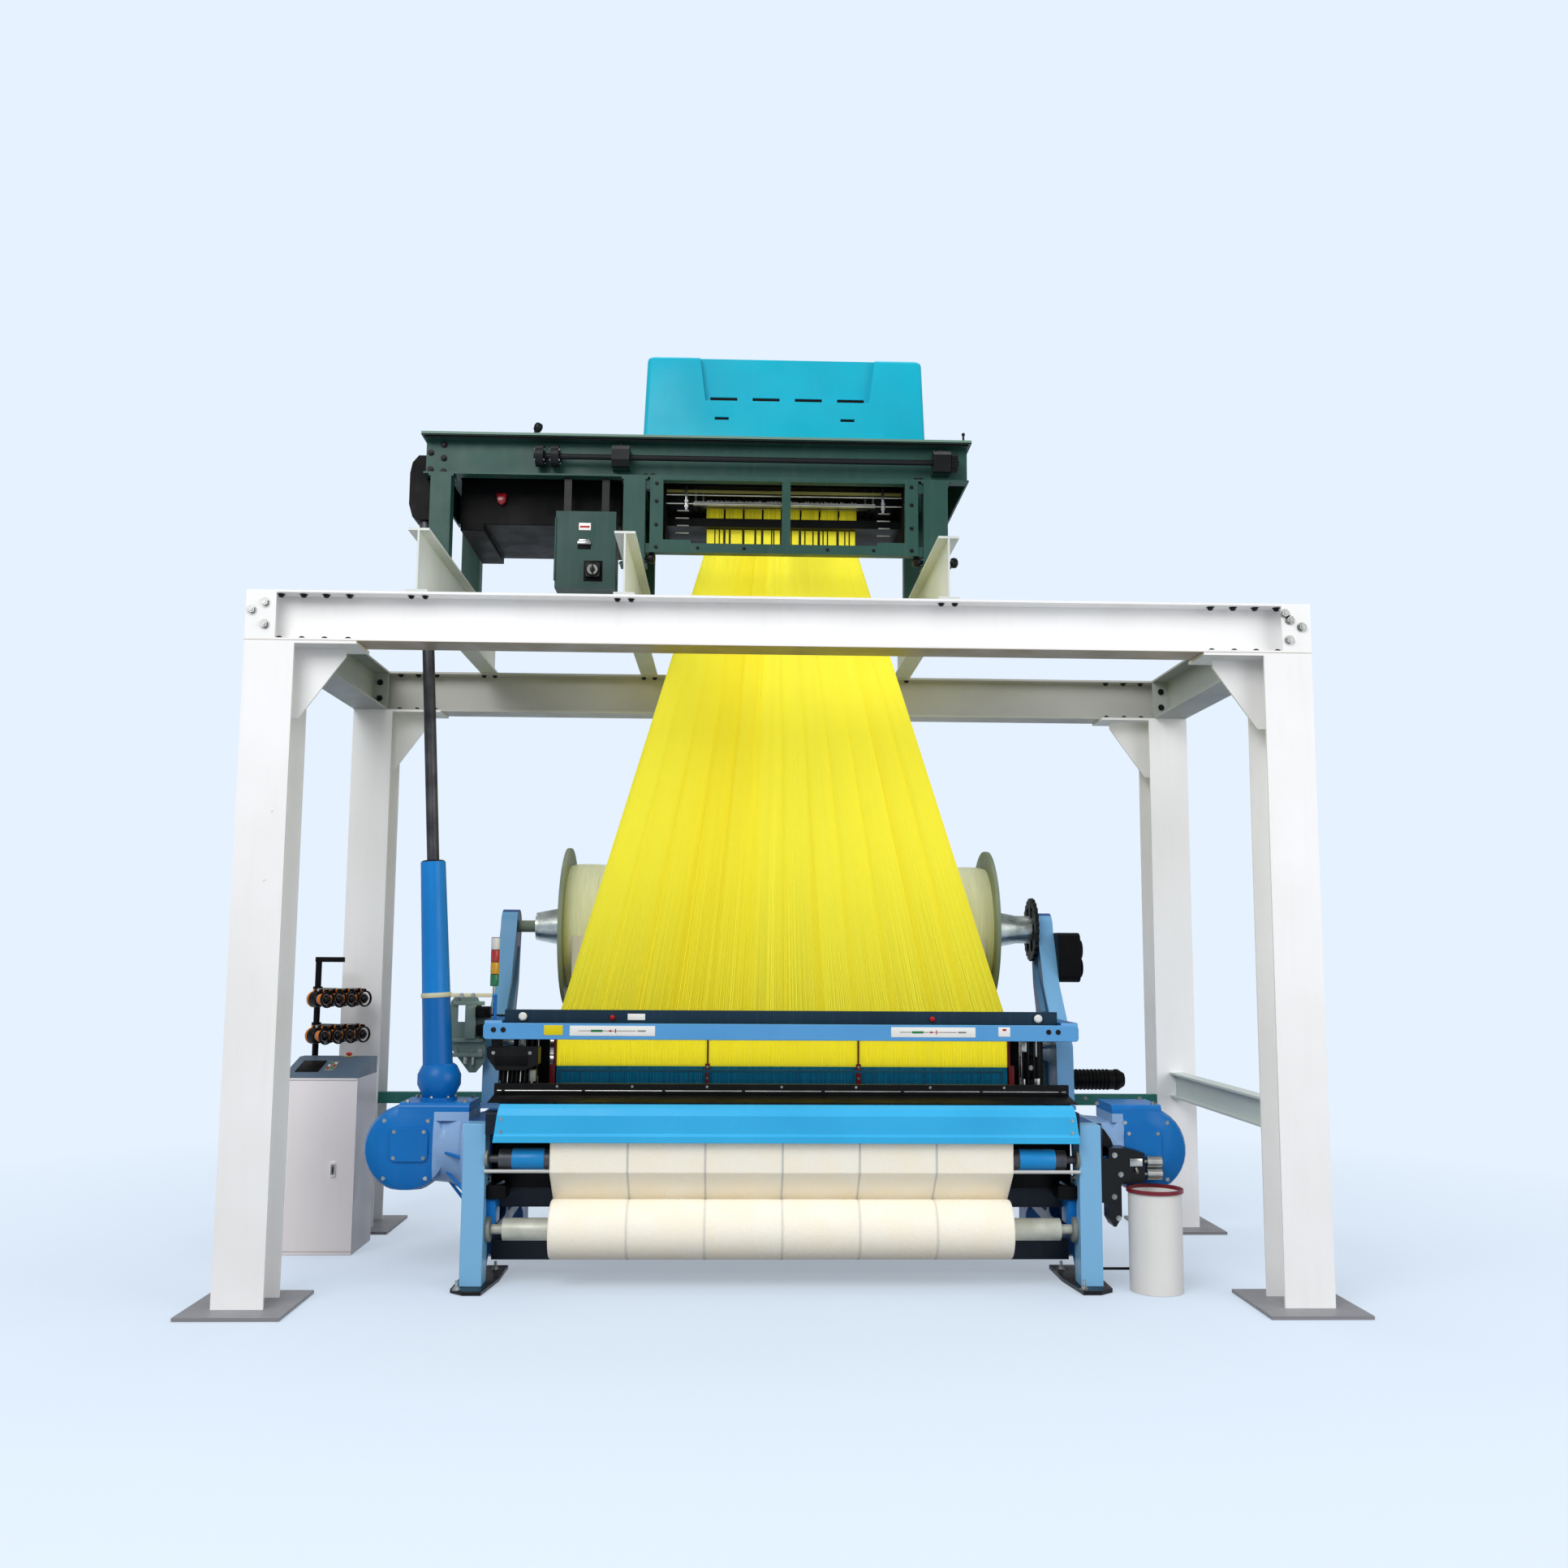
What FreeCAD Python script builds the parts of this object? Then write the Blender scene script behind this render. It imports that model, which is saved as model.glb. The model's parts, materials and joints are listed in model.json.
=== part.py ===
import FreeCAD, Part
import math
import os

# A wide terry loom under its jacquard head: a rapier loom that weaves six towel widths side by
# side, a white steel gantry round it, the dark green head on three joists, and the fan of yellow
# harness cords between the two. Millimetres. X runs to the weaver's right, Y away from the weaver
# and Z up. The origin is on the floor at the middle of the gantry's four feet.

# ---------------------------------------------------------------- general clearances
SHAFT_PLAY = 0.05
SOFT_GAP = 0.3
MOVING_GAP = 4.0
BORE_SIDES = 20

# ---------------------------------------------------------------- gantry
GANTRY_WIDTH = 5240.0
GANTRY_DEPTH = 2250.0
COLUMN_WIDTH = 240.0
COLUMN_DEPTH = 250.0
COLUMN_FLANGE = 14.0
COLUMN_WEB = 10.0
BASE_WIDTH = 480.0
BASE_DEPTH = 540.0
BASE_PLATE = 16.0
CAP_LENGTH = 540.0
CAP_PLATE = 14.0
GUSSET_REACH = 460.0
GUSSET_DROP = 350.0
GUSSET_LIP = 40.0
GUSSET_PLATE = 12.0
BEAM_UNDERSIDE = 3155.0
BEAM_HEIGHT = 250.0
BEAM_WIDTH = 200.0
BEAM_FLANGE = 12.0
BEAM_WEB = 9.0
CORNER_PLATE_WIDTH = 145.0
CORNER_PLATE = 10.0
END_PLATE = 12.0
JOIST_HEIGHT = 320.0
JOIST_WIDTH = 104.0
JOIST_FLANGE = 12.0
JOIST_WEB = 9.0
JOIST_PLACES = (-1800.0, -790.0, 815.0)
REAR_TIE_HEIGHT = 66.0
REAR_TIE_WIDTH = 60.0
REAR_TIE_TOP = 800.0
SIDE_TIE_HEIGHT = 150.0
SIDE_TIE_WIDTH = 80.0
SIDE_TIE_TOP = 945.0

# ---------------------------------------------------------------- jacquard head
HEAD_LEFT = -1930.0
HEAD_RIGHT = 1020.0
HEAD_DEPTH = 1000.0
HEAD_LEG_HEIGHT = 490.0
HEAD_BEAM_HEIGHT = 210.0
HEAD_BEAM_LIP = 70.0
HEAD_BEAM_PLATE = 10.0
HEAD_LEG_PLACES = (-1835.0, -795.0, 838.0)
HEAD_LEG_WIDTHS = (110.0, 118.0, 132.0)
HEAD_LEG_DEPTH = 90.0
LEG_FOOT = 12.0
LEG_FOOT_LIP = 12.0
CROSS_BAR_WIDTH = 60.0
CROSS_BAR_HEIGHT = 110.0
DECK_PLATE = 20.0
DECK_LIP = 15.0
COVER_CENTRE = 17.0
COVER_WIDTH_BOTTOM = 1556.0
COVER_WIDTH_TOP = 1520.0
COVER_HEIGHT = 500.0
COVER_DEPTH = 840.0
COVER_DEPTH_TOP = 800.0
COVER_ROUNDING = 28.0
COVER_CHORDS = 3
HAND_RECESS_REACH = 347.0
HAND_RECESS_LENGTH = 78.0
HAND_RECESS_HEIGHT = 15.0
HAND_RECESS_DEPTH = 24.0
HAND_RECESS_RISE = 131.0
RECESS_CENTRE = 32.0
RECESS_WIDTH_TOP = 971.0
RECESS_WIDTH_BOTTOM = 905.0
RECESS_HEIGHT = 257.0
RECESS_DEPTH = 55.0
SLOT_RISE = 16.0
SLOT_COUNT = 4
SLOT_LENGTH = 150.0
SLOT_PITCH = 235.0
SLOT_HEIGHT = 18.0
SLOT_DEPTH = 20.0
WINDOW_LEFT = -710.0
WINDOW_RIGHT = 742.0
WINDOW_STILE = 70.0
WINDOW_MULLION = 46.0
WINDOW_MULLION_PLACE = 26.0
WINDOW_SILL = 52.0
WINDOW_SILL_RISE = 73.0
WINDOW_DEPTH = 55.0
WINDOW_TOP_RAIL = 16.0
WINDOW_CORNER_LENGTH = 150.0
WINDOW_CORNER_HEIGHT = 18.0
WINDOW_TAB = 14.0
HOOK_BOX_LEFT = -650.0
HOOK_BOX_RIGHT = 690.0
HOOK_BOX_DEPTH = 720.0
CHEEK_PLATE = 20.0
CHEEK_DROP = 345.0
CHEEK_REAR_DROP = 165.0
GUIDE_BOARD_DROP = 138.0
GUIDE_BOARD_PLATE = 47.0
GUIDE_BOARD_DEPTH = 430.0
GRIFFE_RAIL = 22.0
GRIFFE_DROP = 80.0
GRIFFE_OUTER_LENGTH = 1011.0
GRIFFE_OUTER_DEPTH = 600.0
GRIFFE_INNER_LENGTH = 930.0
GRIFFE_INNER_DEPTH = 510.0
GRIFFE_POST_RADIUS = 8.0
GRIFFE_POST_SIDES = 8
GRIFFE_POST_LENGTH = 150.0
GRIFFE_STROKE = 30.0
HARNESS_CENTRE = 10.0
LAMP_HOUSING_DROP = 215.0
LAMP_HOUSING_LEFT = -1765.0
LAMP_HOUSING_RIGHT = -885.0
LAMP_HOUSING_DEPTH = 690.0
BEVEL_BOX_REACH = 95.0
BEVEL_BOX_INBOARD = 38.0
BEVEL_BOX_DROP = 230.0
BEVEL_BOX_RISE = 135.0
BEVEL_BOX_FRONT = -398.0
BEVEL_BOX_DEPTH = 160.0
LINE_SHAFT_RADIUS = 15.0
LINE_SHAFT_RISE = 103.0
LINE_SHAFT_INSET = 4.0
LINE_SHAFT_LEFT = -1340.0
LINE_SHAFT_RIGHT = 965.0
LINE_BEARINGS = (-870.0, 868.0)
LINE_BEARING_WIDTH = 96.0
LINE_BEARING_HEIGHT = 116.0
COUPLING_RADIUS = 58.0
COUPLING_WIDTH = 44.0
COUPLINGS = (-1306.0, -1224.0)
LINE_GEAR_RADIUS = 52.0
LINE_GEAR_WIDTH = 34.0
LINE_GEAR_PLACE = 938.0
LINE_GEAR_TEETH = 16
LINE_GEAR_TOOTH = 6.0
CONTROL_BOX_LEFT = -1216.0
CONTROL_BOX_WIDTH = 324.0
CONTROL_BOX_DROP = 615.0
CONTROL_BOX_HEIGHT = 425.0
CONTROL_BOX_FRONT = -470.0
CONTROL_BOX_DEPTH = 170.0
CONTROL_BOX_WALL = 4.0
CONTROL_BOX_STRAP = 40.0
DOOR_PLATE = 4.0
DOOR_GAP = 0.5
HINGE_RADIUS = 6.0
KNOB_SIZE = 78.0
KNOB_DEPTH = 30.0
KNOB_SPINDLE_RADIUS = 8.0
KNOB_DROP = 95.0
KNOB_INSET = 205.0

# ---------------------------------------------------------------- harness
FAN_TOP_DROP = 315.0
FAN_TOP_WIDTH = 853.0
FAN_TOP_DEPTH = 380.0
FAN_BOTTOM_WIDTH = 2445.0
FAN_BOTTOM_DEPTH = 180.0
FAN_BOTTOM_SHIFT = 31.0
FAN_BUNDLES = 12
FAN_GROOVE = 0.08
NECK_GROUPS = 8
NECK_GAP = 14.0
NECK_RISE = 35.0
COMBER_CENTRE_Y = -30.0
COMBER_HEIGHT = 1295.0
COMBER_BOARD_PLATE = 20.0
COMBER_BOARD_DEPTH = 230.0
COMBER_BAR_FRONT = -310.0
COMBER_BAR_DEPTH = 26.0
COMBER_BAR_LAP = 18.0
COMBER_BAR_HEIGHT = 78.0
STOP_PLACES = (-872.0, 828.0)
STOP_RADIUS = 14.0
STOP_STEM = 6.0
STOP_DEPTH = 20.0
STOP_PROUD = 12.0
STOP_TRAVEL = 4.0
STOP_SIDES = 12
HEDDLE_OVERHANG = 10.0
HEDDLE_DEPTH = 150.0
HEDDLE_BOTTOM = 560.0
HEDDLE_FIELDS = 3
DIVIDER_WIDTH = 8.0
SPRING_BAR_HEIGHT = 40.0

# ---------------------------------------------------------------- loom body
LOOM_X = 30.0
FRAME_INSIDE = 1488.0
FRAME_THICKNESS = 110.0
FRAME_TOP = 805.0
FRAME_WEB = 26.0
FRAME_RIM = 42.0
FOOT_PLATE = 20.0
FOOT_FRONT = -790.0
FOOT_LENGTH = 600.0
FOOT_WIDTH = 200.0
LEG_FRONT = -690.0
LEG_DEPTH = 130.0
FRAME_REAR = 900.0
REAR_LEG_DEPTH = 180.0
FRAME_BELLY = 200.0
BREAST_PLANE = -709.0
CLOTH_THICKNESS = 3.0
CLOTH_WIDTH = 2315.0
CLOTH_CENTRE = 22.0
FELL_Y = -402.0
FELL_Z = 922.0
BREAST_BEAM_TOP = 868.0
BREAST_BEAM_HEIGHT = 110.0
BREAST_BEAM_DEPTH = 80.0
BREAST_BEAM_ROUND = 14.0
TAKE_UP_RADIUS = 48.0
TAKE_UP_HEIGHT = 632.0
TAKE_UP_JOURNAL = 20.0
TAKE_UP_LENGTH = 2840.0
SPREADER_RADIUS = 9.0
SPREADER_HEIGHT = 577.0
TEMPLE_RADIUS = 12.0
TEMPLE_Y = -450.0
TEMPLE_BAR_DEPTH = 35.0
TEMPLE_BAR_HEIGHT = 55.0
TEMPLE_BAR_RISE = 8.0
TEMPLE_BAR_END = 40.0
CLOTH_ROLL_Y = -600.0
CLOTH_ROLL_Z = 280.0
CLOTH_ROLL_RADIUS = 145.0
CLOTH_ROLL_ROUND = 4.0
CORE_RADIUS = 55.0
CORE_LENGTH = 2804.0
CORE_JOURNAL = 25.0
JOURNAL_DEPTH = 58.0
BREAST_COVER_WIDTH = 2924.0
BREAST_COVER_CENTRE = 48.0
BREAST_COVER_PLATE = 4.0
BREAST_COVER_TOP = 904.0
BREAST_COVER_BOTTOM = 722.0
BREAST_COVER_SLANT = 24.0
GIRDER_FRONT_Y = -460.0
GIRDER_FRONT_DEPTH = 60.0
GIRDER_FRONT_Z = 365.0
GIRDER_FRONT_HEIGHT = 100.0
LOWER_BAR_Y = -420.0
LOWER_BAR_Z = 95.0
LOWER_BAR_HEIGHT = 100.0
LOWER_BAR_DEPTH = 40.0
GIRDER_REAR_Y = 200.0
GIRDER_REAR_DEPTH = 120.0
GIRDER_REAR_Z = 560.0
GIRDER_REAR_HEIGHT = 140.0

# ---------------------------------------------------------------- sley, reed, rapiers
SLEY_PIVOT_Y = -230.0
SLEY_PIVOT_Z = 170.0
SLEY_SHAFT_RADIUS = 38.0
SLEY_BEAM_LENGTH = 2800.0
SLEY_BEAM_FRONT = -252.0
SLEY_BEAM_DEPTH = 86.0
SLEY_BEAM_BOTTOM = 830.0
SLEY_BEAM_TOP = 900.0
SWORD_THICKNESS = 32.0
SWORD_WIDTH = 84.0
SWORD_PLACES = (380.0, 1150.0)
SWORD_EYE = 22.0
SWORD_EYE_SIDES = 12
REED_LENGTH = 2390.0
REED_FRONT = -206.0
REED_THICKNESS = 8.0
REED_BAULK = 14.0
REED_GROOVE = 24.0
REED_TOP = 1036.0
REED_DENTS = 45
REED_DENT_WIDTH = 4.2
RAPIER_LENGTH = 190.0
RAPIER_WIDTH = 30.0
RAPIER_HEIGHT = 30.0
RAPIER_OUTER_END = 1395.0
RAPIER_TIP = 60.0

# ---------------------------------------------------------------- upper works
ARM_INSIDE = 1550.0
ARM_FRONT_FOOT = 60.0
ARM_REAR_FOOT = 560.0
ARM_WAIST_HEIGHT = 1150.0
ARM_KNEE_HEIGHT = 1480.0
ARM_THICKNESS = 95.0
ARM_POCKET = 30.0
PILE_Y = 650.0
PILE_Z = 1810.0
ARM_HEAD_RADIUS = 100.0
PILE_FLANGE_RADIUS = 470.0
PILE_FLANGE_PLATE = 16.0
PILE_FLANGE_PLACE = 1260.0
PILE_YARN_RADIUS = 375.0
PILE_CORE_RADIUS = 110.0
YARN_CROWN = 8.0
YARN_SIDES = 40
PILE_JOURNAL = 35.0
PILE_HUB_RADIUS = 115.0
PILE_HUB_END_RADIUS = 80.0
PILE_HUB_LENGTH = 185.0
PILE_GEAR_RADIUS = 190.0
PILE_GEAR_WIDTH = 22.0
PILE_GEAR_TEETH = 24
PILE_GEAR_HOLES = 6
PILE_GEAR_TOOTH = 9.0
TENSION_Y = 330.0
TENSION_Z = 1140.0
TENSION_RADIUS = 45.0
TENSION_JOURNAL = 20.0
GUARD_FRONT = -440.0
GUARD_DEPTH = 40.0
GUARD_BOTTOM = 1207.0
GUARD_HEIGHT = 83.0
GUARD_LENGTH = 3115.0
GUARD_ROUNDING = 18.0
BRACKET_INSIDE = 1470.0
BRACKET_WIDTH = 90.0
BRACKET_BOTTOM = 1222.0
BRACKET_HEIGHT = 80.0
TOWER_RADIUS = 24.0
TOWER_BOTTOM = 1467.0
TOWER_TOP = 1738.0
TOWER_Y = 95.0
TOWER_POLE_RADIUS = 9.0
TOWER_SIDES = 12
TOWER_LAMPS = 4
TOWER_X = -1567.0
DRIVE_MOTOR_RADIUS = 55.0
DRIVE_MOTOR_LENGTH = 285.0
DRIVE_MOTOR_Y = 200.0
DRIVE_MOTOR_Z = 958.0
LET_OFF_WIDTH = 130.0
LET_OFF_Y = 500.0
LET_OFF_DEPTH = 200.0
LET_OFF_BOTTOM = 1500.0
LET_OFF_HEIGHT = 290.0

# ---------------------------------------------------------------- warp supply below
GROUND_Y = 620.0
GROUND_Z = 420.0
GROUND_FLANGE_RADIUS = 330.0
GROUND_FLANGE_PLATE = 14.0
GROUND_FLANGE_PLACE = 1270.0
GROUND_YARN_RADIUS = 290.0
GROUND_JOURNAL = 30.0
BACK_REST_Y = 850.0
BACK_REST_Z = 1010.0
BACK_REST_RADIUS = 50.0
BACK_REST_JOURNAL = 22.0
BACK_REST_MARGIN = 80.0
WARP_WIDTH = 2390.0
WARP_THICKNESS = 3.0
WARP_LINE = 960.0

# ---------------------------------------------------------------- weft side
GEARBOX_REACH_LEFT = 2140.0
GEARBOX_REACH_RIGHT = 2097.0
GEARBOX_Y = -350.0
GEARBOX_Z = 660.0
DRUM_RADIUS = 220.0
DRUM_DEPTH = 360.0
DRUM_ROUNDING = 55.0
DRUM_CHORDS = 2
DRUM_SIDES = 32
DRUM_FLAT = 205.0
NECK_MOUTH_RADIUS = 320.0
NECK_RADIUS = 190.0
NECK_FLARE = 100.0
NECK_LIP = 14.0
LID_TOP = 890.0
LID_PLATE = 90.0
LID_DEPTH = 330.0
LID_INNER_LEFT = 1605.0
LID_INNER_RIGHT = 1703.0
LID_OUTER = 1962.0
LID_ROUNDING = 28.0
PANEL_WIDTH = 190.0
PANEL_HEIGHT = 165.0
PANEL_PROUD = 12.0
SHAFT_BASE_X = -1765.0
SHAFT_Y = -350.0
SHAFT_LEAN = 0.057
SHAFT_RADIUS = 32.0
TUBE_FOOT_RADIUS = 96.0
TUBE_FOOT_PLATE = 16.0
TUBE_BULGE_RADIUS = 114.0
TUBE_BULGE_HEIGHT = 995.0
TUBE_LOWER_RADIUS = 78.0
TUBE_UPPER_RADIUS = 65.0
TUBE_TOP = 2130.0
TUBE_BORE = 52.0
TUBE_CAP = 40.0
TUBE_SIDES = 22
STAY_HEIGHT = 1430.0
STAY_RADIUS = 9.0
PRESENTER_LEFT = -1514.0
PRESENTER_LENGTH = 267.0
PRESENTER_BOTTOM = 1045.0
PRESENTER_HEIGHT = 118.0
PRESENTER_FRONT = -400.0
PRESENTER_DEPTH = 110.0
FINGER_COUNT = 8
FINGER_BOTTOM = 990.0
CUTTER_PLATE = 12.0
CUTTER_LEFT = -1786.0
CUTTER_BOTTOM = 1000.0
CUTTER_TOP = 1424.0
CUTTER_Y = 0.0

# ---------------------------------------------------------------- waste selvedge take-off
WASTE_X = 1920.0
WASTE_ROLLER_RADIUS = 30.0
WASTE_ROLLER_LENGTH = 74.0
WASTE_ROLLER_SHAFT = 9.0
WASTE_Y = -600.0
WASTE_Z = 615.0
WASTE_DRIVE_LEFT = 1675.0
WASTE_DRIVE_WIDTH = 183.0
WASTE_DRIVE_BOTTOM = 303.0
WASTE_DRIVE_TOP = 690.0
WASTE_DRIVE_FRONT = -660.0
WASTE_DRIVE_DEPTH = 120.0
WASTE_DRIVE_HEEL = 340.0
WASTE_DRIVE_BROW = 90.0
WASTE_MOUNT_BOTTOM = 420.0
WASTE_MOUNT_TOP = 640.0
WASTE_ROD_HEIGHT = 80.0
WASTE_ROD_TOP = 300.0
WASTE_ROD_RADIUS = 7.0
ROD_SIDES = 8
CAN_X = 1896.0
CAN_Y = -690.0
CAN_RADIUS = 132.0
CAN_HEIGHT = 500.0
CAN_WALL = 3.0
CAN_RIM = 9.0
CAN_RIM_HEIGHT = 18.0
CAN_FLOOR = 6.0
CAN_SIDES = 32

# ---------------------------------------------------------------- cabinet and feeders
CABINET_RIGHT = -2315.0
CABINET_WIDTH = 423.0
CABINET_FRONT = 147.0
CABINET_DEPTH = 423.0
CABINET_HEIGHT = 945.0
CABINET_WALL = 5.0
CABINET_PLINTH = 40.0
CONSOLE_FRONT_HEIGHT = 8.0
CONSOLE_RISE = 95.0
ESTOP_X = -2467.0
ESTOP_RADIUS = 17.0
ESTOP_STEM = 8.0
ESTOP_TRAVEL = 6.0
ESTOP_SIDES = 16
POST_X = -2700.0
POST_Y = 650.0
POST_RADIUS = 18.0
POST_TOP = 1590.0
FEEDER_FOOT = 120.0
POST_FOOT_LEFT = 36.0
POST_BAR_REACH = 150.0
POST_BAR_HEIGHT = 30.0
FEEDER_ROWS = (1165.0, 1375.0)
FEEDER_COUNT = 4
FEEDER_PITCH = 92.0
FEEDER_LENGTH = 160.0
FEEDER_RADIUS = 45.0
FEEDER_TURN = 35.0
FEEDER_SIDES = 8
FEEDER_RAIL_RADIUS = 9.0
FEEDER_START_X = -2640.0
FEEDER_START_Y = 500.0

# ---------------------------------------------------------------- values worked out from the above
COLUMN_X = (GANTRY_WIDTH - COLUMN_WIDTH) / 2
COLUMN_Y = (GANTRY_DEPTH - COLUMN_DEPTH) / 2
CAP_UNDERSIDE = BEAM_UNDERSIDE - CAP_PLATE
BEAM_TOP = BEAM_UNDERSIDE + BEAM_HEIGHT
JOIST_TOP = BEAM_TOP + JOIST_HEIGHT
HEAD_BEAM_BOTTOM = JOIST_TOP + HEAD_LEG_HEIGHT
HEAD_BEAM_TOP = HEAD_BEAM_BOTTOM + HEAD_BEAM_HEIGHT
DECK_TOP = HEAD_BEAM_TOP + DECK_PLATE
HEAD_FRONT = -HEAD_DEPTH / 2
WINDOW_SILL_BOTTOM = JOIST_TOP + WINDOW_SILL_RISE
HOOK_BOX_BOTTOM = HEAD_BEAM_BOTTOM
CHEEK_BOTTOM = HOOK_BOX_BOTTOM - CHEEK_DROP
CHEEK_REAR_BOTTOM = HOOK_BOX_BOTTOM - CHEEK_REAR_DROP
GUIDE_BOARD_TOP = HOOK_BOX_BOTTOM - GUIDE_BOARD_DROP
GRIFFE_HEIGHT = HOOK_BOX_BOTTOM - GRIFFE_DROP
FAN_TOP = HOOK_BOX_BOTTOM - FAN_TOP_DROP
NECK_TOP = GUIDE_BOARD_TOP + NECK_RISE
LINE_SHAFT_HEIGHT = HEAD_BEAM_BOTTOM + LINE_SHAFT_RISE
BEVEL_BOX_BOTTOM = HEAD_BEAM_BOTTOM - BEVEL_BOX_DROP
BEVEL_BOX_TOP = HEAD_BEAM_BOTTOM + BEVEL_BOX_RISE
CONTROL_BOX_BOTTOM = HEAD_BEAM_BOTTOM - CONTROL_BOX_DROP
HEAD_WEB_FRONT = HEAD_FRONT + HEAD_BEAM_LIP - HEAD_BEAM_PLATE
GUIDE_BOARD_BOTTOM = GUIDE_BOARD_TOP - GUIDE_BOARD_PLATE
LINE_SHAFT_Y = HEAD_FRONT - LINE_SHAFT_INSET
FRAME_OUTSIDE = FRAME_INSIDE + FRAME_THICKNESS
TAKE_UP_Y = BREAST_PLANE + SOFT_GAP + TAKE_UP_RADIUS
SPREADER_Y = BREAST_PLANE + SOFT_GAP + SPREADER_RADIUS
TEMPLE_Z = FELL_Z - SOFT_GAP - TEMPLE_RADIUS
COMBER_TOP = COMBER_HEIGHT + COMBER_BOARD_PLATE
COMBER_BAR_BOTTOM = COMBER_HEIGHT - COMBER_BAR_LAP
HEDDLE_WIDTH = FAN_BOTTOM_WIDTH + 2 * HEDDLE_OVERHANG
CONSOLE_TOP = CABINET_HEIGHT + CONSOLE_FRONT_HEIGHT + CONSOLE_RISE
WASTE_LOWER_Z = WASTE_Z - 2 * WASTE_ROLLER_RADIUS - SOFT_GAP


# ================================================================ plain helpers
def point(x, y, z):
    return FreeCAD.Vector(x, y, z)


def block(x0, x1, y0, y1, z0, z1):
    """A rectangular block between two opposite corners."""
    return Part.makeBox(x1 - x0, y1 - y0, z1 - z0, point(x0, y0, z0))


def rod(start, end, radius):
    """A round rod between two points."""
    run = end.sub(start)
    return Part.makeCylinder(radius, run.Length, start, run)


def face_of(points):
    return Part.Face(Part.makePolygon(points + [points[0]]))


def plate_yz(outline, x0, x1):
    """A plate that lies across X, from (y, z) corners."""
    return face_of([point(x0, y, z) for y, z in outline]).extrude(point(x1 - x0, 0, 0))


def plate_xz(outline, y0, y1):
    """A plate that lies across Y, from (x, z) corners."""
    return face_of([point(x, y0, z) for x, z in outline]).extrude(point(0, y1 - y0, 0))


def plate_xy(outline, z0, z1):
    """A plate that lies flat, from (x, y) corners."""
    return face_of([point(x, y, z0) for x, y in outline]).extrude(point(0, 0, z1 - z0))


def joined(shapes):
    """One solid from touching or overlapping solids."""
    whole = shapes[0]
    for shape in shapes[1:]:
        whole = whole.fuse(shape)
    return whole.removeSplitter()


def rounded(shape, radius, direction, test=None):
    """Fillets the straight edges that run along a direction and pass the test on their middle."""
    edges = []
    for edge in shape.Edges:
        if not isinstance(edge.Curve, Part.Line):
            continue
        run = edge.Vertexes[1].Point.sub(edge.Vertexes[0].Point).normalize()
        if abs(abs(run.dot(direction)) - 1) > 0.001:
            continue
        if test is None or test(edge.CenterOfMass):
            edges.append(edge)
    return shape.makeFillet(radius, edges)


def rounded_outline(a0, a1, b0, b1, radius, chords):
    """Corners of a rectangle whose own corners are rounded in short chords."""
    outline = []
    for a, b, start in ((a1 - radius, b0 + radius, -90), (a1 - radius, b1 - radius, 0),
                        (a0 + radius, b1 - radius, 90), (a0 + radius, b0 + radius, 180)):
        for step in range(chords + 1):
            angle = math.radians(start + 90 * step / chords)
            outline.append((a + radius * math.cos(angle), b + radius * math.sin(angle)))
    return outline


def between_rings(rings):
    """A closed solid through rings of corners, with a flat face on each side of each band."""
    faces = [face_of(rings[0]), face_of(rings[-1])]
    for lower, upper in zip(rings, rings[1:]):
        for index in range(len(lower)):
            after = (index + 1) % len(lower)
            faces.append(face_of([lower[index], lower[after], upper[after], upper[index]]))
    shell = Part.makeShell(faces)
    shell.sewShape()
    solid = Part.makeSolid(shell)
    return solid if solid.Volume > 0 else solid.reversed()


def faceted(start, direction, stations, sides, phase=0.5):
    """A straight many-sided piece from a start point, through (distance, radius) stations. The
    phase turns it by a share of one side."""
    turn = FreeCAD.Rotation(point(0, 0, 1), direction)
    axis = point(direction.x, direction.y, direction.z).normalize()
    rings = []
    for distance, radius in stations:
        corners = []
        for index in range(sides):
            angle = 2 * math.pi * (index + phase) / sides
            offset = turn.multVec(point(radius * math.cos(angle), radius * math.sin(angle), 0))
            corners.append(start.add(axis * distance).add(offset))
        rings.append(corners)
    return between_rings(rings)


def faceted_rod(start, end, radius, sides):
    run = end.sub(start)
    return faceted(start, run, [(0, radius), (run.Length, radius)], sides)


def flat_bore(x0, x1, y, z, journal):
    """A hidden bearing along X: many flats that all lie one running play off the journal."""
    reach = (journal + SHAFT_PLAY) / math.cos(math.pi / BORE_SIDES)
    return faceted_rod(point(x0, y, z), point(x1, y, z), reach, BORE_SIDES)


def journal_bar(x0, x1, y, z, radius):
    """A journal along X, cut with as many flats as its bearing and turned half a flat to it, so
    that its corners stay one running play clear all the way round."""
    return faceted(point(x0, y, z), point(1, 0, 0), [(0, radius), (x1 - x0, radius)], BORE_SIDES,
                   0.0)


def mirrored(shape):
    """The same piece on the other side of the loom's middle plane."""
    return shape.mirror(point(LOOM_X, 0, 0), point(1, 0, 0))


def i_outline(width, height, flange, web):
    """The section of an I beam, across its width and up from its foot."""
    half = width / 2
    slim = web / 2
    top = height - flange
    return [(-half, 0), (half, 0), (half, flange), (slim, flange), (slim, top), (half, top),
            (half, height), (-half, height), (-half, top), (-slim, top), (-slim, flange),
            (-half, flange)]


def beam_along_x(x0, x1, y, z, width, height, flange, web):
    outline = i_outline(width, height, flange, web)
    return plate_yz([(y + a, z + b) for a, b in outline], x0, x1)


def beam_along_y(y0, y1, x, z, width, height, flange, web):
    outline = i_outline(width, height, flange, web)
    return plate_xz([(x + a, z + b) for a, b in outline], y0, y1)


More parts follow.
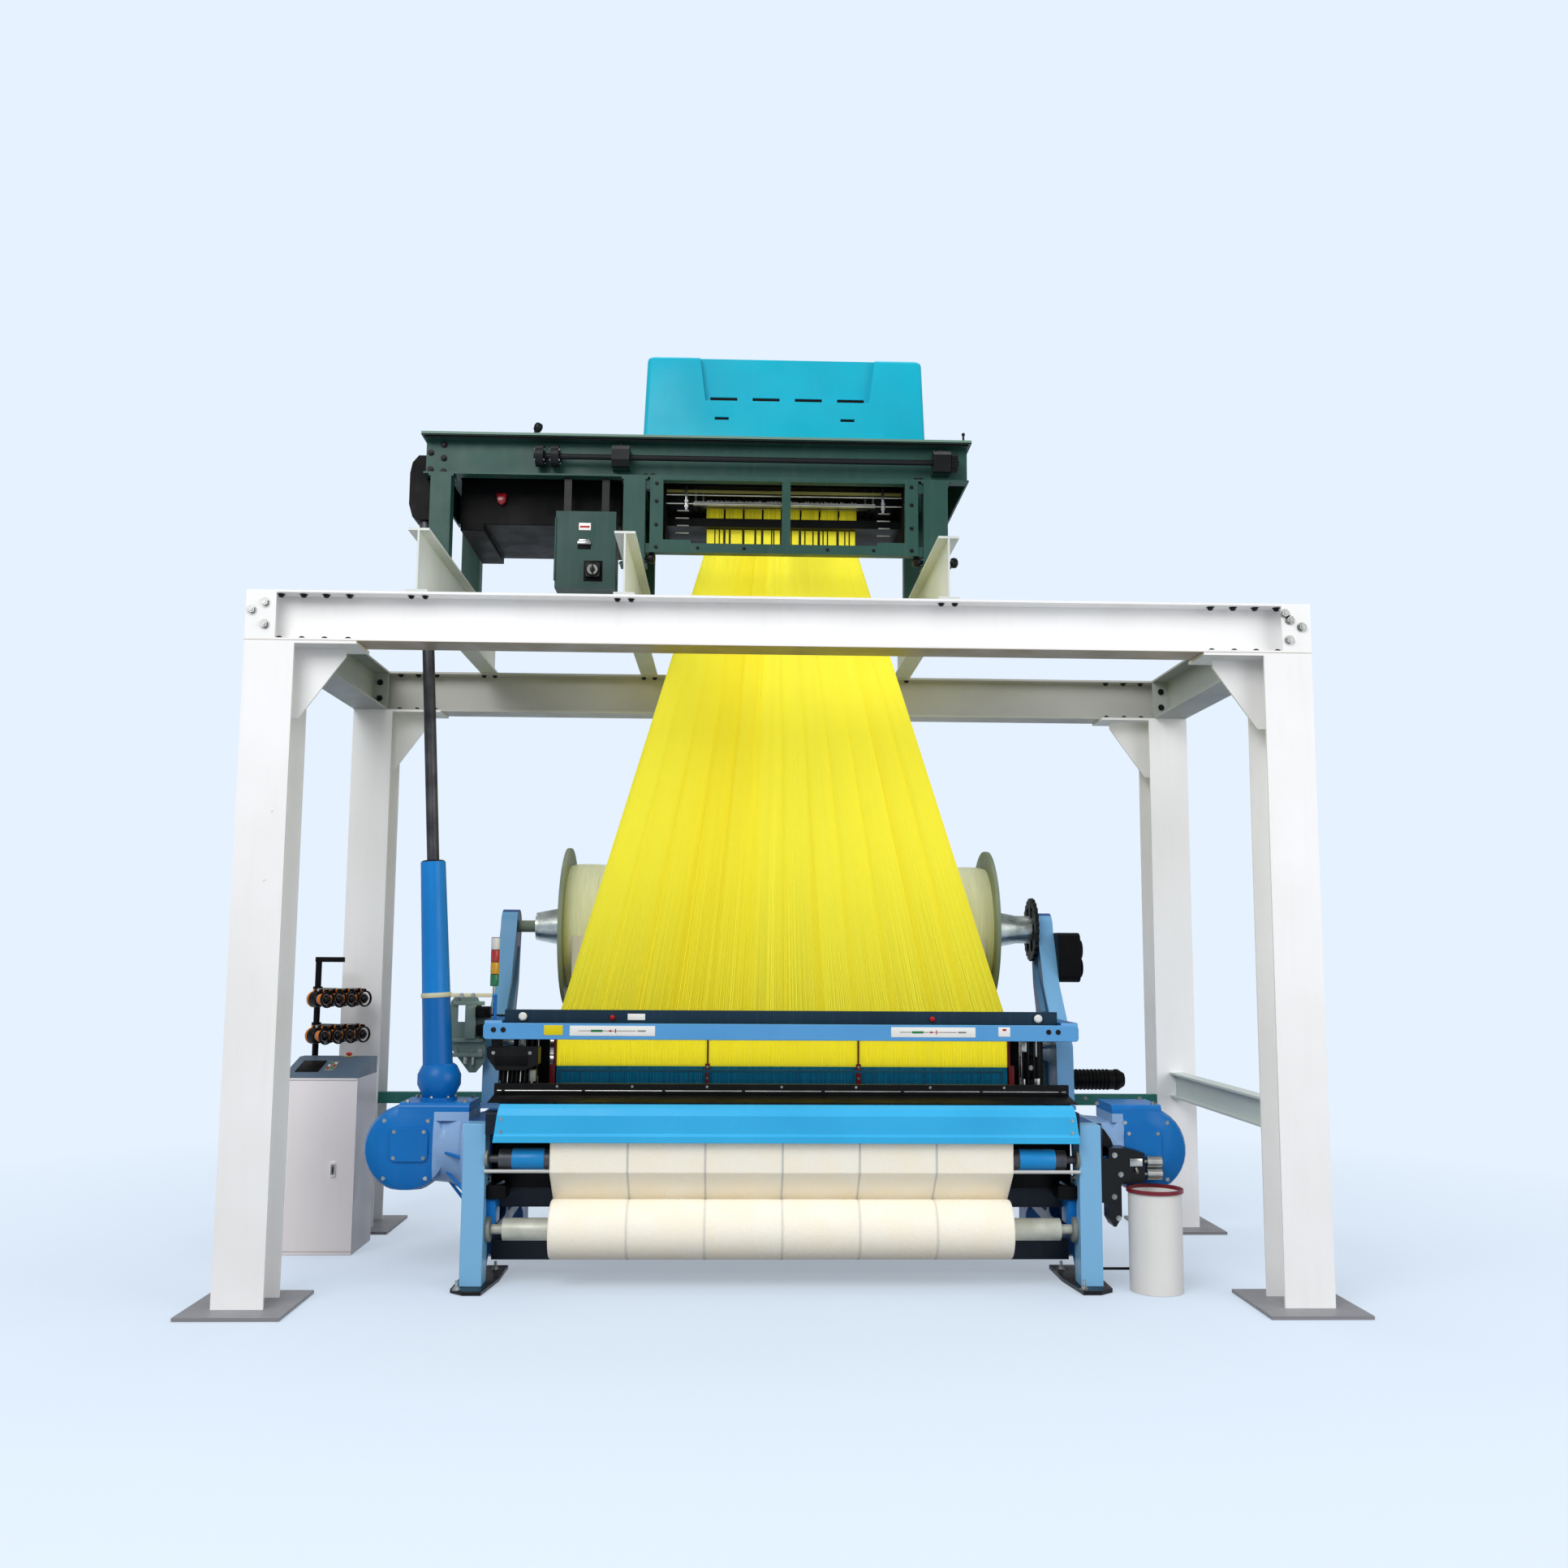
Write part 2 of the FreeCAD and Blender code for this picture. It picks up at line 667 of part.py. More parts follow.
def gear_outline(radius, tooth, teeth):
    """Corners of a toothed wheel with flat-topped teeth."""
    corners = []
    for index in range(teeth):
        for share, reach in ((0.0, 0.0), (0.2, tooth), (0.45, tooth), (0.65, 0.0)):
            angle = 2 * math.pi * (index + share) / teeth
            size = radius - tooth + reach
            corners.append((size * math.cos(angle), size * math.sin(angle)))
    return corners


def toothed_wheel(x0, x1, y, z, radius, tooth, teeth):
    corners = gear_outline(radius, tooth, teeth)
    return plate_yz([(y + a, z + b) for a, b in corners], x0, x1)


def sheet_line(stations):
    """The side view of a sheet drawn tight over rollers. A station is (y, z, radius): a roller
    left of the run has a positive radius, one right of it a negative one, an end has none.
    Round each roller the line is a polygon that touches it and never cuts into it."""
    headings = []
    for first, second in zip(stations, stations[1:]):
        dy = second[0] - first[0]
        dz = second[1] - first[1]
        lean = math.asin((second[2] - first[2]) / math.hypot(dy, dz))
        headings.append(math.atan2(dz, dy) - lean)
    line = []
    for index, (y, z, radius) in enumerate(stations):
        first = headings[max(index - 1, 0)]
        last = headings[min(index, len(headings) - 1)]
        turn = (last - first + math.pi) % (2 * math.pi) - math.pi
        steps = max(1, math.ceil(abs(turn) / math.radians(30)))
        line.append((y + radius * math.sin(first), z - radius * math.cos(first)))
        if radius == 0 or abs(turn) < 0.001:
            continue
        reach = radius / math.cos(turn / steps / 2)
        for step in range(steps):
            angle = first + (step + 0.5) * turn / steps
            line.append((y + reach * math.sin(angle), z - reach * math.cos(angle)))
        line.append((y + radius * math.sin(last), z - radius * math.cos(last)))
    return line


def ribbon(line, thickness, x0, x1):
    """A thin sheet whose left face follows a line of (y, z) points, with mitred corners."""
    offset = []
    for index, (y, z) in enumerate(line):
        before = line[max(index - 1, 0)]
        after = line[min(index + 1, len(line) - 1)]
        normals = []
        for first, second in ((before, (y, z)), ((y, z), after)):
            length = math.hypot(second[0] - first[0], second[1] - first[1])
            if length > 0:
                normals.append(((second[1] - first[1]) / length, (first[0] - second[0]) / length))
        ny = sum(normal[0] for normal in normals) / len(normals)
        nz = sum(normal[1] for normal in normals) / len(normals)
        scale = thickness / (ny * ny + nz * nz)
        offset.append((y + ny * scale, z + nz * scale))
    return plate_yz(line + offset[::-1], x0, x1)


# ================================================================ gantry
def column(side, end):
    """One welded H column with its base plate, cap plate and corner gusset."""
    x = side * COLUMN_X
    y = end * COLUMN_Y
    outer = side * GANTRY_WIDTH / 2
    outline = i_outline(COLUMN_WIDTH, COLUMN_DEPTH, COLUMN_FLANGE, COLUMN_WEB)
    post = plate_xy([(x + a, y - COLUMN_DEPTH / 2 + b) for a, b in outline],
                    BASE_PLATE, CAP_UNDERSIDE)
    base = block(x - BASE_WIDTH / 2, x + BASE_WIDTH / 2, y - BASE_DEPTH / 2,
                 y + BASE_DEPTH / 2, 0, BASE_PLATE)
    inner = outer - side * CAP_LENGTH
    cap = block(min(outer, inner), max(outer, inner), y - COLUMN_DEPTH / 2,
                y + COLUMN_DEPTH / 2, CAP_UNDERSIDE, BEAM_UNDERSIDE)
    shoulder = outer - side * COLUMN_WIDTH
    tip = outer - side * GUSSET_REACH
    gusset = plate_xz([(x, CAP_UNDERSIDE), (tip, CAP_UNDERSIDE), (tip, CAP_UNDERSIDE - GUSSET_LIP),
                       (shoulder, CAP_UNDERSIDE - GUSSET_DROP), (x, CAP_UNDERSIDE - GUSSET_DROP)],
                      y - GUSSET_PLATE / 2, y + GUSSET_PLATE / 2)
    return joined([post, base, cap, gusset])


def cross_beam(end):
    """A full-width gantry beam; welded plates close its outer side at both corners."""
    half = GANTRY_WIDTH / 2
    outer = end * GANTRY_DEPTH / 2
    centre = outer - end * BEAM_WIDTH / 2
    pieces = [beam_along_x(-half, half, centre, BEAM_UNDERSIDE, BEAM_WIDTH, BEAM_HEIGHT,
                           BEAM_FLANGE, BEAM_WEB)]
    behind = outer - end * CORNER_PLATE
    for x0 in (-half, half - CORNER_PLATE_WIDTH):
        pieces.append(block(x0, x0 + CORNER_PLATE_WIDTH, min(outer, behind), max(outer, behind),
                            BEAM_UNDERSIDE + BEAM_FLANGE, BEAM_TOP - BEAM_FLANGE))
    return joined(pieces)


def side_beam(side):
    """A short beam between the front and rear beams, with an end plate at each end."""
    x = side * (GANTRY_WIDTH - BEAM_WIDTH) / 2
    reach = GANTRY_DEPTH / 2 - BEAM_WIDTH
    pieces = [beam_along_y(-reach, reach, x, BEAM_UNDERSIDE, BEAM_WIDTH, BEAM_HEIGHT,
                           BEAM_FLANGE, BEAM_WEB)]
    for y0 in (-reach, reach - END_PLATE):
        pieces.append(block(x - BEAM_WIDTH / 2, x + BEAM_WIDTH / 2, y0, y0 + END_PLATE,
                            BEAM_UNDERSIDE, BEAM_TOP))
    return joined(pieces)


def joist(x):
    """One of the three beams that carry the head across the gantry."""
    return beam_along_y(-GANTRY_DEPTH / 2, GANTRY_DEPTH / 2, x, BEAM_TOP, JOIST_WIDTH,
                        JOIST_HEIGHT, JOIST_FLANGE, JOIST_WEB)


def rear_tie():
    """The low tie between the rear columns' webs."""
    reach = COLUMN_X - COLUMN_WEB / 2
    return block(-reach, reach, COLUMN_Y - REAR_TIE_WIDTH / 2, COLUMN_Y + REAR_TIE_WIDTH / 2,
                 REAR_TIE_TOP - REAR_TIE_HEIGHT, REAR_TIE_TOP)


def side_tie():
    """The low tie on the right, from the front column to the rear one."""
    reach = COLUMN_Y - COLUMN_DEPTH / 2
    return beam_along_y(-reach, reach, COLUMN_X, SIDE_TIE_TOP - SIDE_TIE_HEIGHT, SIDE_TIE_WIDTH,
                        SIDE_TIE_HEIGHT, BEAM_FLANGE, BEAM_WEB)


# ================================================================ jacquard head
def head_channel(end):
    """A long channel that opens outward, so that the line shaft can run in front of its web."""
    outer = end * HEAD_DEPTH / 2
    web = outer - end * HEAD_BEAM_LIP
    face = web + end * HEAD_BEAM_PLATE
    low = HEAD_BEAM_BOTTOM
    high = HEAD_BEAM_TOP
    skin = HEAD_BEAM_PLATE
    outline = [(outer, low), (web, low), (web, high), (outer, high), (outer, high - skin),
               (face, high - skin), (face, low + skin), (outer, low + skin)]
    return plate_yz(outline, HEAD_LEFT, HEAD_RIGHT)


def head_leg(x, width, end):
    """A box leg between a joist and a head channel, on its bolted foot."""
    outer = end * HEAD_DEPTH / 2
    inner = outer - end * HEAD_LEG_DEPTH
    y0 = min(outer, inner)
    y1 = max(outer, inner)
    post = block(x - width / 2, x + width / 2, y0, y1, JOIST_TOP, HEAD_BEAM_BOTTOM)
    foot = block(x - width / 2 - LEG_FOOT_LIP, x + width / 2 + LEG_FOOT_LIP, y0, y1,
                 JOIST_TOP, JOIST_TOP + LEG_FOOT)
    cap = block(x - width / 2 - LEG_FOOT_LIP, x + width / 2 + LEG_FOOT_LIP, y0, y1,
                HEAD_BEAM_BOTTOM - LEG_FOOT, HEAD_BEAM_BOTTOM)
    return joined([post, foot, cap])


def line_bearing(x):
    """A pillow block on the front channel's web, drawn in towards its front."""
    half = LINE_BEARING_HEIGHT / 2
    front = LINE_SHAFT_Y - half
    draw = half / 2
    outline = [(HEAD_WEB_FRONT, LINE_SHAFT_HEIGHT - half), (HEAD_WEB_FRONT, LINE_SHAFT_HEIGHT + half),
               (front + draw, LINE_SHAFT_HEIGHT + half), (front, LINE_SHAFT_HEIGHT + half - draw),
               (front, LINE_SHAFT_HEIGHT - half + draw), (front + draw, LINE_SHAFT_HEIGHT - half)]
    body = plate_yz(outline, x - LINE_BEARING_WIDTH / 2, x + LINE_BEARING_WIDTH / 2)
    return body.cut(flat_bore(x - LINE_BEARING_WIDTH, x + LINE_BEARING_WIDTH, LINE_SHAFT_Y,
                              LINE_SHAFT_HEIGHT, LINE_SHAFT_RADIUS))


def head_frame():
    """Both channels, their legs, end plates and cross bars, and the deck plate that carries the
    cover, welded into one frame."""
    inner = HEAD_DEPTH / 2 - HEAD_BEAM_LIP
    pieces = [head_channel(-1), head_channel(1)]
    for x, width in zip(HEAD_LEG_PLACES, HEAD_LEG_WIDTHS):
        pieces.append(head_leg(x, width, -1))
        pieces.append(head_leg(x, width, 1))
    for x0 in (HEAD_LEFT, HEAD_RIGHT - HEAD_BEAM_PLATE):
        pieces.append(block(x0, x0 + HEAD_BEAM_PLATE, -inner, inner, HEAD_BEAM_BOTTOM,
                            HEAD_BEAM_TOP))
    for x in HEAD_LEG_PLACES:
        pieces.append(block(x - CROSS_BAR_WIDTH / 2, x + CROSS_BAR_WIDTH / 2, -inner, inner,
                            HEAD_BEAM_TOP - CROSS_BAR_HEIGHT, HEAD_BEAM_TOP))
    for x in LINE_BEARINGS:
        pieces.append(line_bearing(x))
    front = HEAD_FRONT - DECK_LIP
    pieces.append(block(HEAD_LEFT - DECK_LIP, HEAD_RIGHT + DECK_LIP, front, -front,
                        HEAD_BEAM_TOP, DECK_TOP))
    return joined(pieces)


def cover_ring(height, inset):
    """The cover's outline at a height, with rounded corners, drawn in by an inset."""
    share = (height - DECK_TOP) / COVER_HEIGHT
    half = (COVER_WIDTH_BOTTOM + share * (COVER_WIDTH_TOP - COVER_WIDTH_BOTTOM)) / 2 - inset
    deep = (COVER_DEPTH + share * (COVER_DEPTH_TOP - COVER_DEPTH)) / 2 - inset
    outline = rounded_outline(COVER_CENTRE - half, COVER_CENTRE + half, -deep, deep,
                              COVER_ROUNDING, COVER_CHORDS)
    return [point(x, y, height) for x, y in outline]


def head_cover():
    """The cover over the selection modules: drawn in towards its top, rounded at its corners and
    upper edge, with a recess from its top down to a row of air slots, and two hand recesses."""
    top = DECK_TOP + COVER_HEIGHT
    rings = [cover_ring(DECK_TOP, 0)]
    for step in range(COVER_CHORDS + 1):
        angle = math.radians(90 * step / COVER_CHORDS)
        rings.append(cover_ring(top - COVER_ROUNDING * (1 - math.sin(angle)),
                                COVER_ROUNDING * (1 - math.cos(angle))))
    shell = between_rings(rings)
    front = -COVER_DEPTH / 2
    recess_bottom = top - RECESS_HEIGHT
    wide = RECESS_WIDTH_TOP / 2
    slim = RECESS_WIDTH_BOTTOM / 2
    recess = plate_xz([(RECESS_CENTRE - wide, top + 1), (RECESS_CENTRE + wide, top + 1),
                       (RECESS_CENTRE + slim, recess_bottom), (RECESS_CENTRE - slim, recess_bottom)],
                      front - RECESS_DEPTH, front + RECESS_DEPTH)
    shell = shell.cut(recess)
    for index in range(SLOT_COUNT):
        x = RECESS_CENTRE + (index - (SLOT_COUNT - 1) / 2) * SLOT_PITCH
        low = recess_bottom + SLOT_RISE
        shell = shell.cut(block(x - SLOT_LENGTH / 2, x + SLOT_LENGTH / 2, front, front
                                + RECESS_DEPTH + SLOT_DEPTH, low, low + SLOT_HEIGHT))
    for x in (COVER_CENTRE - HAND_RECESS_REACH, COVER_CENTRE + HAND_RECESS_REACH):
        low = DECK_TOP + HAND_RECESS_RISE
        half = HAND_RECESS_LENGTH / 2
        shell = shell.cut(block(x - half, x + half, front, front + HAND_RECESS_DEPTH, low,
                                low + HAND_RECESS_HEIGHT))
    return shell


def window_frame():
    """The frame round the harness window, with two lights and a middle bar."""
    y0 = HEAD_FRONT
    y1 = HEAD_FRONT + WINDOW_DEPTH
    top = HEAD_BEAM_BOTTOM
    sill_top = WINDOW_SILL_BOTTOM + WINDOW_SILL
    pieces = [block(WINDOW_LEFT, WINDOW_RIGHT, y0, y1, WINDOW_SILL_BOTTOM, top)]
    edges = (WINDOW_LEFT + WINDOW_STILE, WINDOW_MULLION_PLACE - WINDOW_MULLION / 2,
             WINDOW_MULLION_PLACE + WINDOW_MULLION / 2, WINDOW_RIGHT - WINDOW_STILE)
    frame = pieces[0]
    for x0, x1 in (edges[0:2], edges[2:4]):
        frame = frame.cut(block(x0, x1, y0 - 1, y1 + 1, sill_top, top - WINDOW_TOP_RAIL))
    corners = [frame]
    for x0 in (edges[0], edges[3] - WINDOW_CORNER_LENGTH):
        corners.append(block(x0, x0 + WINDOW_CORNER_LENGTH, y0, y1, sill_top,
                             sill_top + WINDOW_CORNER_HEIGHT))
    leg_right = HEAD_LEG_PLACES[1] + HEAD_LEG_WIDTHS[1] / 2
    leg_left = HEAD_LEG_PLACES[2] - HEAD_LEG_WIDTHS[2] / 2
    for x0, x1 in ((leg_right, WINDOW_LEFT), (WINDOW_RIGHT, leg_left)):
        for z0 in (WINDOW_SILL_BOTTOM, top - LEG_FOOT - WINDOW_SILL):
            corners.append(block(x0, x1, y0 + WINDOW_TAB, y1, z0, z0 + WINDOW_SILL))
    return joined(corners)


def griffe_place(length, depth):
    """The corners of a griffe: left, right, front, rear."""
    return (HARNESS_CENTRE + WINDOW_MULLION_PLACE / 2 - length / 2,
            HARNESS_CENTRE + WINDOW_MULLION_PLACE / 2 + length / 2, -depth / 2, depth / 2)


def griffe_posts(length, depth, extra, z0, z1):
    """The four guide posts of a griffe."""
    left, right, front, rear = griffe_place(length, depth)
    inset = GRIFFE_RAIL / 2
    posts = []
    for x in (left + inset, right - inset):
        for y in (front + inset, rear - inset):
            posts.append(faceted_rod(point(x, y, z0), point(x, y, z1),
                                     GRIFFE_POST_RADIUS + extra, GRIFFE_POST_SIDES))
    return posts


def griffe(length, depth):
    """A lifting frame: a ring of square rail on four posts that slide in the hook box."""
    left, right, front, rear = griffe_place(length, depth)
    low = GRIFFE_HEIGHT - GRIFFE_RAIL / 2
    high = GRIFFE_HEIGHT + GRIFFE_RAIL / 2
    ring = block(left, right, front, rear, low, high)
    ring = ring.cut(block(left + GRIFFE_RAIL, right - GRIFFE_RAIL, front + GRIFFE_RAIL,
                          rear - GRIFFE_RAIL, low - 1, high + 1))
    return joined([ring] + griffe_posts(length, depth, 0, low, GRIFFE_HEIGHT + GRIFFE_POST_LENGTH))


def hook_box():
    """The closed module block above the window, its two cheeks, the back sheet, and the guide
    board that spaces the harness cords. Bores in its underside guide the griffe posts."""
    half = HOOK_BOX_DEPTH / 2
    body = block(HOOK_BOX_LEFT, HOOK_BOX_RIGHT, -half, half, HOOK_BOX_BOTTOM, HEAD_BEAM_TOP)
    reach = GRIFFE_HEIGHT + GRIFFE_POST_LENGTH + GRIFFE_STROKE + MOVING_GAP
    for length, depth in ((GRIFFE_OUTER_LENGTH, GRIFFE_OUTER_DEPTH),
                          (GRIFFE_INNER_LENGTH, GRIFFE_INNER_DEPTH)):
        for bore in griffe_posts(length, depth, SHAFT_PLAY, HOOK_BOX_BOTTOM - 1, reach):
            body = body.cut(bore)
    pieces = [body]
    for x0 in (HOOK_BOX_LEFT, HOOK_BOX_RIGHT - CHEEK_PLATE):
        pieces.append(plate_yz([(-half, HOOK_BOX_BOTTOM), (half, HOOK_BOX_BOTTOM),
                                (half, CHEEK_REAR_BOTTOM), (-half, CHEEK_BOTTOM)],
                               x0, x0 + CHEEK_PLATE))
    pieces.append(block(HOOK_BOX_LEFT, HOOK_BOX_RIGHT, half - CHEEK_PLATE, half,
                        CHEEK_REAR_BOTTOM, HOOK_BOX_BOTTOM))
    pieces.append(block(HOOK_BOX_LEFT, HOOK_BOX_RIGHT, -GUIDE_BOARD_DEPTH / 2,
                        GUIDE_BOARD_DEPTH / 2, GUIDE_BOARD_BOTTOM, GUIDE_BOARD_TOP))
    return joined(pieces)


def head_drive():
    """The bevel box that takes the upright shaft, on the frame's left end plate."""
    x0 = HEAD_LEFT - BEVEL_BOX_REACH
    inboard = HEAD_LEFT + BEVEL_BOX_INBOARD
    outline = [(HEAD_LEFT, BEVEL_BOX_TOP), (x0 + 45, BEVEL_BOX_TOP), (x0 + 12, BEVEL_BOX_TOP - 40),
               (x0, BEVEL_BOX_TOP - 100), (x0, BEVEL_BOX_BOTTOM + 90),
               (x0 + 20, BEVEL_BOX_BOTTOM + 20), (x0 + 45, BEVEL_BOX_BOTTOM),
               (inboard, BEVEL_BOX_BOTTOM), (inboard, HEAD_BEAM_BOTTOM - MOVING_GAP),
               (HEAD_LEFT, HEAD_BEAM_BOTTOM - MOVING_GAP)]
    body = plate_xz(outline, BEVEL_BOX_FRONT, BEVEL_BOX_FRONT + BEVEL_BOX_DEPTH)
    return body.cut(shaft_solid(SHAFT_RADIUS + SHAFT_PLAY, BEVEL_BOX_BOTTOM - 50,
                                BEVEL_BOX_BOTTOM + 60))


def lamp_housing():
    """The closed knife-drive block that hangs under the deck in the left bay."""
    front = CONTROL_BOX_FRONT + CONTROL_BOX_DEPTH + 15
    low = HEAD_BEAM_BOTTOM - LAMP_HOUSING_DROP
    step = LAMP_HOUSING_LEFT + 130
    outline = [(LAMP_HOUSING_LEFT, low - 35), (step, low - 35), (step, low),
               (LAMP_HOUSING_RIGHT, low), (LAMP_HOUSING_RIGHT, HEAD_BEAM_TOP),
               (LAMP_HOUSING_LEFT, HEAD_BEAM_TOP)]
    return plate_xz(outline, front, front + LAMP_HOUSING_DEPTH)


def line_shaft():
    """The small cross shaft with its two couplings and its end pinion."""
    pieces = [journal_bar(LINE_SHAFT_LEFT, LINE_SHAFT_RIGHT, LINE_SHAFT_Y, LINE_SHAFT_HEIGHT,
                          LINE_SHAFT_RADIUS)]
    for x in COUPLINGS:
        half = COUPLING_WIDTH / 2
        pieces.append(faceted_rod(point(x - half, LINE_SHAFT_Y, LINE_SHAFT_HEIGHT),
                                  point(x + half, LINE_SHAFT_Y, LINE_SHAFT_HEIGHT),
                                  COUPLING_RADIUS, 2 * ROD_SIDES))
    pinion = toothed_wheel(LINE_GEAR_PLACE - LINE_GEAR_WIDTH / 2,
                           LINE_GEAR_PLACE + LINE_GEAR_WIDTH / 2, LINE_SHAFT_Y,
                           LINE_SHAFT_HEIGHT, LINE_GEAR_RADIUS, LINE_GEAR_TOOTH, LINE_GEAR_TEETH)
    return joined(pieces + [pinion])


def control_box():
    """An open-fronted box that hangs from the front channel on two straps."""
    x0 = CONTROL_BOX_LEFT
    x1 = x0 + CONTROL_BOX_WIDTH
    y0 = CONTROL_BOX_FRONT
    y1 = y0 + CONTROL_BOX_DEPTH
    z0 = CONTROL_BOX_BOTTOM
    z1 = z0 + CONTROL_BOX_HEIGHT
    wall = CONTROL_BOX_WALL
    body = block(x0, x1, y0, y1, z0, z1)
    body = body.cut(block(x0 + wall, x1 - wall, y0 - 1, y1 - wall, z0 + wall, z1 - wall))
    pieces = [body]
    for strap in (x0 + CONTROL_BOX_STRAP, x1 - 2 * CONTROL_BOX_STRAP):
        pieces.append(block(strap, strap + CONTROL_BOX_STRAP, y0 + wall, y0 + 3 * wall, z1,
                            HEAD_BEAM_BOTTOM))
    return joined(pieces)


def control_hinge():
    """The axis of the control box door."""
    return CONTROL_BOX_LEFT, CONTROL_BOX_FRONT - DOOR_GAP - DOOR_PLATE / 2


def control_knob_place():
    """The middle of the isolator's grip."""
    return CONTROL_BOX_LEFT + KNOB_INSET, CONTROL_BOX_BOTTOM + KNOB_DROP


def control_box_door():
    """The flat door with its hinge barrel, and the bore for the isolator spindle."""
    x, y = control_hinge()
    z0 = CONTROL_BOX_BOTTOM
    z1 = z0 + CONTROL_BOX_HEIGHT
    front = CONTROL_BOX_FRONT - DOOR_GAP - DOOR_PLATE
    leaf = block(x, x + CONTROL_BOX_WIDTH, front, CONTROL_BOX_FRONT - DOOR_GAP, z0, z1)
    barrel_y = CONTROL_BOX_FRONT - DOOR_GAP - HINGE_RADIUS
    barrel = faceted_rod(point(x, barrel_y, z0 + 40), point(x, barrel_y, z1 - 40),
                         HINGE_RADIUS, ROD_SIDES)
    kx, kz = control_knob_place()
    door = joined([leaf, barrel])
    reach = (KNOB_SPINDLE_RADIUS + SHAFT_PLAY) / math.cos(math.pi / STOP_SIDES)
    bore = faceted_rod(point(kx, front - 20, kz), point(kx, front + 20, kz), reach, STOP_SIDES)
    return door.cut(bore)


def control_knob():
    """The square isolator grip on its round spindle."""
    x, z = control_knob_place()
    front = CONTROL_BOX_FRONT - DOOR_GAP - DOOR_PLATE
    half = KNOB_SIZE / 2
    grip = plate_xz(rounded_outline(x - half, x + half, z - half, z + half, KNOB_SIZE / 8, 2),
                    front - KNOB_DEPTH, front - DOOR_GAP)
    spindle = faceted_rod(point(x, front - KNOB_DEPTH / 2, z), point(x, front + DOOR_PLATE, z),
                          KNOB_SPINDLE_RADIUS, STOP_SIDES)
    return joined([grip, spindle])


# ================================================================ harness
def fan_section(centre_x, centre_y, width, depth, height, bundles):
    """The fan's outline at one height: each bundle of cords is a low ridge front and back."""
    pitch = width / bundles
    groove = FAN_GROOVE * pitch
    left = centre_x - width / 2
    front = []
    for index in range(bundles):
        x = left + index * pitch
        front += [(x, centre_y - depth / 2 + groove), (x + pitch / 2, centre_y - depth / 2)]
    front.append((left + width, centre_y - depth / 2 + groove))
    rear = [(x, 2 * centre_y - y) for x, y in front]
    return [point(x, y, height) for x, y in front + rear[::-1]]


def harness_fan():
    """The spread of harness cords from the guide board down to the comber board, with the
    upright necks of the cord groups above and below the guide board."""
    fan = between_rings([
        fan_section(HARNESS_CENTRE, 0, FAN_TOP_WIDTH, FAN_TOP_DEPTH, FAN_TOP, FAN_BUNDLES),
        fan_section(HARNESS_CENTRE + FAN_BOTTOM_SHIFT, COMBER_CENTRE_Y, FAN_BOTTOM_WIDTH,
                    FAN_BOTTOM_DEPTH, COMBER_TOP, FAN_BUNDLES)])
    pitch = FAN_TOP_WIDTH / NECK_GROUPS
    half = FAN_TOP_DEPTH / 2 - 2 * FAN_GROOVE * FAN_TOP_WIDTH / FAN_BUNDLES
    lower = [fan]
    upper = []
    for index in range(NECK_GROUPS):
        x0 = HARNESS_CENTRE - FAN_TOP_WIDTH / 2 + index * pitch + NECK_GAP / 2
        x1 = x0 + pitch - NECK_GAP
        lower.append(block(x0, x1, -half, half, FAN_TOP, GUIDE_BOARD_BOTTOM))
        upper.append(block(x0, x1, -half, half, GUIDE_BOARD_TOP, NECK_TOP))
    return Part.makeCompound([joined(lower)] + upper)


def heddles():
    """The lower harness: three fields of cords, heddle wires and springs between the comber
    board and the spring bar."""
    half = HEDDLE_DEPTH / 2
    left = HARNESS_CENTRE + FAN_BOTTOM_SHIFT - HEDDLE_WIDTH / 2
    pitch = HEDDLE_WIDTH / HEDDLE_FIELDS
    fields = []
    for index in range(HEDDLE_FIELDS):
        x0 = left + index * pitch + (DIVIDER_WIDTH / 2 if index else 0)
        x1 = left + (index + 1) * pitch - (DIVIDER_WIDTH / 2 if index < HEDDLE_FIELDS - 1 else 0)
        fields.append(block(x0, x1, COMBER_CENTRE_Y - half, COMBER_CENTRE_Y + half, HEDDLE_BOTTOM,
                            COMBER_HEIGHT))
    return Part.makeCompound(fields)


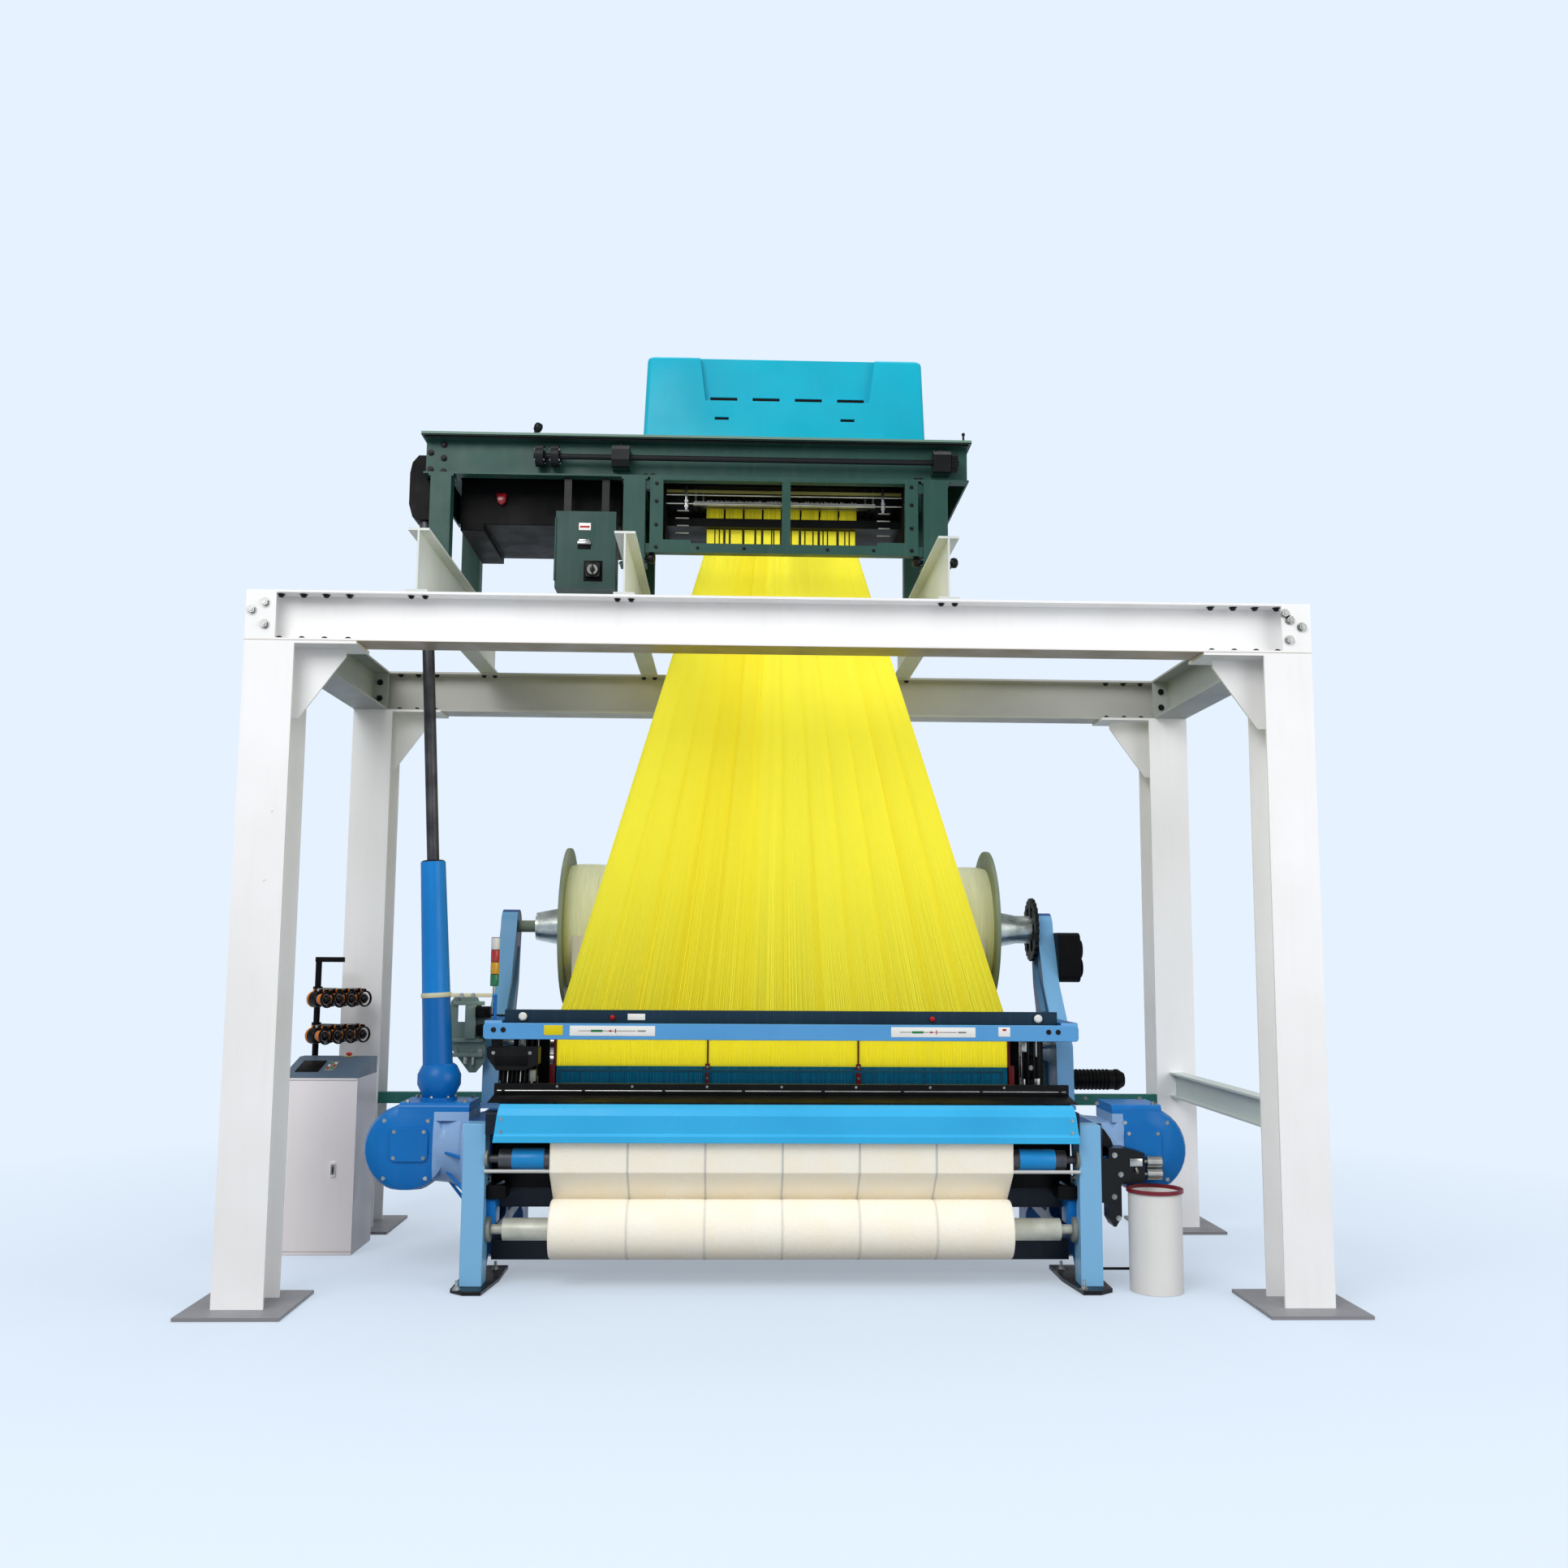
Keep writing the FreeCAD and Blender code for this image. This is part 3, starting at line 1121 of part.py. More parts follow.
def comber_board():
    """The board that spreads the cords, its front bar between the guard brackets, the webs that
    join the two, and the dividers that hang between the heddle fields."""
    x0 = LOOM_X - BRACKET_INSIDE
    x1 = LOOM_X + BRACKET_INSIDE
    half = COMBER_BOARD_DEPTH / 2
    board = block(x0, x1, COMBER_CENTRE_Y - half, COMBER_CENTRE_Y + half, COMBER_HEIGHT,
                  COMBER_TOP)
    front = block(x0, x1, COMBER_BAR_FRONT, COMBER_BAR_FRONT + COMBER_BAR_DEPTH,
                  COMBER_BAR_BOTTOM, COMBER_BAR_BOTTOM + COMBER_BAR_HEIGHT)
    pieces = [board, front]
    behind = COMBER_BAR_FRONT + COMBER_BAR_DEPTH
    for index in range(5):
        x = x0 + (x1 - x0 - 30) * index / 4
        pieces.append(block(x, x + 30, behind, COMBER_CENTRE_Y - half, COMBER_HEIGHT, COMBER_TOP))
    left = HARNESS_CENTRE + FAN_BOTTOM_SHIFT - HEDDLE_WIDTH / 2
    for index in range(1, HEDDLE_FIELDS):
        x = left + index * HEDDLE_WIDTH / HEDDLE_FIELDS
        pieces.append(block(x - DIVIDER_WIDTH / 2 + SOFT_GAP, x + DIVIDER_WIDTH / 2 - SOFT_GAP,
                            COMBER_CENTRE_Y - HEDDLE_DEPTH / 2, COMBER_CENTRE_Y + HEDDLE_DEPTH / 2,
                            HEDDLE_BOTTOM + SOFT_GAP, COMBER_HEIGHT))
    board = joined(pieces)
    for x in STOP_PLACES:
        z = COMBER_BAR_BOTTOM + COMBER_BAR_HEIGHT / 2
        board = board.cut(faceted_rod(point(x, COMBER_BAR_FRONT - 1, z),
                                      point(x, COMBER_BAR_FRONT + STOP_DEPTH + STOP_TRAVEL + 1, z),
                                      STOP_STEM + SHAFT_PLAY, ROD_SIDES))
    return board


def stop_button(x):
    """A round stop button on the front bar, with its stem in the bar."""
    z = COMBER_BAR_BOTTOM + COMBER_BAR_HEIGHT / 2
    back = COMBER_BAR_FRONT - STOP_TRAVEL - SOFT_GAP
    cap = faceted(point(x, back, z), point(0, -1, 0),
                  [(0, STOP_RADIUS), (0.75 * STOP_PROUD, STOP_RADIUS),
                   (STOP_PROUD, STOP_RADIUS - STOP_PROUD / 4)], STOP_SIDES)
    stem = faceted_rod(point(x, back - 1, z),
                       point(x, COMBER_BAR_FRONT + STOP_DEPTH - STOP_TRAVEL, z), STOP_STEM,
                       ROD_SIDES)
    return joined([cap, stem])


# ================================================================ upright drive
def shaft_x(z):
    """The leaning shaft's centre at a height."""
    return SHAFT_BASE_X - SHAFT_LEAN * (z - LID_TOP)


def shaft_solid(radius, z0, z1):
    return rod(point(shaft_x(z0), SHAFT_Y, z0), point(shaft_x(z1), SHAFT_Y, z1), radius)


def drive_shaft():
    """The upright shaft that carries the loom's drive to the head."""
    return shaft_solid(SHAFT_RADIUS, TUBE_BULGE_HEIGHT + TUBE_BULGE_RADIUS, BEVEL_BOX_BOTTOM + 50)


def shaft_tube():
    """The fixed guard round the shaft's lower half: a bolted foot, a round joint housing and a
    tapered tube with a bearing cap, stayed to the left arm."""
    middle = TUBE_BULGE_HEIGHT
    centre = point(SHAFT_BASE_X, SHAFT_Y, LID_TOP)
    foot = faceted(centre, point(0, 0, 1), [(0, TUBE_FOOT_RADIUS),
                                            (TUBE_FOOT_PLATE, TUBE_FOOT_RADIUS)], TUBE_SIDES)
    rise = middle - LID_TOP
    housing = faceted(centre, point(0, 0, 1),
                      [(TUBE_FOOT_PLATE / 2, 0.66 * TUBE_BULGE_RADIUS),
                       (rise - 0.62 * TUBE_BULGE_RADIUS, 0.79 * TUBE_BULGE_RADIUS),
                       (rise - 0.22 * TUBE_BULGE_RADIUS, 0.98 * TUBE_BULGE_RADIUS),
                       (rise + 0.22 * TUBE_BULGE_RADIUS, 0.98 * TUBE_BULGE_RADIUS),
                       (rise + 0.62 * TUBE_BULGE_RADIUS, 0.79 * TUBE_BULGE_RADIUS),
                       (rise + 0.72 * TUBE_BULGE_RADIUS, 0.66 * TUBE_BULGE_RADIUS)], TUBE_SIDES)
    low = point(shaft_x(middle), SHAFT_Y, middle)
    run = point(shaft_x(TUBE_TOP), SHAFT_Y, TUBE_TOP).sub(low)
    tube = faceted(low, run, [(0, TUBE_LOWER_RADIUS), (run.Length, TUBE_UPPER_RADIUS)],
                   TUBE_SIDES)
    stay_x = LOOM_X - BRACKET_INSIDE - BRACKET_WIDTH / 2
    stay = faceted_rod(point(shaft_x(STAY_HEIGHT), SHAFT_Y, STAY_HEIGHT),
                       point(stay_x + STAY_RADIUS, SHAFT_Y, STAY_HEIGHT), STAY_RADIUS, ROD_SIDES)
    drop = faceted_rod(point(stay_x, SHAFT_Y, STAY_HEIGHT),
                       point(stay_x, SHAFT_Y, BRACKET_BOTTOM + BRACKET_HEIGHT), STAY_RADIUS,
                       ROD_SIDES)
    body = joined([foot, housing, tube, stay, drop])
    end = TUBE_TOP - TUBE_CAP
    inside = faceted_rod(low, point(shaft_x(end), SHAFT_Y, end), TUBE_BORE, TUBE_SIDES)
    body = body.cut(inside)
    return body.cut(shaft_solid(SHAFT_RADIUS + SHAFT_PLAY, TUBE_TOP - TUBE_CAP - 1, TUBE_TOP + 1))


# ================================================================ loom body
def bearing_bore(y, z, journal):
    """A blind bearing in the left side frame, open towards the middle of the loom."""
    x1 = LOOM_X - FRAME_INSIDE
    return flat_bore(x1 - JOURNAL_DEPTH - 2, x1 + 1, y, z, journal)


def side_frame():
    """The left side frame: a cast plate with a deep rim, a solid front leg, lightening windows,
    bearing bosses and the horn that carries the back rest."""
    x0 = LOOM_X - FRAME_OUTSIDE
    x1 = LOOM_X - FRAME_INSIDE
    leg_rear = LEG_FRONT + LEG_DEPTH
    rear_inner = FRAME_REAR - REAR_LEG_DEPTH
    horn = BACK_REST_Z + BACK_REST_RADIUS
    outline = [(LEG_FRONT, FOOT_PLATE), (LEG_FRONT, FRAME_TOP), (BACK_REST_Y - 110, FRAME_TOP),
               (BACK_REST_Y - 45, FRAME_TOP + 70), (BACK_REST_Y - 45, horn),
               (BACK_REST_Y + 45, horn), (BACK_REST_Y + 50, FRAME_TOP - 60),
               (FRAME_REAR, FRAME_TOP - 120), (FRAME_REAR, FOOT_PLATE), (rear_inner, FOOT_PLATE),
               (rear_inner - 40, FRAME_BELLY - 60), (rear_inner - 130, FRAME_BELLY),
               (GROUND_Y - 420, FRAME_BELLY - 20), (SLEY_PIVOT_Y + 120, SLEY_PIVOT_Z - 70),
               (SLEY_PIVOT_Y - 90, SLEY_PIVOT_Z - 80), (leg_rear + 60, FRAME_BELLY - 60),
               (leg_rear, FRAME_BELLY - 130), (leg_rear, FOOT_PLATE)]
    body = plate_yz(outline, x0, x1)
    depth = (FRAME_THICKNESS - FRAME_WEB) / 2
    low = FRAME_BELLY + FRAME_RIM
    high = FRAME_TOP - FRAME_RIM
    front = leg_rear + FRAME_RIM / 2
    middle = (front + FRAME_REAR) / 2 - 110
    bays = [(front, middle - FRAME_RIM / 2), (middle + FRAME_RIM / 2, FRAME_REAR - FRAME_RIM)]
    for y0, y1 in bays:
        for near, far in ((x0 - 1, x0 + depth), (x1 - depth, x1 + 1)):
            pocket = plate_yz(rounded_outline(y0, y1, low, high, 45, 2), near, far)
            body = body.cut(pocket)
    for y0, y1, z0, z1 in ((front + 60, middle - 90, low + 250, high - 60),
                           (middle + 90, GROUND_Y - 130, low + 60, high - 60)):
        window = plate_yz(rounded_outline(y0, y1, z0, z1, 50, 2), x0 - 1, x1 + 1)
        body = body.cut(window)
    pieces = [body]
    for y, z, size in ((SLEY_PIVOT_Y, SLEY_PIVOT_Z, 78.0), (GROUND_Y, GROUND_Z, 75.0)):
        pieces.append(faceted_rod(point(x0, y, z), point(x1, y, z), size, TUBE_SIDES))
    frame = joined(pieces)
    for y, z, journal in ((SLEY_PIVOT_Y, SLEY_PIVOT_Z, SLEY_SHAFT_RADIUS),
                          (GROUND_Y, GROUND_Z, GROUND_JOURNAL),
                          (BACK_REST_Y, BACK_REST_Z, BACK_REST_JOURNAL),
                          (TAKE_UP_Y, TAKE_UP_HEIGHT, TAKE_UP_JOURNAL),
                          (CLOTH_ROLL_Y, CLOTH_ROLL_Z, CORE_JOURNAL)):
        frame = frame.cut(bearing_bore(y, z, journal))
    middle_x = (x0 + x1) / 2 + 10
    foot = plate_xy([(middle_x - FOOT_WIDTH / 2, FOOT_FRONT + 60), (middle_x - 30, FOOT_FRONT),
                     (middle_x + FOOT_WIDTH / 2 - 40, FOOT_FRONT),
                     (middle_x + FOOT_WIDTH / 2, FOOT_FRONT + FOOT_LENGTH / 2),
                     (middle_x + FOOT_WIDTH / 2, FOOT_FRONT + FOOT_LENGTH),
                     (middle_x - FOOT_WIDTH / 2, FOOT_FRONT + FOOT_LENGTH)], 0, FOOT_PLATE)
    rear_foot = block(x0 - 20, x1 + 20, rear_inner - 30, FRAME_REAR + 30, 0, FOOT_PLATE)
    return Part.makeCompound([frame, foot, rear_foot])


def between_frames(y0, y1, z0, z1):
    """A straight member between the two side frames' inner faces."""
    return block(LOOM_X - FRAME_INSIDE, LOOM_X + FRAME_INSIDE, y0, y1, z0, z1)


def cross_girders():
    """The members that tie the side frames: breast beam, front girder, lower bar, and the rear
    girder that also carries the spring bar of the harness."""
    y0 = BREAST_PLANE + SOFT_GAP
    breast = between_frames(y0, y0 + BREAST_BEAM_DEPTH, BREAST_BEAM_TOP - BREAST_BEAM_HEIGHT,
                            BREAST_BEAM_TOP)
    breast = rounded(breast, BREAST_BEAM_ROUND, point(1, 0, 0),
                     lambda c: c.z > BREAST_BEAM_TOP - 1 and c.y < y0 + 1)
    reach = FRAME_INSIDE + (FRAME_THICKNESS - FRAME_WEB) / 2
    front = block(LOOM_X - reach, LOOM_X + reach, GIRDER_FRONT_Y,
                  GIRDER_FRONT_Y + GIRDER_FRONT_DEPTH, GIRDER_FRONT_Z,
                  GIRDER_FRONT_Z + GIRDER_FRONT_HEIGHT)
    lower = between_frames(LOWER_BAR_Y, LOWER_BAR_Y + LOWER_BAR_DEPTH, LOWER_BAR_Z,
                           LOWER_BAR_Z + LOWER_BAR_HEIGHT)
    half = HEDDLE_DEPTH / 2
    rear = between_frames(COMBER_CENTRE_Y - half, COMBER_CENTRE_Y + half,
                          HEDDLE_BOTTOM - SPRING_BAR_HEIGHT, HEDDLE_BOTTOM)
    return Part.makeCompound([breast, front, lower, rear])


def cloth_path():
    """The line that the cloth's inner face follows, from the fell to the cloth roll: over the
    temple rail and the breast beam, down past the spreader rod, and back behind the roll."""
    corner_z = BREAST_BEAM_TOP - BREAST_BEAM_ROUND
    beam_front = BREAST_PLANE + SOFT_GAP + BREAST_BEAM_ROUND
    return sheet_line([(FELL_Y, FELL_Z, 0), (TEMPLE_Y, TEMPLE_Z, TEMPLE_RADIUS + SOFT_GAP),
                       (beam_front, corner_z, BREAST_BEAM_ROUND + SOFT_GAP),
                       (SPREADER_Y, SPREADER_HEIGHT, SPREADER_RADIUS + SOFT_GAP),
                       (CLOTH_ROLL_Y, CLOTH_ROLL_Z,
                        -(CLOTH_ROLL_RADIUS + CLOTH_THICKNESS + SOFT_GAP))])


def cloth_sheet():
    """The woven cloth between the fell and the roll."""
    line = cloth_path()
    length = sum(math.hypot(b[0] - a[0], b[1] - a[1]) for a, b in zip(line, line[1:]))
    print("cloth sheet %.0f x %.0f mm" % (CLOTH_WIDTH, length))
    return ribbon(line, CLOTH_THICKNESS, CLOTH_CENTRE - CLOTH_WIDTH / 2,
                  CLOTH_CENTRE + CLOTH_WIDTH / 2)


def journals(reach, half, y, z, radius):
    """The two journals of a roller, from its body out to its bearings."""
    return [journal_bar(LOOM_X - reach, LOOM_X - half, y, z, radius),
            journal_bar(LOOM_X + half, LOOM_X + reach, y, z, radius)]


def plain_roller(y, z, radius, journal, length):
    """A roller between the side frames: its round body and a journal at each end."""
    half = length / 2
    body = faceted_rod(point(LOOM_X - half, y, z), point(LOOM_X + half, y, z), radius, TUBE_SIDES)
    return joined([body] + journals(FRAME_INSIDE + JOURNAL_DEPTH, half, y, z, journal))


def cloth_roll():
    """The wound cloth, with softened outer edges."""
    half = CLOTH_WIDTH / 2
    left = CLOTH_CENTRE - half
    right = CLOTH_CENTRE + half
    step = CLOTH_ROLL_ROUND
    start = point(left, CLOTH_ROLL_Y, CLOTH_ROLL_Z)
    along = point(1, 0, 0)
    wound = faceted(start, along, [(0, CLOTH_ROLL_RADIUS - step), (step, CLOTH_ROLL_RADIUS),
                                   (right - left - step, CLOTH_ROLL_RADIUS),
                                   (right - left, CLOTH_ROLL_RADIUS - step)], YARN_SIDES)
    room = (CORE_RADIUS + SOFT_GAP / 5) / math.cos(math.pi / TUBE_SIDES)
    return wound.cut(faceted(start, along, [(-1, room), (right - left + 1, room)], TUBE_SIDES))


def breast_cover_body(skin):
    """The cover's outer form for a skin of zero, its inside for the sheet's own thickness."""
    front = BREAST_PLANE - 41 + skin
    rear = BREAST_PLANE + SOFT_GAP + BREAST_BEAM_DEPTH + 22
    top = BREAST_COVER_TOP - skin
    seat = BREAST_PLANE + SOFT_GAP
    low = BREAST_COVER_BOTTOM
    if skin:
        outline = [(rear + 1, top), (front + 55, top), (front + 16, top - 16),
                   (front, top - 50), (front, low + 43), (front - 8, low + 33),
                   (front - 8, low - 1), (seat + 1, low - 1), (seat + 1, low + 60),
                   (rear + 1, top - 24)]
    else:
        outline = [(rear, top), (front + 55, top), (front + 16, top - 16), (front, top - 50),
                   (front, low + 43), (front - 8, low + 33), (front - 8, low),
                   (front + 30, low), (seat, low + 58), (seat, top - 24), (rear, top - 24)]
    left = BREAST_COVER_CENTRE - BREAST_COVER_WIDTH / 2 + skin
    right = BREAST_COVER_CENTRE + BREAST_COVER_WIDTH / 2 - skin
    solid = plate_yz(outline, left, right)
    slant = BREAST_COVER_SLANT
    ends = plate_xz([(left, low - 2), (right, low - 2), (right - slant, top + 1),
                     (left + slant, top + 1)], front - 40, rear + 40)
    return solid.common(ends)


def breast_cover():
    """The folded sheet cover in front of the breast beam, with slanted ends."""
    return breast_cover_body(0).cut(breast_cover_body(BREAST_COVER_PLATE))


def guide_rails():
    """The temple rail under the fell with the bar that it carries above the cloth, and the
    spreader rod above the cloth roll."""
    x0 = LOOM_X - FRAME_INSIDE
    x1 = LOOM_X + FRAME_INSIDE
    temple = faceted_rod(point(x0, TEMPLE_Y, TEMPLE_Z), point(x1, TEMPLE_Y, TEMPLE_Z),
                         TEMPLE_RADIUS, 2 * ROD_SIDES)
    spreader = faceted_rod(point(x0, SPREADER_Y, SPREADER_HEIGHT),
                           point(x1, SPREADER_Y, SPREADER_HEIGHT), SPREADER_RADIUS,
                           2 * ROD_SIDES)
    rear = TEMPLE_Y + TEMPLE_RADIUS / 2
    low = FELL_Z + TEMPLE_BAR_RISE
    high = low + TEMPLE_BAR_HEIGHT
    front = rear - TEMPLE_BAR_DEPTH
    bars = [block(x0, x1, front, rear, low, high)]
    for end in (x0, x1 - TEMPLE_BAR_END):
        bars.append(block(end, end + TEMPLE_BAR_END, front, rear, TEMPLE_Z, high))
    return Part.makeCompound([joined([temple] + bars), spreader])


# ================================================================ sley, reed and rapiers
def sley():
    """The rocker shaft, its four swords and the hollow sley beam with the reed groove."""
    reach = FRAME_INSIDE + JOURNAL_DEPTH
    inner = FRAME_INSIDE - MOVING_GAP
    pieces = [faceted_rod(point(LOOM_X - inner, SLEY_PIVOT_Y, SLEY_PIVOT_Z),
                          point(LOOM_X + inner, SLEY_PIVOT_Y, SLEY_PIVOT_Z),
                          SLEY_SHAFT_RADIUS, 2 * ROD_SIDES)]
    for near, far in ((-reach, -inner), (inner, reach)):
        pieces.append(journal_bar(LOOM_X + near, LOOM_X + far, SLEY_PIVOT_Y, SLEY_PIVOT_Z,
                                  SLEY_SHAFT_RADIUS))
    half = SLEY_BEAM_LENGTH / 2
    rear = SLEY_BEAM_FRONT + SLEY_BEAM_DEPTH
    beam = block(LOOM_X - half, LOOM_X + half, SLEY_BEAM_FRONT, rear, SLEY_BEAM_BOTTOM,
                 SLEY_BEAM_TOP)
    groove = block(LOOM_X - half - 1, LOOM_X + half + 1, REED_FRONT - SHAFT_PLAY,
                   REED_FRONT + REED_THICKNESS + SHAFT_PLAY, SLEY_BEAM_TOP - REED_GROOVE,
                   SLEY_BEAM_TOP + 1)
    beam = beam.cut(groove)
    pieces.append(beam)
    beam_middle = SLEY_BEAM_FRONT + SLEY_BEAM_DEPTH / 2
    for place in SWORD_PLACES:
        for side in (-1, 1):
            x = LOOM_X + side * place
            slim = SWORD_WIDTH / 2
            sword = plate_yz([(SLEY_PIVOT_Y - slim, SLEY_PIVOT_Z), (SLEY_PIVOT_Y + slim,
                                                                    SLEY_PIVOT_Z),
                              (beam_middle + slim / 1.4, SLEY_BEAM_BOTTOM),
                              (beam_middle - slim / 1.4, SLEY_BEAM_BOTTOM)],
                             x - SWORD_THICKNESS / 2, x + SWORD_THICKNESS / 2)
            eye = faceted_rod(point(x - SWORD_THICKNESS / 2, SLEY_PIVOT_Y, SLEY_PIVOT_Z),
                              point(x + SWORD_THICKNESS / 2, SLEY_PIVOT_Y, SLEY_PIVOT_Z),
                              SLEY_SHAFT_RADIUS + SWORD_EYE, SWORD_EYE_SIDES)
            pieces += [sword, eye]
    return joined(pieces)


def reed():
    """The comb that beats up the weft: two baulks joined by flat dents."""
    half = REED_LENGTH / 2
    low = SLEY_BEAM_TOP - REED_GROOVE
    rear = REED_FRONT + REED_THICKNESS
    body = block(LOOM_X - half, LOOM_X + half, REED_FRONT, rear, low, REED_TOP)
    pitch = (REED_LENGTH - 2 * REED_BAULK + REED_DENT_WIDTH) / REED_DENTS
    gaps = []
    for index in range(REED_DENTS):
        x0 = LOOM_X - half + REED_BAULK + index * pitch
        gaps.append(block(x0, x0 + pitch - REED_DENT_WIDTH, REED_FRONT - 1, rear + 1,
                          SLEY_BEAM_TOP + 2, REED_TOP - REED_BAULK))
    return body.cut(Part.makeCompound(gaps))


def rapier():
    """The left gripper head with its pointed nose, on the sley's race."""
    x0 = LOOM_X - RAPIER_OUTER_END
    x1 = x0 + RAPIER_LENGTH
    y1 = REED_FRONT - MOVING_GAP
    y0 = y1 - RAPIER_WIDTH
    z0 = SLEY_BEAM_TOP + SOFT_GAP
    z1 = z0 + RAPIER_HEIGHT
    outline = [(x0, z0), (x1, z0), (x1, z0 + RAPIER_HEIGHT / 4), (x1 - RAPIER_TIP, z1),
               (x0 + 70, z1), (x0 + 60, z0 + RAPIER_HEIGHT / 3), (x0, z0 + RAPIER_HEIGHT / 3)]
    body = plate_xz(outline, y0, y1)
    notch = block(x1 - RAPIER_TIP - 15, x1 - RAPIER_TIP + 10, y0 - 1, y0 + RAPIER_WIDTH / 2,
                  z0 + RAPIER_HEIGHT / 2, z1 + 1)
    return body.cut(notch)


# ================================================================ upper works
def arm():
    """The left upper arm: a tapered casting from the side frame up to the pile beam bearing,
    with the forward bracket for the guard bar."""
    x1 = LOOM_X - ARM_INSIDE
    x0 = x1 - ARM_THICKNESS
    lean = [(ARM_FRONT_FOOT, FRAME_TOP), (ARM_FRONT_FOOT + 20, ARM_WAIST_HEIGHT),
            (TENSION_Y + 60, ARM_KNEE_HEIGHT), (PILE_Y - ARM_HEAD_RADIUS, PILE_Z),
            (PILE_Y + ARM_HEAD_RADIUS, PILE_Z), (PILE_Y + 40, ARM_KNEE_HEIGHT),
            (ARM_REAR_FOOT - 20, ARM_WAIST_HEIGHT), (ARM_REAR_FOOT, FRAME_TOP)]
    body = plate_yz(lean, x0, x1)
    pocket_front = ARM_FRONT_FOOT + 60
    for near, far in ((x0 - 1, x0 + ARM_POCKET), (x1 - ARM_POCKET, x1 + 1)):
        pocket = plate_yz([(pocket_front + 150, ARM_WAIST_HEIGHT + 180),
                           (TENSION_Y + 125, ARM_KNEE_HEIGHT + 20),
                           (PILE_Y - 45, PILE_Z - ARM_HEAD_RADIUS - 20),
                           (PILE_Y + 40, PILE_Z - ARM_HEAD_RADIUS - 20),
                           (PILE_Y - 20, ARM_KNEE_HEIGHT + 20),
                           (ARM_REAR_FOOT - 90, ARM_WAIST_HEIGHT + 180)], near, far)
        body = body.cut(pocket)
        lower = plate_yz(rounded_outline(pocket_front, ARM_REAR_FOOT - 60, FRAME_TOP + 50,
                                         TENSION_Z - 90, 30, 2), near, far)
        body = body.cut(lower)
    head = faceted_rod(point(x0, PILE_Y, PILE_Z), point(x1, PILE_Y, PILE_Z), ARM_HEAD_RADIUS,
                       TUBE_SIDES)
    bx0 = LOOM_X - BRACKET_INSIDE - BRACKET_WIDTH
    bracket = block(bx0, bx0 + BRACKET_WIDTH, GUARD_FRONT + GUARD_DEPTH, ARM_FRONT_FOOT + 90,
                    BRACKET_BOTTOM, BRACKET_BOTTOM + BRACKET_HEIGHT)
    flange = block(x0, LOOM_X - FRAME_INSIDE, ARM_FRONT_FOOT - 30, ARM_REAR_FOOT + 30, FRAME_TOP,
                   FRAME_TOP + 22)
    whole = joined([body, head, bracket, flange])
    for y, z, journal in ((PILE_Y, PILE_Z, PILE_JOURNAL), (TENSION_Y, TENSION_Z,
                                                           TENSION_JOURNAL)):
        whole = whole.cut(flat_bore(x1 - JOURNAL_DEPTH - 2, x1 + 1, y, z, journal))
    return whole


def guard_bar():
    """The straight guard in front of the harness, with rounded ends."""
    middle = LOOM_X - 2.5
    outline = rounded_outline(middle - GUARD_LENGTH / 2, middle + GUARD_LENGTH / 2, GUARD_BOTTOM,
                              GUARD_BOTTOM + GUARD_HEIGHT, GUARD_ROUNDING, 4)
    return plate_xz(outline, GUARD_FRONT, GUARD_FRONT + GUARD_DEPTH)


def pile_beam():
    """The upper warp beam: barrel, two flanges, hubs, journals and its drive gear."""
    x = LOOM_X
    hub = PILE_FLANGE_PLACE + PILE_HUB_LENGTH
    inner = PILE_FLANGE_PLACE - PILE_FLANGE_PLATE
    pieces = journals(ARM_INSIDE + JOURNAL_DEPTH, hub, PILE_Y, PILE_Z, PILE_JOURNAL)
    pieces.append(faceted_rod(point(x - inner, PILE_Y, PILE_Z), point(x + inner, PILE_Y, PILE_Z),
                              PILE_CORE_RADIUS, TUBE_SIDES))
    for side in (-1, 1):
        near = x + side * inner
        far = x + side * PILE_FLANGE_PLACE
        pieces.append(faceted_rod(point(near, PILE_Y, PILE_Z), point(far, PILE_Y, PILE_Z),
                                  PILE_FLANGE_RADIUS, YARN_SIDES))
        pieces.append(faceted(point(far, PILE_Y, PILE_Z), point(side, 0, 0),
                              [(0, PILE_HUB_RADIUS), (PILE_HUB_LENGTH, PILE_HUB_END_RADIUS)],
                              TUBE_SIDES))
    gear_x = x + ARM_INSIDE - MOVING_GAP - PILE_GEAR_WIDTH
    gear = toothed_wheel(gear_x, gear_x + PILE_GEAR_WIDTH, PILE_Y, PILE_Z, PILE_GEAR_RADIUS,
                         PILE_GEAR_TOOTH, PILE_GEAR_TEETH)
    for index in range(PILE_GEAR_HOLES):
        angle = 2 * math.pi * index / PILE_GEAR_HOLES
        hole_y = PILE_Y + 0.6 * PILE_GEAR_RADIUS * math.cos(angle)
        hole_z = PILE_Z + 0.6 * PILE_GEAR_RADIUS * math.sin(angle)
        gear = gear.cut(faceted_rod(point(gear_x - 1, hole_y, hole_z),
                                    point(gear_x + PILE_GEAR_WIDTH + 1, hole_y, hole_z),
                                    0.19 * PILE_GEAR_RADIUS, ROD_SIDES))
    return joined(pieces + [gear])


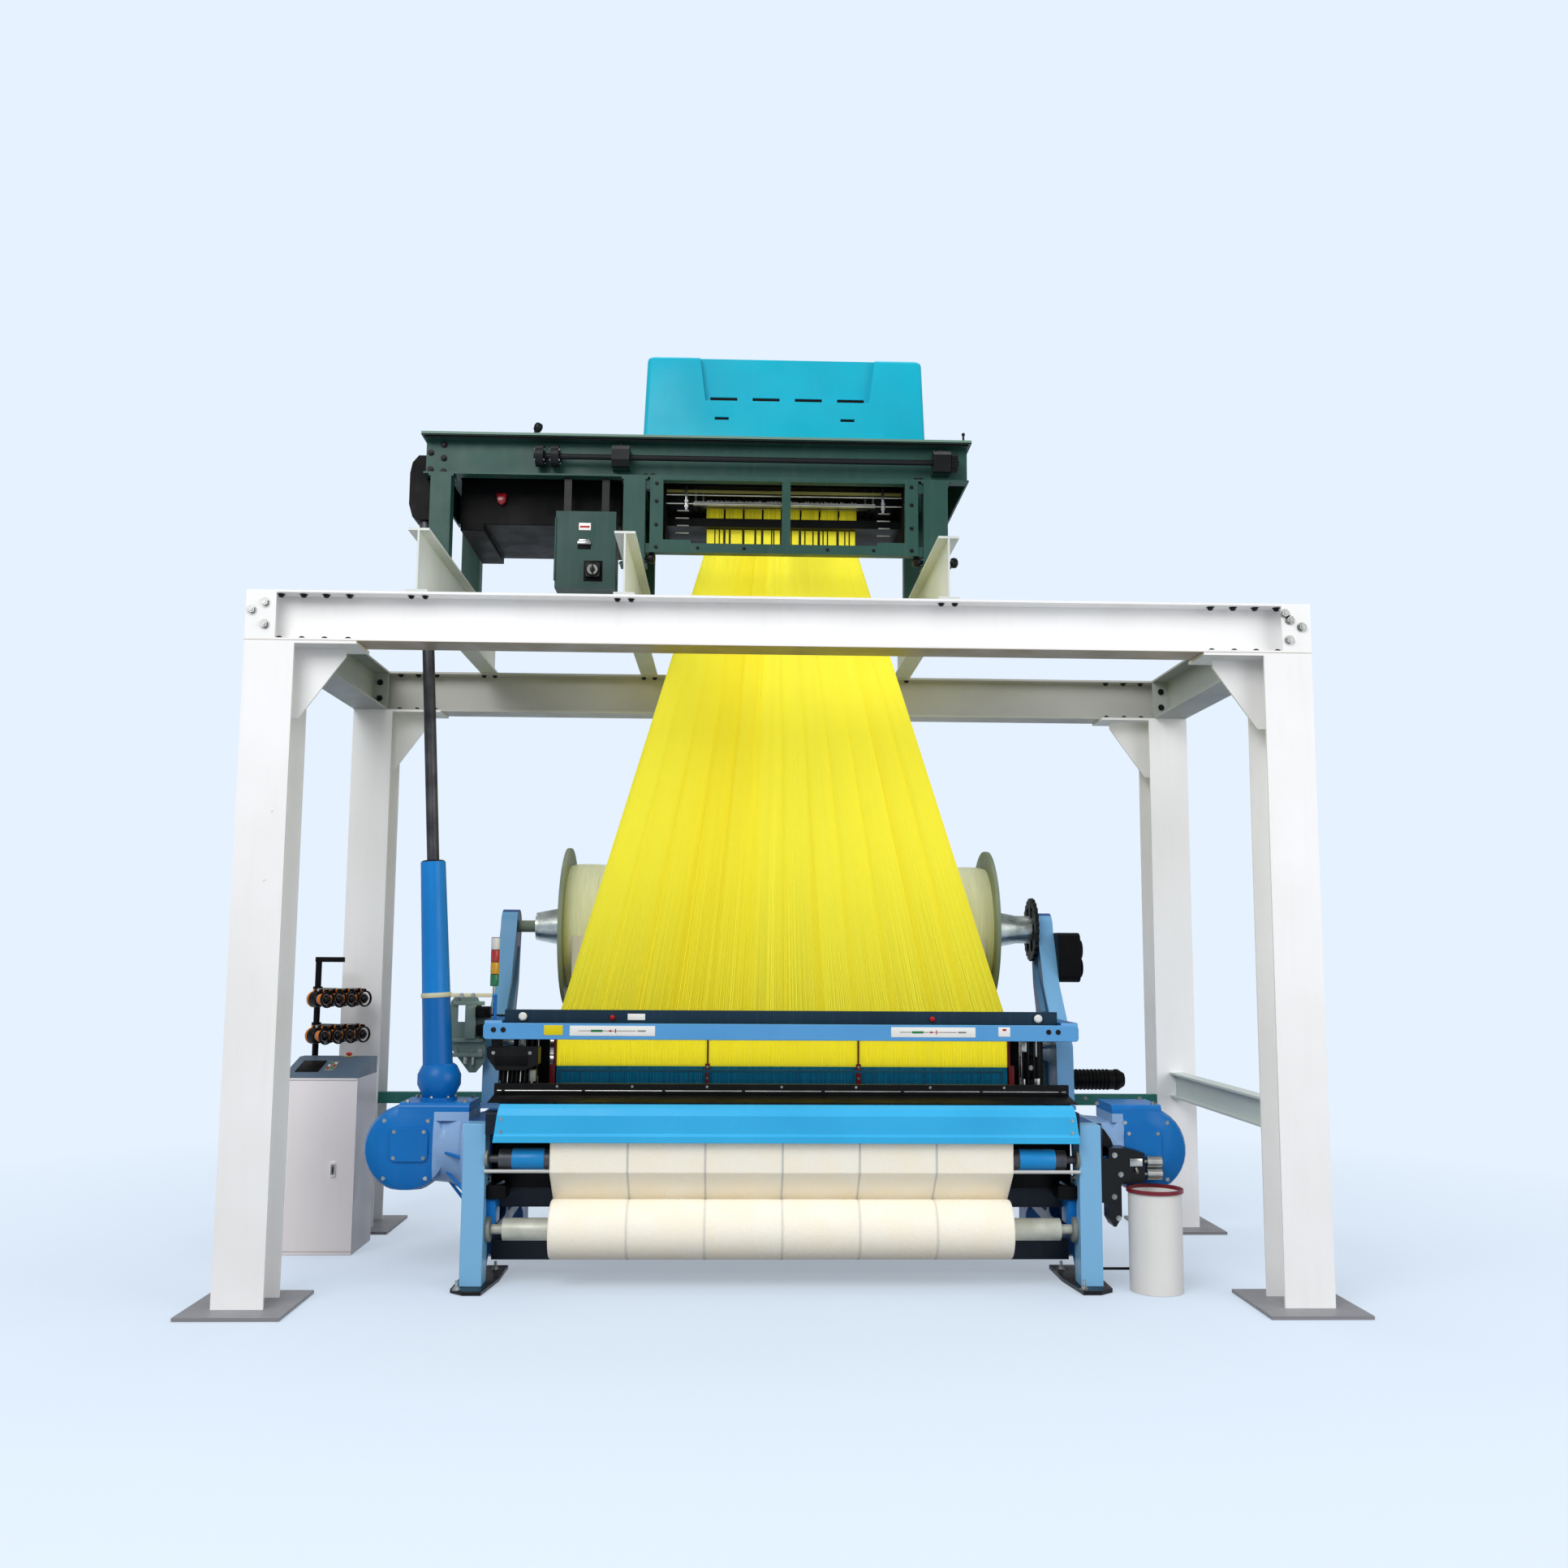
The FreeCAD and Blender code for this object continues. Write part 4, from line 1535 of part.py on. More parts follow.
def wound_yarn(y, z, flange_place, flange_plate, inner, outer):
    """Yarn wound on a barrel, slightly crowned at its ends."""
    reach = flange_place - flange_plate - SOFT_GAP
    start = point(LOOM_X - reach, y, z)
    along = point(1, 0, 0)
    wound = faceted(start, along, [(0, outer - YARN_CROWN), (3 * YARN_CROWN, outer),
                                   (2 * reach - 3 * YARN_CROWN, outer),
                                   (2 * reach, outer - YARN_CROWN)], YARN_SIDES)
    room = (inner + SOFT_GAP) / math.cos(math.pi / TUBE_SIDES)
    return wound.cut(faceted(start, along, [(-1, room), (2 * reach + 1, room)], TUBE_SIDES))


def ground_beam():
    """The lower warp beam with its yarn, between the side frames."""
    place = GROUND_FLANGE_PLACE
    inner = place - GROUND_FLANGE_PLATE
    pieces = journals(FRAME_INSIDE + JOURNAL_DEPTH, place, GROUND_Y, GROUND_Z, GROUND_JOURNAL)
    for near, far, radius in ((-place, -inner, GROUND_FLANGE_RADIUS),
                              (-inner, inner, GROUND_YARN_RADIUS),
                              (inner, place, GROUND_FLANGE_RADIUS)):
        pieces.append(faceted_rod(point(LOOM_X + near, GROUND_Y, GROUND_Z),
                                  point(LOOM_X + far, GROUND_Y, GROUND_Z), radius, YARN_SIDES))
    return joined(pieces)


def tension_roller():
    """The roller between the arms that keeps the pile warp tight."""
    half = ARM_INSIDE - 60
    body = faceted_rod(point(LOOM_X - half, TENSION_Y, TENSION_Z),
                       point(LOOM_X + half, TENSION_Y, TENSION_Z), TENSION_RADIUS, TUBE_SIDES)
    return joined([body] + journals(ARM_INSIDE + JOURNAL_DEPTH, half, TENSION_Y, TENSION_Z,
                                    TENSION_JOURNAL))


def warp_sheet():
    """The two warps behind the harness: the pile warp over its roller and the ground warp over
    the back rest."""
    x0 = LOOM_X - WARP_WIDTH / 2
    x1 = LOOM_X + WARP_WIDTH / 2
    behind = COMBER_CENTRE_Y + HEDDLE_DEPTH / 2 + WARP_THICKNESS / 2
    pile = sheet_line([(PILE_Y, PILE_Z, PILE_YARN_RADIUS + SOFT_GAP),
                       (TENSION_Y, TENSION_Z, -(TENSION_RADIUS + WARP_THICKNESS + SOFT_GAP)),
                       (behind, WARP_LINE + 20, 0)])
    ground = sheet_line([(GROUND_Y, GROUND_Z, GROUND_YARN_RADIUS + SOFT_GAP),
                         (BACK_REST_Y, BACK_REST_Z, BACK_REST_RADIUS + SOFT_GAP),
                         (behind, WARP_LINE, 0)])
    return Part.makeCompound([ribbon(pile, WARP_THICKNESS, x0, x1),
                              ribbon(ground, WARP_THICKNESS, x0, x1)])


def signal_tower():
    """The stacked lamp on its pole, on a small bracket at the front of the left arm."""
    rise = (TOWER_TOP - TOWER_BOTTOM) / TOWER_LAMPS
    stations = []
    for index in range(TOWER_LAMPS):
        low = index * rise
        stations += [(low + 1, TOWER_RADIUS - 3), (low + 7, TOWER_RADIUS),
                     (low + rise - 2, TOWER_RADIUS)]
    lamps = faceted(point(TOWER_X, TOWER_Y, TOWER_BOTTOM), point(0, 0, 1), stations, TOWER_SIDES)
    bracket_top = BRACKET_BOTTOM + BRACKET_HEIGHT
    pole = faceted_rod(point(TOWER_X, TOWER_Y, bracket_top),
                       point(TOWER_X, TOWER_Y, TOWER_BOTTOM + 2), TOWER_POLE_RADIUS, ROD_SIDES)
    foot = block(TOWER_X - 33, LOOM_X - BRACKET_INSIDE - 30, TOWER_Y - 30, TOWER_Y + 30,
                 bracket_top, bracket_top + 10)
    return joined([lamps, pole, foot])


def side_motors():
    """The reed-drive motor that lies on the right arm and the let-off unit above it."""
    x = LOOM_X + ARM_INSIDE + ARM_THICKNESS
    end = x + DRIVE_MOTOR_LENGTH
    seat = x - ARM_POCKET
    centre = point(seat, DRIVE_MOTOR_Y, DRIVE_MOTOR_Z)
    along = point(1, 0, 0)
    body = faceted(centre, along, [(0, DRIVE_MOTOR_RADIUS), (end - seat, DRIVE_MOTOR_RADIUS),
                                   (end - seat + 30, DRIVE_MOTOR_RADIUS - 18)], TUBE_SIDES)
    flange = faceted(centre, along, [(0, DRIVE_MOTOR_RADIUS + 8),
                                     (ARM_POCKET + 14, DRIVE_MOTOR_RADIUS + 8)], TUBE_SIDES)
    motor = joined([body, flange])
    unit = plate_yz(rounded_outline(LET_OFF_Y - LET_OFF_DEPTH / 2, LET_OFF_Y + LET_OFF_DEPTH / 2,
                                    LET_OFF_BOTTOM, LET_OFF_BOTTOM + LET_OFF_HEIGHT, 45, 3),
                    x, x + LET_OFF_WIDTH)
    return Part.makeCompound([motor, unit])


# ================================================================ weft side
def rapier_gearbox(side, reach, lid_inner):
    """A rapier-wheel casing: a rounded drum, a bell-mouthed neck on the side frame, a rounded lid
    and a raised front panel."""
    def x_at(distance):
        return LOOM_X + side * distance

    front = GEARBOX_Y - DRUM_DEPTH / 2
    rear = GEARBOX_Y + DRUM_DEPTH / 2
    drum_x = x_at(reach - DRUM_RADIUS)
    rim = []
    for step in range(DRUM_CHORDS + 1):
        angle = math.radians(90 * step / DRUM_CHORDS)
        rim.append((DRUM_ROUNDING * (1 - math.sin(angle)),
                    DRUM_RADIUS - DRUM_ROUNDING * (1 - math.cos(angle))))
    stations = rim[::-1] + [(DRUM_DEPTH - distance, radius) for distance, radius in rim]
    drum = faceted(point(drum_x, front, GEARBOX_Z), point(0, 1, 0), stations, DRUM_SIDES)
    drum = drum.cut(block(drum_x - DRUM_RADIUS, drum_x + DRUM_RADIUS, front - 1, rear + 1,
                          GEARBOX_Z - 2 * DRUM_RADIUS, GEARBOX_Z - DRUM_FLAT))
    flare = NECK_MOUTH_RADIUS - NECK_RADIUS
    length = reach - DRUM_RADIUS - FRAME_OUTSIDE
    neck = faceted(point(x_at(FRAME_OUTSIDE), GEARBOX_Y, GEARBOX_Z), point(side, 0, 0),
                   [(0, NECK_MOUTH_RADIUS), (NECK_LIP, NECK_MOUTH_RADIUS),
                    (NECK_LIP + 0.3 * NECK_FLARE, NECK_RADIUS + 0.3 * flare),
                    (NECK_LIP + NECK_FLARE, NECK_RADIUS), (length, NECK_RADIUS - 20)],
                   DRUM_SIDES)
    low = LID_TOP - LID_PLATE
    wide = NECK_MOUTH_RADIUS + NECK_LIP
    neck = neck.cut(block(drum_x - reach, drum_x + reach, GEARBOX_Y - wide, GEARBOX_Y + wide, low,
                          low + wide))
    lid_a = x_at(lid_inner)
    lid_b = x_at(LID_OUTER)
    lid = block(min(lid_a, lid_b), max(lid_a, lid_b), GEARBOX_Y - LID_DEPTH / 2,
                GEARBOX_Y + LID_DEPTH / 2, low, LID_TOP)
    lid = rounded(lid, LID_ROUNDING, point(1, 0, 0), lambda c: c.z > LID_TOP - 1)
    panel_x = drum_x - side * 20
    panel = plate_xz(rounded_outline(panel_x - PANEL_WIDTH / 2, panel_x + PANEL_WIDTH / 2,
                                     GEARBOX_Z - 60, GEARBOX_Z - 60 + PANEL_HEIGHT, 24, 2),
                     front - PANEL_PROUD, GEARBOX_Y)
    return joined([drum, neck, lid, panel])


def weft_presenter():
    """The weft presenter under the guard bar, with its eight yarn fingers, and the bracket plate
    that carries it from the left arm."""
    x0 = PRESENTER_LEFT
    x1 = x0 + PRESENTER_LENGTH
    y0 = PRESENTER_FRONT
    y1 = y0 + PRESENTER_DEPTH
    z0 = PRESENTER_BOTTOM
    z1 = z0 + PRESENTER_HEIGHT
    body = plate_xz([(x0, z1), (x1, z1), (x1, z0 + 30), (x1 - 70, z0), (x0 + 50, z0),
                     (x0, z0 + 70)], y0, y1)
    pieces = [body]
    pitch = (PRESENTER_LENGTH - 90) / FINGER_COUNT
    for index in range(FINGER_COUNT):
        x = x0 + 60 + index * pitch
        z = FINGER_BOTTOM + 3 * (index % 2)
        pieces.append(block(x, x + pitch / 2, y0 + 30 + 3 * index, y0 + 42 + 3 * index, z,
                            z0 + 40))
    pieces.append(block(x0 + 20, x0 + 65, y0 + 15, y1, z1, BRACKET_BOTTOM))
    seat = LOOM_X - BRACKET_INSIDE - BRACKET_WIDTH
    low = BRACKET_BOTTOM - 20
    high = BRACKET_BOTTOM + BRACKET_HEIGHT
    plate = plate_xz([(CUTTER_LEFT, CUTTER_TOP - 40), (CUTTER_LEFT + 30, CUTTER_TOP),
                      (seat - 120, CUTTER_TOP), (seat - 60, high), (seat, high), (seat, low),
                      (seat - 60, low - 30), (seat - 60, CUTTER_BOTTOM + 60),
                      (seat - 110, CUTTER_BOTTOM), (CUTTER_LEFT + 110, CUTTER_BOTTOM),
                      (CUTTER_LEFT, CUTTER_BOTTOM + 140)], CUTTER_Y, CUTTER_Y + CUTTER_PLATE)
    plate = plate.cut(block(CUTTER_LEFT + 40, CUTTER_LEFT + 110, CUTTER_Y - 1,
                            CUTTER_Y + CUTTER_PLATE + 1, CUTTER_TOP - 150, CUTTER_TOP - 60))
    return Part.makeCompound([joined(pieces), plate])


# ================================================================ waste take-off
def waste_roller(z):
    """One of the two rollers that pull off the waste selvedge."""
    x0 = WASTE_DRIVE_LEFT + WASTE_DRIVE_WIDTH
    half = WASTE_ROLLER_LENGTH / 2
    shaft = journal_bar(x0 - 30, WASTE_X, WASTE_Y, z, WASTE_ROLLER_SHAFT)
    sleeve = faceted_rod(point(WASTE_X - half, WASTE_Y, z), point(WASTE_X + half, WASTE_Y, z),
                         WASTE_ROLLER_RADIUS, TUBE_SIDES)
    return joined([shaft, sleeve])


def waste_drive():
    """The roller drive's housing, bolted to the right casing and side frame, and the bent rod
    that keeps the can in its place."""
    x0 = WASTE_DRIVE_LEFT
    x1 = x0 + WASTE_DRIVE_WIDTH
    y0 = WASTE_DRIVE_FRONT
    y1 = y0 + WASTE_DRIVE_DEPTH
    slim = CAN_X - CAN_RADIUS - CAN_RIM - 18
    outline = [(x0, WASTE_DRIVE_TOP), (x0 + WASTE_DRIVE_BROW, WASTE_DRIVE_TOP), (x1, WASTE_Z + 50),
               (x1, CAN_HEIGHT + 22), (slim, CAN_HEIGHT + 12), (slim, WASTE_DRIVE_BOTTOM + 50),
               (slim - 30, WASTE_DRIVE_BOTTOM), (x0 + 20, WASTE_DRIVE_BOTTOM), (x0, WASTE_DRIVE_HEEL)]
    body = plate_xz(outline, y0, y1)
    frame_x = LOOM_X + FRAME_OUTSIDE
    mount = block(frame_x, x0, LEG_FRONT + 30, LEG_FRONT + LEG_DEPTH - 10, WASTE_MOUNT_BOTTOM,
                  WASTE_MOUNT_TOP)
    housing = joined([body, mount])
    for z in (WASTE_Z, WASTE_LOWER_Z):
        housing = housing.cut(flat_bore(x1 - 32, x1 + 1, WASTE_Y, z, WASTE_ROLLER_SHAFT))
    knee_y = LEG_FRONT + LEG_DEPTH - WASTE_ROD_RADIUS
    knee = point(CAN_X - 76, knee_y, WASTE_ROD_HEIGHT)
    run = faceted_rod(point(frame_x, knee_y, knee.z),
                      point(knee.x + WASTE_ROD_RADIUS, knee_y, knee.z), WASTE_ROD_RADIUS,
                      ROD_SIDES)
    rise = faceted_rod(knee, point(knee.x, knee.y, WASTE_ROD_TOP), WASTE_ROD_RADIUS, ROD_SIDES)
    holder = joined([run, rise])
    return housing, holder


def waste_can():
    """The open can with its rolled rim."""
    inside = CAN_RADIUS - CAN_WALL
    centre = point(CAN_X, CAN_Y, 0)
    up = point(0, 0, 1)
    body = faceted(centre, up, [(0, CAN_RADIUS), (CAN_HEIGHT, CAN_RADIUS)], CAN_SIDES)
    rim = faceted(centre, up, [(CAN_HEIGHT - CAN_RIM_HEIGHT, CAN_RADIUS + CAN_RIM),
                               (CAN_HEIGHT, CAN_RADIUS + CAN_RIM)], CAN_SIDES)
    return joined([body, rim]).cut(faceted(centre, up, [(CAN_FLOOR, inside),
                                                        (CAN_HEIGHT + 1, inside)], CAN_SIDES))


# ================================================================ cabinet and feeders
def cabinet_place():
    return (CABINET_RIGHT - CABINET_WIDTH, CABINET_RIGHT, CABINET_FRONT,
            CABINET_FRONT + CABINET_DEPTH)


def cabinet():
    """The steel cabinet, open in front for its door, with the sloping console on top."""
    x0, x1, y0, y1 = cabinet_place()
    wall = CABINET_WALL
    inner = y0 + DOOR_PLATE + DOOR_GAP
    body = block(x0, x1, inner, y1, 0, CABINET_HEIGHT)
    body = body.cut(block(x0 + wall, x1 - wall, inner - 1, y1 - wall, CABINET_PLINTH,
                          CABINET_HEIGHT - wall))
    low = CABINET_HEIGHT + CONSOLE_FRONT_HEIGHT
    console = plate_yz([(y0, CABINET_HEIGHT), (y1, CABINET_HEIGHT), (y1, CONSOLE_TOP),
                        (y1 - 90, CONSOLE_TOP), (y0 + 30, low + 12), (y0, low)], x0, x1)
    whole = joined([body, console])
    axis = estop_axis()
    bore = faceted_rod(axis[0].sub(axis[1] * 60), axis[0].add(axis[1] * 5),
                       ESTOP_STEM + SHAFT_PLAY, ROD_SIDES)
    return whole.cut(bore)


def cabinet_door():
    """The cabinet's flat door with its turned-in latch recess."""
    x0, x1, y0, y1 = cabinet_place()
    leaf = block(x0 + HINGE_RADIUS, x1, y0, y0 + DOOR_PLATE, CABINET_PLINTH / 2,
                 CABINET_HEIGHT - 6)
    barrel = faceted_rod(point(x0 + HINGE_RADIUS, y0 - HINGE_RADIUS / 2, 120),
                         point(x0 + HINGE_RADIUS, y0 - HINGE_RADIUS / 2, CABINET_HEIGHT - 120),
                         HINGE_RADIUS, ROD_SIDES)
    latch = plate_xz(rounded_outline(x1 - 130, x1 - 100, 420, 500, 6, 1), y0 - 8, y0 + 1)
    return joined([leaf, barrel, latch])


def estop_axis():
    """The emergency stop's seat on the flat rear part of the console, and its direction."""
    y1 = CABINET_FRONT + CABINET_DEPTH
    return point(ESTOP_X, y1 - 45, CONSOLE_TOP), point(0, 0, 1)


def e_stop():
    """The red mushroom button and its stem."""
    seat, up = estop_axis()
    gap = ESTOP_TRAVEL + 1
    stem = faceted_rod(seat.sub(up * 45), seat.add(up * (gap + 1)), ESTOP_STEM, ROD_SIDES)
    head = faceted(seat.add(up * gap), up,
                   [(0, ESTOP_RADIUS), (5, ESTOP_RADIUS + 2), (13, ESTOP_RADIUS - 3),
                    (16, ESTOP_RADIUS - 9)], ESTOP_SIDES)
    return joined([stem, head])


def feeder(x, y, z):
    """A yarn feeder: body, winding drum, balloon ring and rim, turned towards the loom."""
    turn = math.radians(FEEDER_TURN)
    along = point(math.cos(turn), -math.sin(turn), 0)
    middle = point(x, y, z)
    half = FEEDER_LENGTH / 2
    slim = 0.72 * FEEDER_RADIUS
    wide = 1.1 * FEEDER_RADIUS
    body = faceted(middle.sub(along * half), along,
                   [(0, 0.9 * FEEDER_RADIUS), (half, FEEDER_RADIUS),
                    (half + 2, slim), (1.7 * half, slim), (1.72 * half, wide),
                    (2 * half, slim)], FEEDER_SIDES)
    saddle = block(x - 14, x + 14, y - 14, y + 14, z + FEEDER_RADIUS * 0.6, z + FEEDER_RADIUS + 16)
    return [body, saddle]


def feeder_stand():
    """The feeder post with its two rails of feeders and its top bar."""
    turn = math.radians(FEEDER_TURN)
    step = point(math.sin(turn), math.cos(turn), 0)
    post = faceted_rod(point(POST_X, POST_Y, 0), point(POST_X, POST_Y, POST_TOP), POST_RADIUS,
                       2 * ROD_SIDES)
    half = FEEDER_FOOT / 2
    foot = block(POST_X - POST_FOOT_LEFT, POST_X + half, POST_Y - half, POST_Y + half, 0, 12)
    top = block(POST_X - POST_RADIUS, POST_X + POST_BAR_REACH, POST_Y - POST_RADIUS,
                POST_Y + POST_RADIUS, POST_TOP, POST_TOP + POST_BAR_HEIGHT)
    pieces = [post, foot, top]
    for z in FEEDER_ROWS:
        rail_z = z + FEEDER_RADIUS + 10
        first = point(FEEDER_START_X, FEEDER_START_Y, z)
        for index in range(FEEDER_COUNT):
            place = first.add(step * (index * FEEDER_PITCH))
            pieces += feeder(place.x, place.y, z)
        first = point(first.x, first.y, rail_z)
        last = first.add(step * ((FEEDER_COUNT - 1) * FEEDER_PITCH))
        pieces.append(faceted_rod(first, last, FEEDER_RAIL_RADIUS, ROD_SIDES))
        pieces.append(faceted_rod(point(POST_X, POST_Y, rail_z), first.add(last) * 0.5,
                                  FEEDER_RAIL_RADIUS, ROD_SIDES))
    return joined(pieces)


# ================================================================ the assembly
def assembly():
    """Every node's name and shape."""
    left_frame = side_frame()
    left_arm = arm()
    left_rapier = rapier()
    waste_housing, can_holder = waste_drive()
    return {
        "column_front_left": column(-1, -1),
        "column_front_right": column(1, -1),
        "column_rear_left": column(-1, 1),
        "column_rear_right": column(1, 1),
        "gantry_front_beam": cross_beam(-1),
        "gantry_rear_beam": cross_beam(1),
        "gantry_side_beams": Part.makeCompound([side_beam(-1), side_beam(1)]),
        "joists": Part.makeCompound([joist(x) for x in JOIST_PLACES]),
        "tie_beams": Part.makeCompound([rear_tie(), side_tie()]),
        "head_frame": head_frame(),
        "head_cover": head_cover(),
        "window_frame": window_frame(),
        "hook_box": hook_box(),
        "griffe_outer": griffe(GRIFFE_OUTER_LENGTH, GRIFFE_OUTER_DEPTH),
        "griffe_inner": griffe(GRIFFE_INNER_LENGTH, GRIFFE_INNER_DEPTH),
        "head_gearbox": Part.makeCompound([head_drive(), lamp_housing()]),
        "line_shaft": line_shaft(),
        "control_box": control_box(),
        "control_box_door": control_box_door(),
        "control_knob": control_knob(),
        "harness_fan": harness_fan(),
        "heddles": heddles(),
        "comber_board": comber_board(),
        "shaft_tube": shaft_tube(),
        "drive_shaft": drive_shaft(),
        "side_frame_left": left_frame,
        "side_frame_right": Part.makeCompound(mirrored(left_frame).Solids + [can_holder]),
        "cross_girders": cross_girders(),
        "breast_cover": breast_cover(),
        "front_guard_bar": guard_bar(),
        "gearbox_left": rapier_gearbox(-1, GEARBOX_REACH_LEFT, LID_INNER_LEFT),
        "gearbox_right": joined([rapier_gearbox(1, GEARBOX_REACH_RIGHT, LID_INNER_RIGHT),
                                 waste_housing]),
        "pile_arms": Part.makeCompound([left_arm, mirrored(left_arm)]),
        "weft_presenter": weft_presenter(),
        "signal_tower": signal_tower(),
        "side_motors": side_motors(),
        "guide_rails": guide_rails(),
        "cloth_sheet": cloth_sheet(),
        "warp_sheet": warp_sheet(),
        "sley": sley(),
        "reed": reed(),
        "rapier_left": left_rapier,
        "rapier_right": mirrored(left_rapier),
        "cloth_roll": cloth_roll(),
        "cloth_core": plain_roller(CLOTH_ROLL_Y, CLOTH_ROLL_Z, CORE_RADIUS, CORE_JOURNAL,
                                   CORE_LENGTH),
        "take_up_roller": plain_roller(TAKE_UP_Y, TAKE_UP_HEIGHT, TAKE_UP_RADIUS,
                                       TAKE_UP_JOURNAL, TAKE_UP_LENGTH),
        "pile_beam": pile_beam(),
        "pile_yarn": wound_yarn(PILE_Y, PILE_Z, PILE_FLANGE_PLACE, PILE_FLANGE_PLATE,
                                PILE_CORE_RADIUS, PILE_YARN_RADIUS),
        "ground_beam": ground_beam(),
        "back_rest_roller": plain_roller(BACK_REST_Y, BACK_REST_Z, BACK_REST_RADIUS,
                                         BACK_REST_JOURNAL, 2 * FRAME_INSIDE - BACK_REST_MARGIN),
        "pile_tension_roller": tension_roller(),
        "cabinet": cabinet(),
        "cabinet_door": cabinet_door(),
        "e_stop": e_stop(),
        "feeder_stand": feeder_stand(),
        "waste_can": waste_can(),
        "waste_roller_upper": waste_roller(WASTE_Z),
        "waste_roller_lower": waste_roller(WASTE_LOWER_Z),
        "stop_button_left": stop_button(STOP_PLACES[0]),
        "stop_button_right": stop_button(STOP_PLACES[1]),
    }


def main():
    os.makedirs("parts", exist_ok=True)
    for name, shape in assembly().items():
        shape.exportStep("parts/%s.step" % name)
        print("%-22s solids %2d  valid %s" % (name, len(shape.Solids), shape.isValid()))


main()
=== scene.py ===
"""Dresses the wide terry loom: paint, metal, cords, yarn, cloth, fastenings and small fittings."""

import json
import logging
import math
import random
from dataclasses import dataclass, replace
from enum import Enum
from typing import Callable, ClassVar, Iterable, Optional, Sequence

import bmesh
import bpy
from mathutils import Matrix, Vector

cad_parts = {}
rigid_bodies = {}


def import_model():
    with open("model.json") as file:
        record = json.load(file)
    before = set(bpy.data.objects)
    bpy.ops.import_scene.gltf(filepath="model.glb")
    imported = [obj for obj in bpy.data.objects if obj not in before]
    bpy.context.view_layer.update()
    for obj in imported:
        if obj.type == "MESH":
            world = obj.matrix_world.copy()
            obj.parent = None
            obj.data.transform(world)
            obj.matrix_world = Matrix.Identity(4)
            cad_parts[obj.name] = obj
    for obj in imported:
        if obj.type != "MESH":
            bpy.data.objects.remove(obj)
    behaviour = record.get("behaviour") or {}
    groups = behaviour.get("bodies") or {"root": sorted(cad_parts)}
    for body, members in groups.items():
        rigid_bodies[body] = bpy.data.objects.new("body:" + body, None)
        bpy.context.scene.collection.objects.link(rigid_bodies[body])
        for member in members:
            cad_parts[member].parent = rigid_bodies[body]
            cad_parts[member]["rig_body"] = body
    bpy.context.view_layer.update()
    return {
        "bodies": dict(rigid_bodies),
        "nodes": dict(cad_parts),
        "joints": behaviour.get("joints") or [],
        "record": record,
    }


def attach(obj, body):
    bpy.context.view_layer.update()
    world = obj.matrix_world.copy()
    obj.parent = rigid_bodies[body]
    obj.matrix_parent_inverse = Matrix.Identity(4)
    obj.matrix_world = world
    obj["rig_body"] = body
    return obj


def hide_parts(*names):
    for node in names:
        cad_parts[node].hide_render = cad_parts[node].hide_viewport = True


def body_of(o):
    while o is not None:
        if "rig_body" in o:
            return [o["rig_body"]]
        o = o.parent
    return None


LOG = logging.getLogger("loom")
Point = tuple[float, float, float]
Colour = tuple[float, float, float, float]
Pair = tuple[float, float]
Profile = Sequence[Pair]
Piece = bpy.types.Object
Corner = bmesh.types.BMVert
Node = bpy.types.Node
Socket = bpy.types.NodeSocket
RIGHT, FRONT, UP, DOWN = (1, 0, 0), (0, -1, 0), (0, 0, 1), (0, 0, -1)
LOOM_X = 0.03  # the middle of the loom, across
ROLL_AXIS = (-0.6, 0.28)  # Y and Z of the cloth roll
TAKE_UP_AXIS = (-0.6607, 0.632)
PILE_AXIS = (0.65, 1.81)
GAP = 0.0003  # between a sheet and what it lies on


class Axis(Enum):
    """The three directions of the shared frame."""

    X = 0
    Y = 1
    Z = 2


def linear(code: str) -> Colour:
    """Turns a screen colour into the linear colour that a shader reads.

    Args:
        code: six hex digits.

    Returns:
        Red, green, blue and an alpha of one.
    """
    parts = [int(code[i:i + 2], 16) / 255 for i in (0, 2, 4)]
    steps = [p / 12.92 if p <= 0.04045 else ((p + 0.055) / 1.055) ** 2.4 for p in parts]
    return (steps[0], steps[1], steps[2], 1.0)


def unique(items: Iterable) -> list:
    """Drops repeats and keeps the order, so that each run gives the same mesh."""
    return list(dict.fromkeys(items))


def around(centre: Pair, radius: float, angle: float) -> Pair:
    """Gives the point on a circle at an angle in radians, in the circle's own plane."""
    return (centre[0] + radius * math.cos(angle), centre[1] + radius * math.sin(angle))


def put(name: str, data: bpy.types.ID) -> Piece:
    """Puts a mesh, a lamp or a camera into the scene as an object.

    Args:
        name: the object's name.
        data: what it shows.

    Returns:
        The object.
    """
    made = bpy.data.objects.new(name, data)
    bpy.context.scene.collection.objects.link(made)
    return made


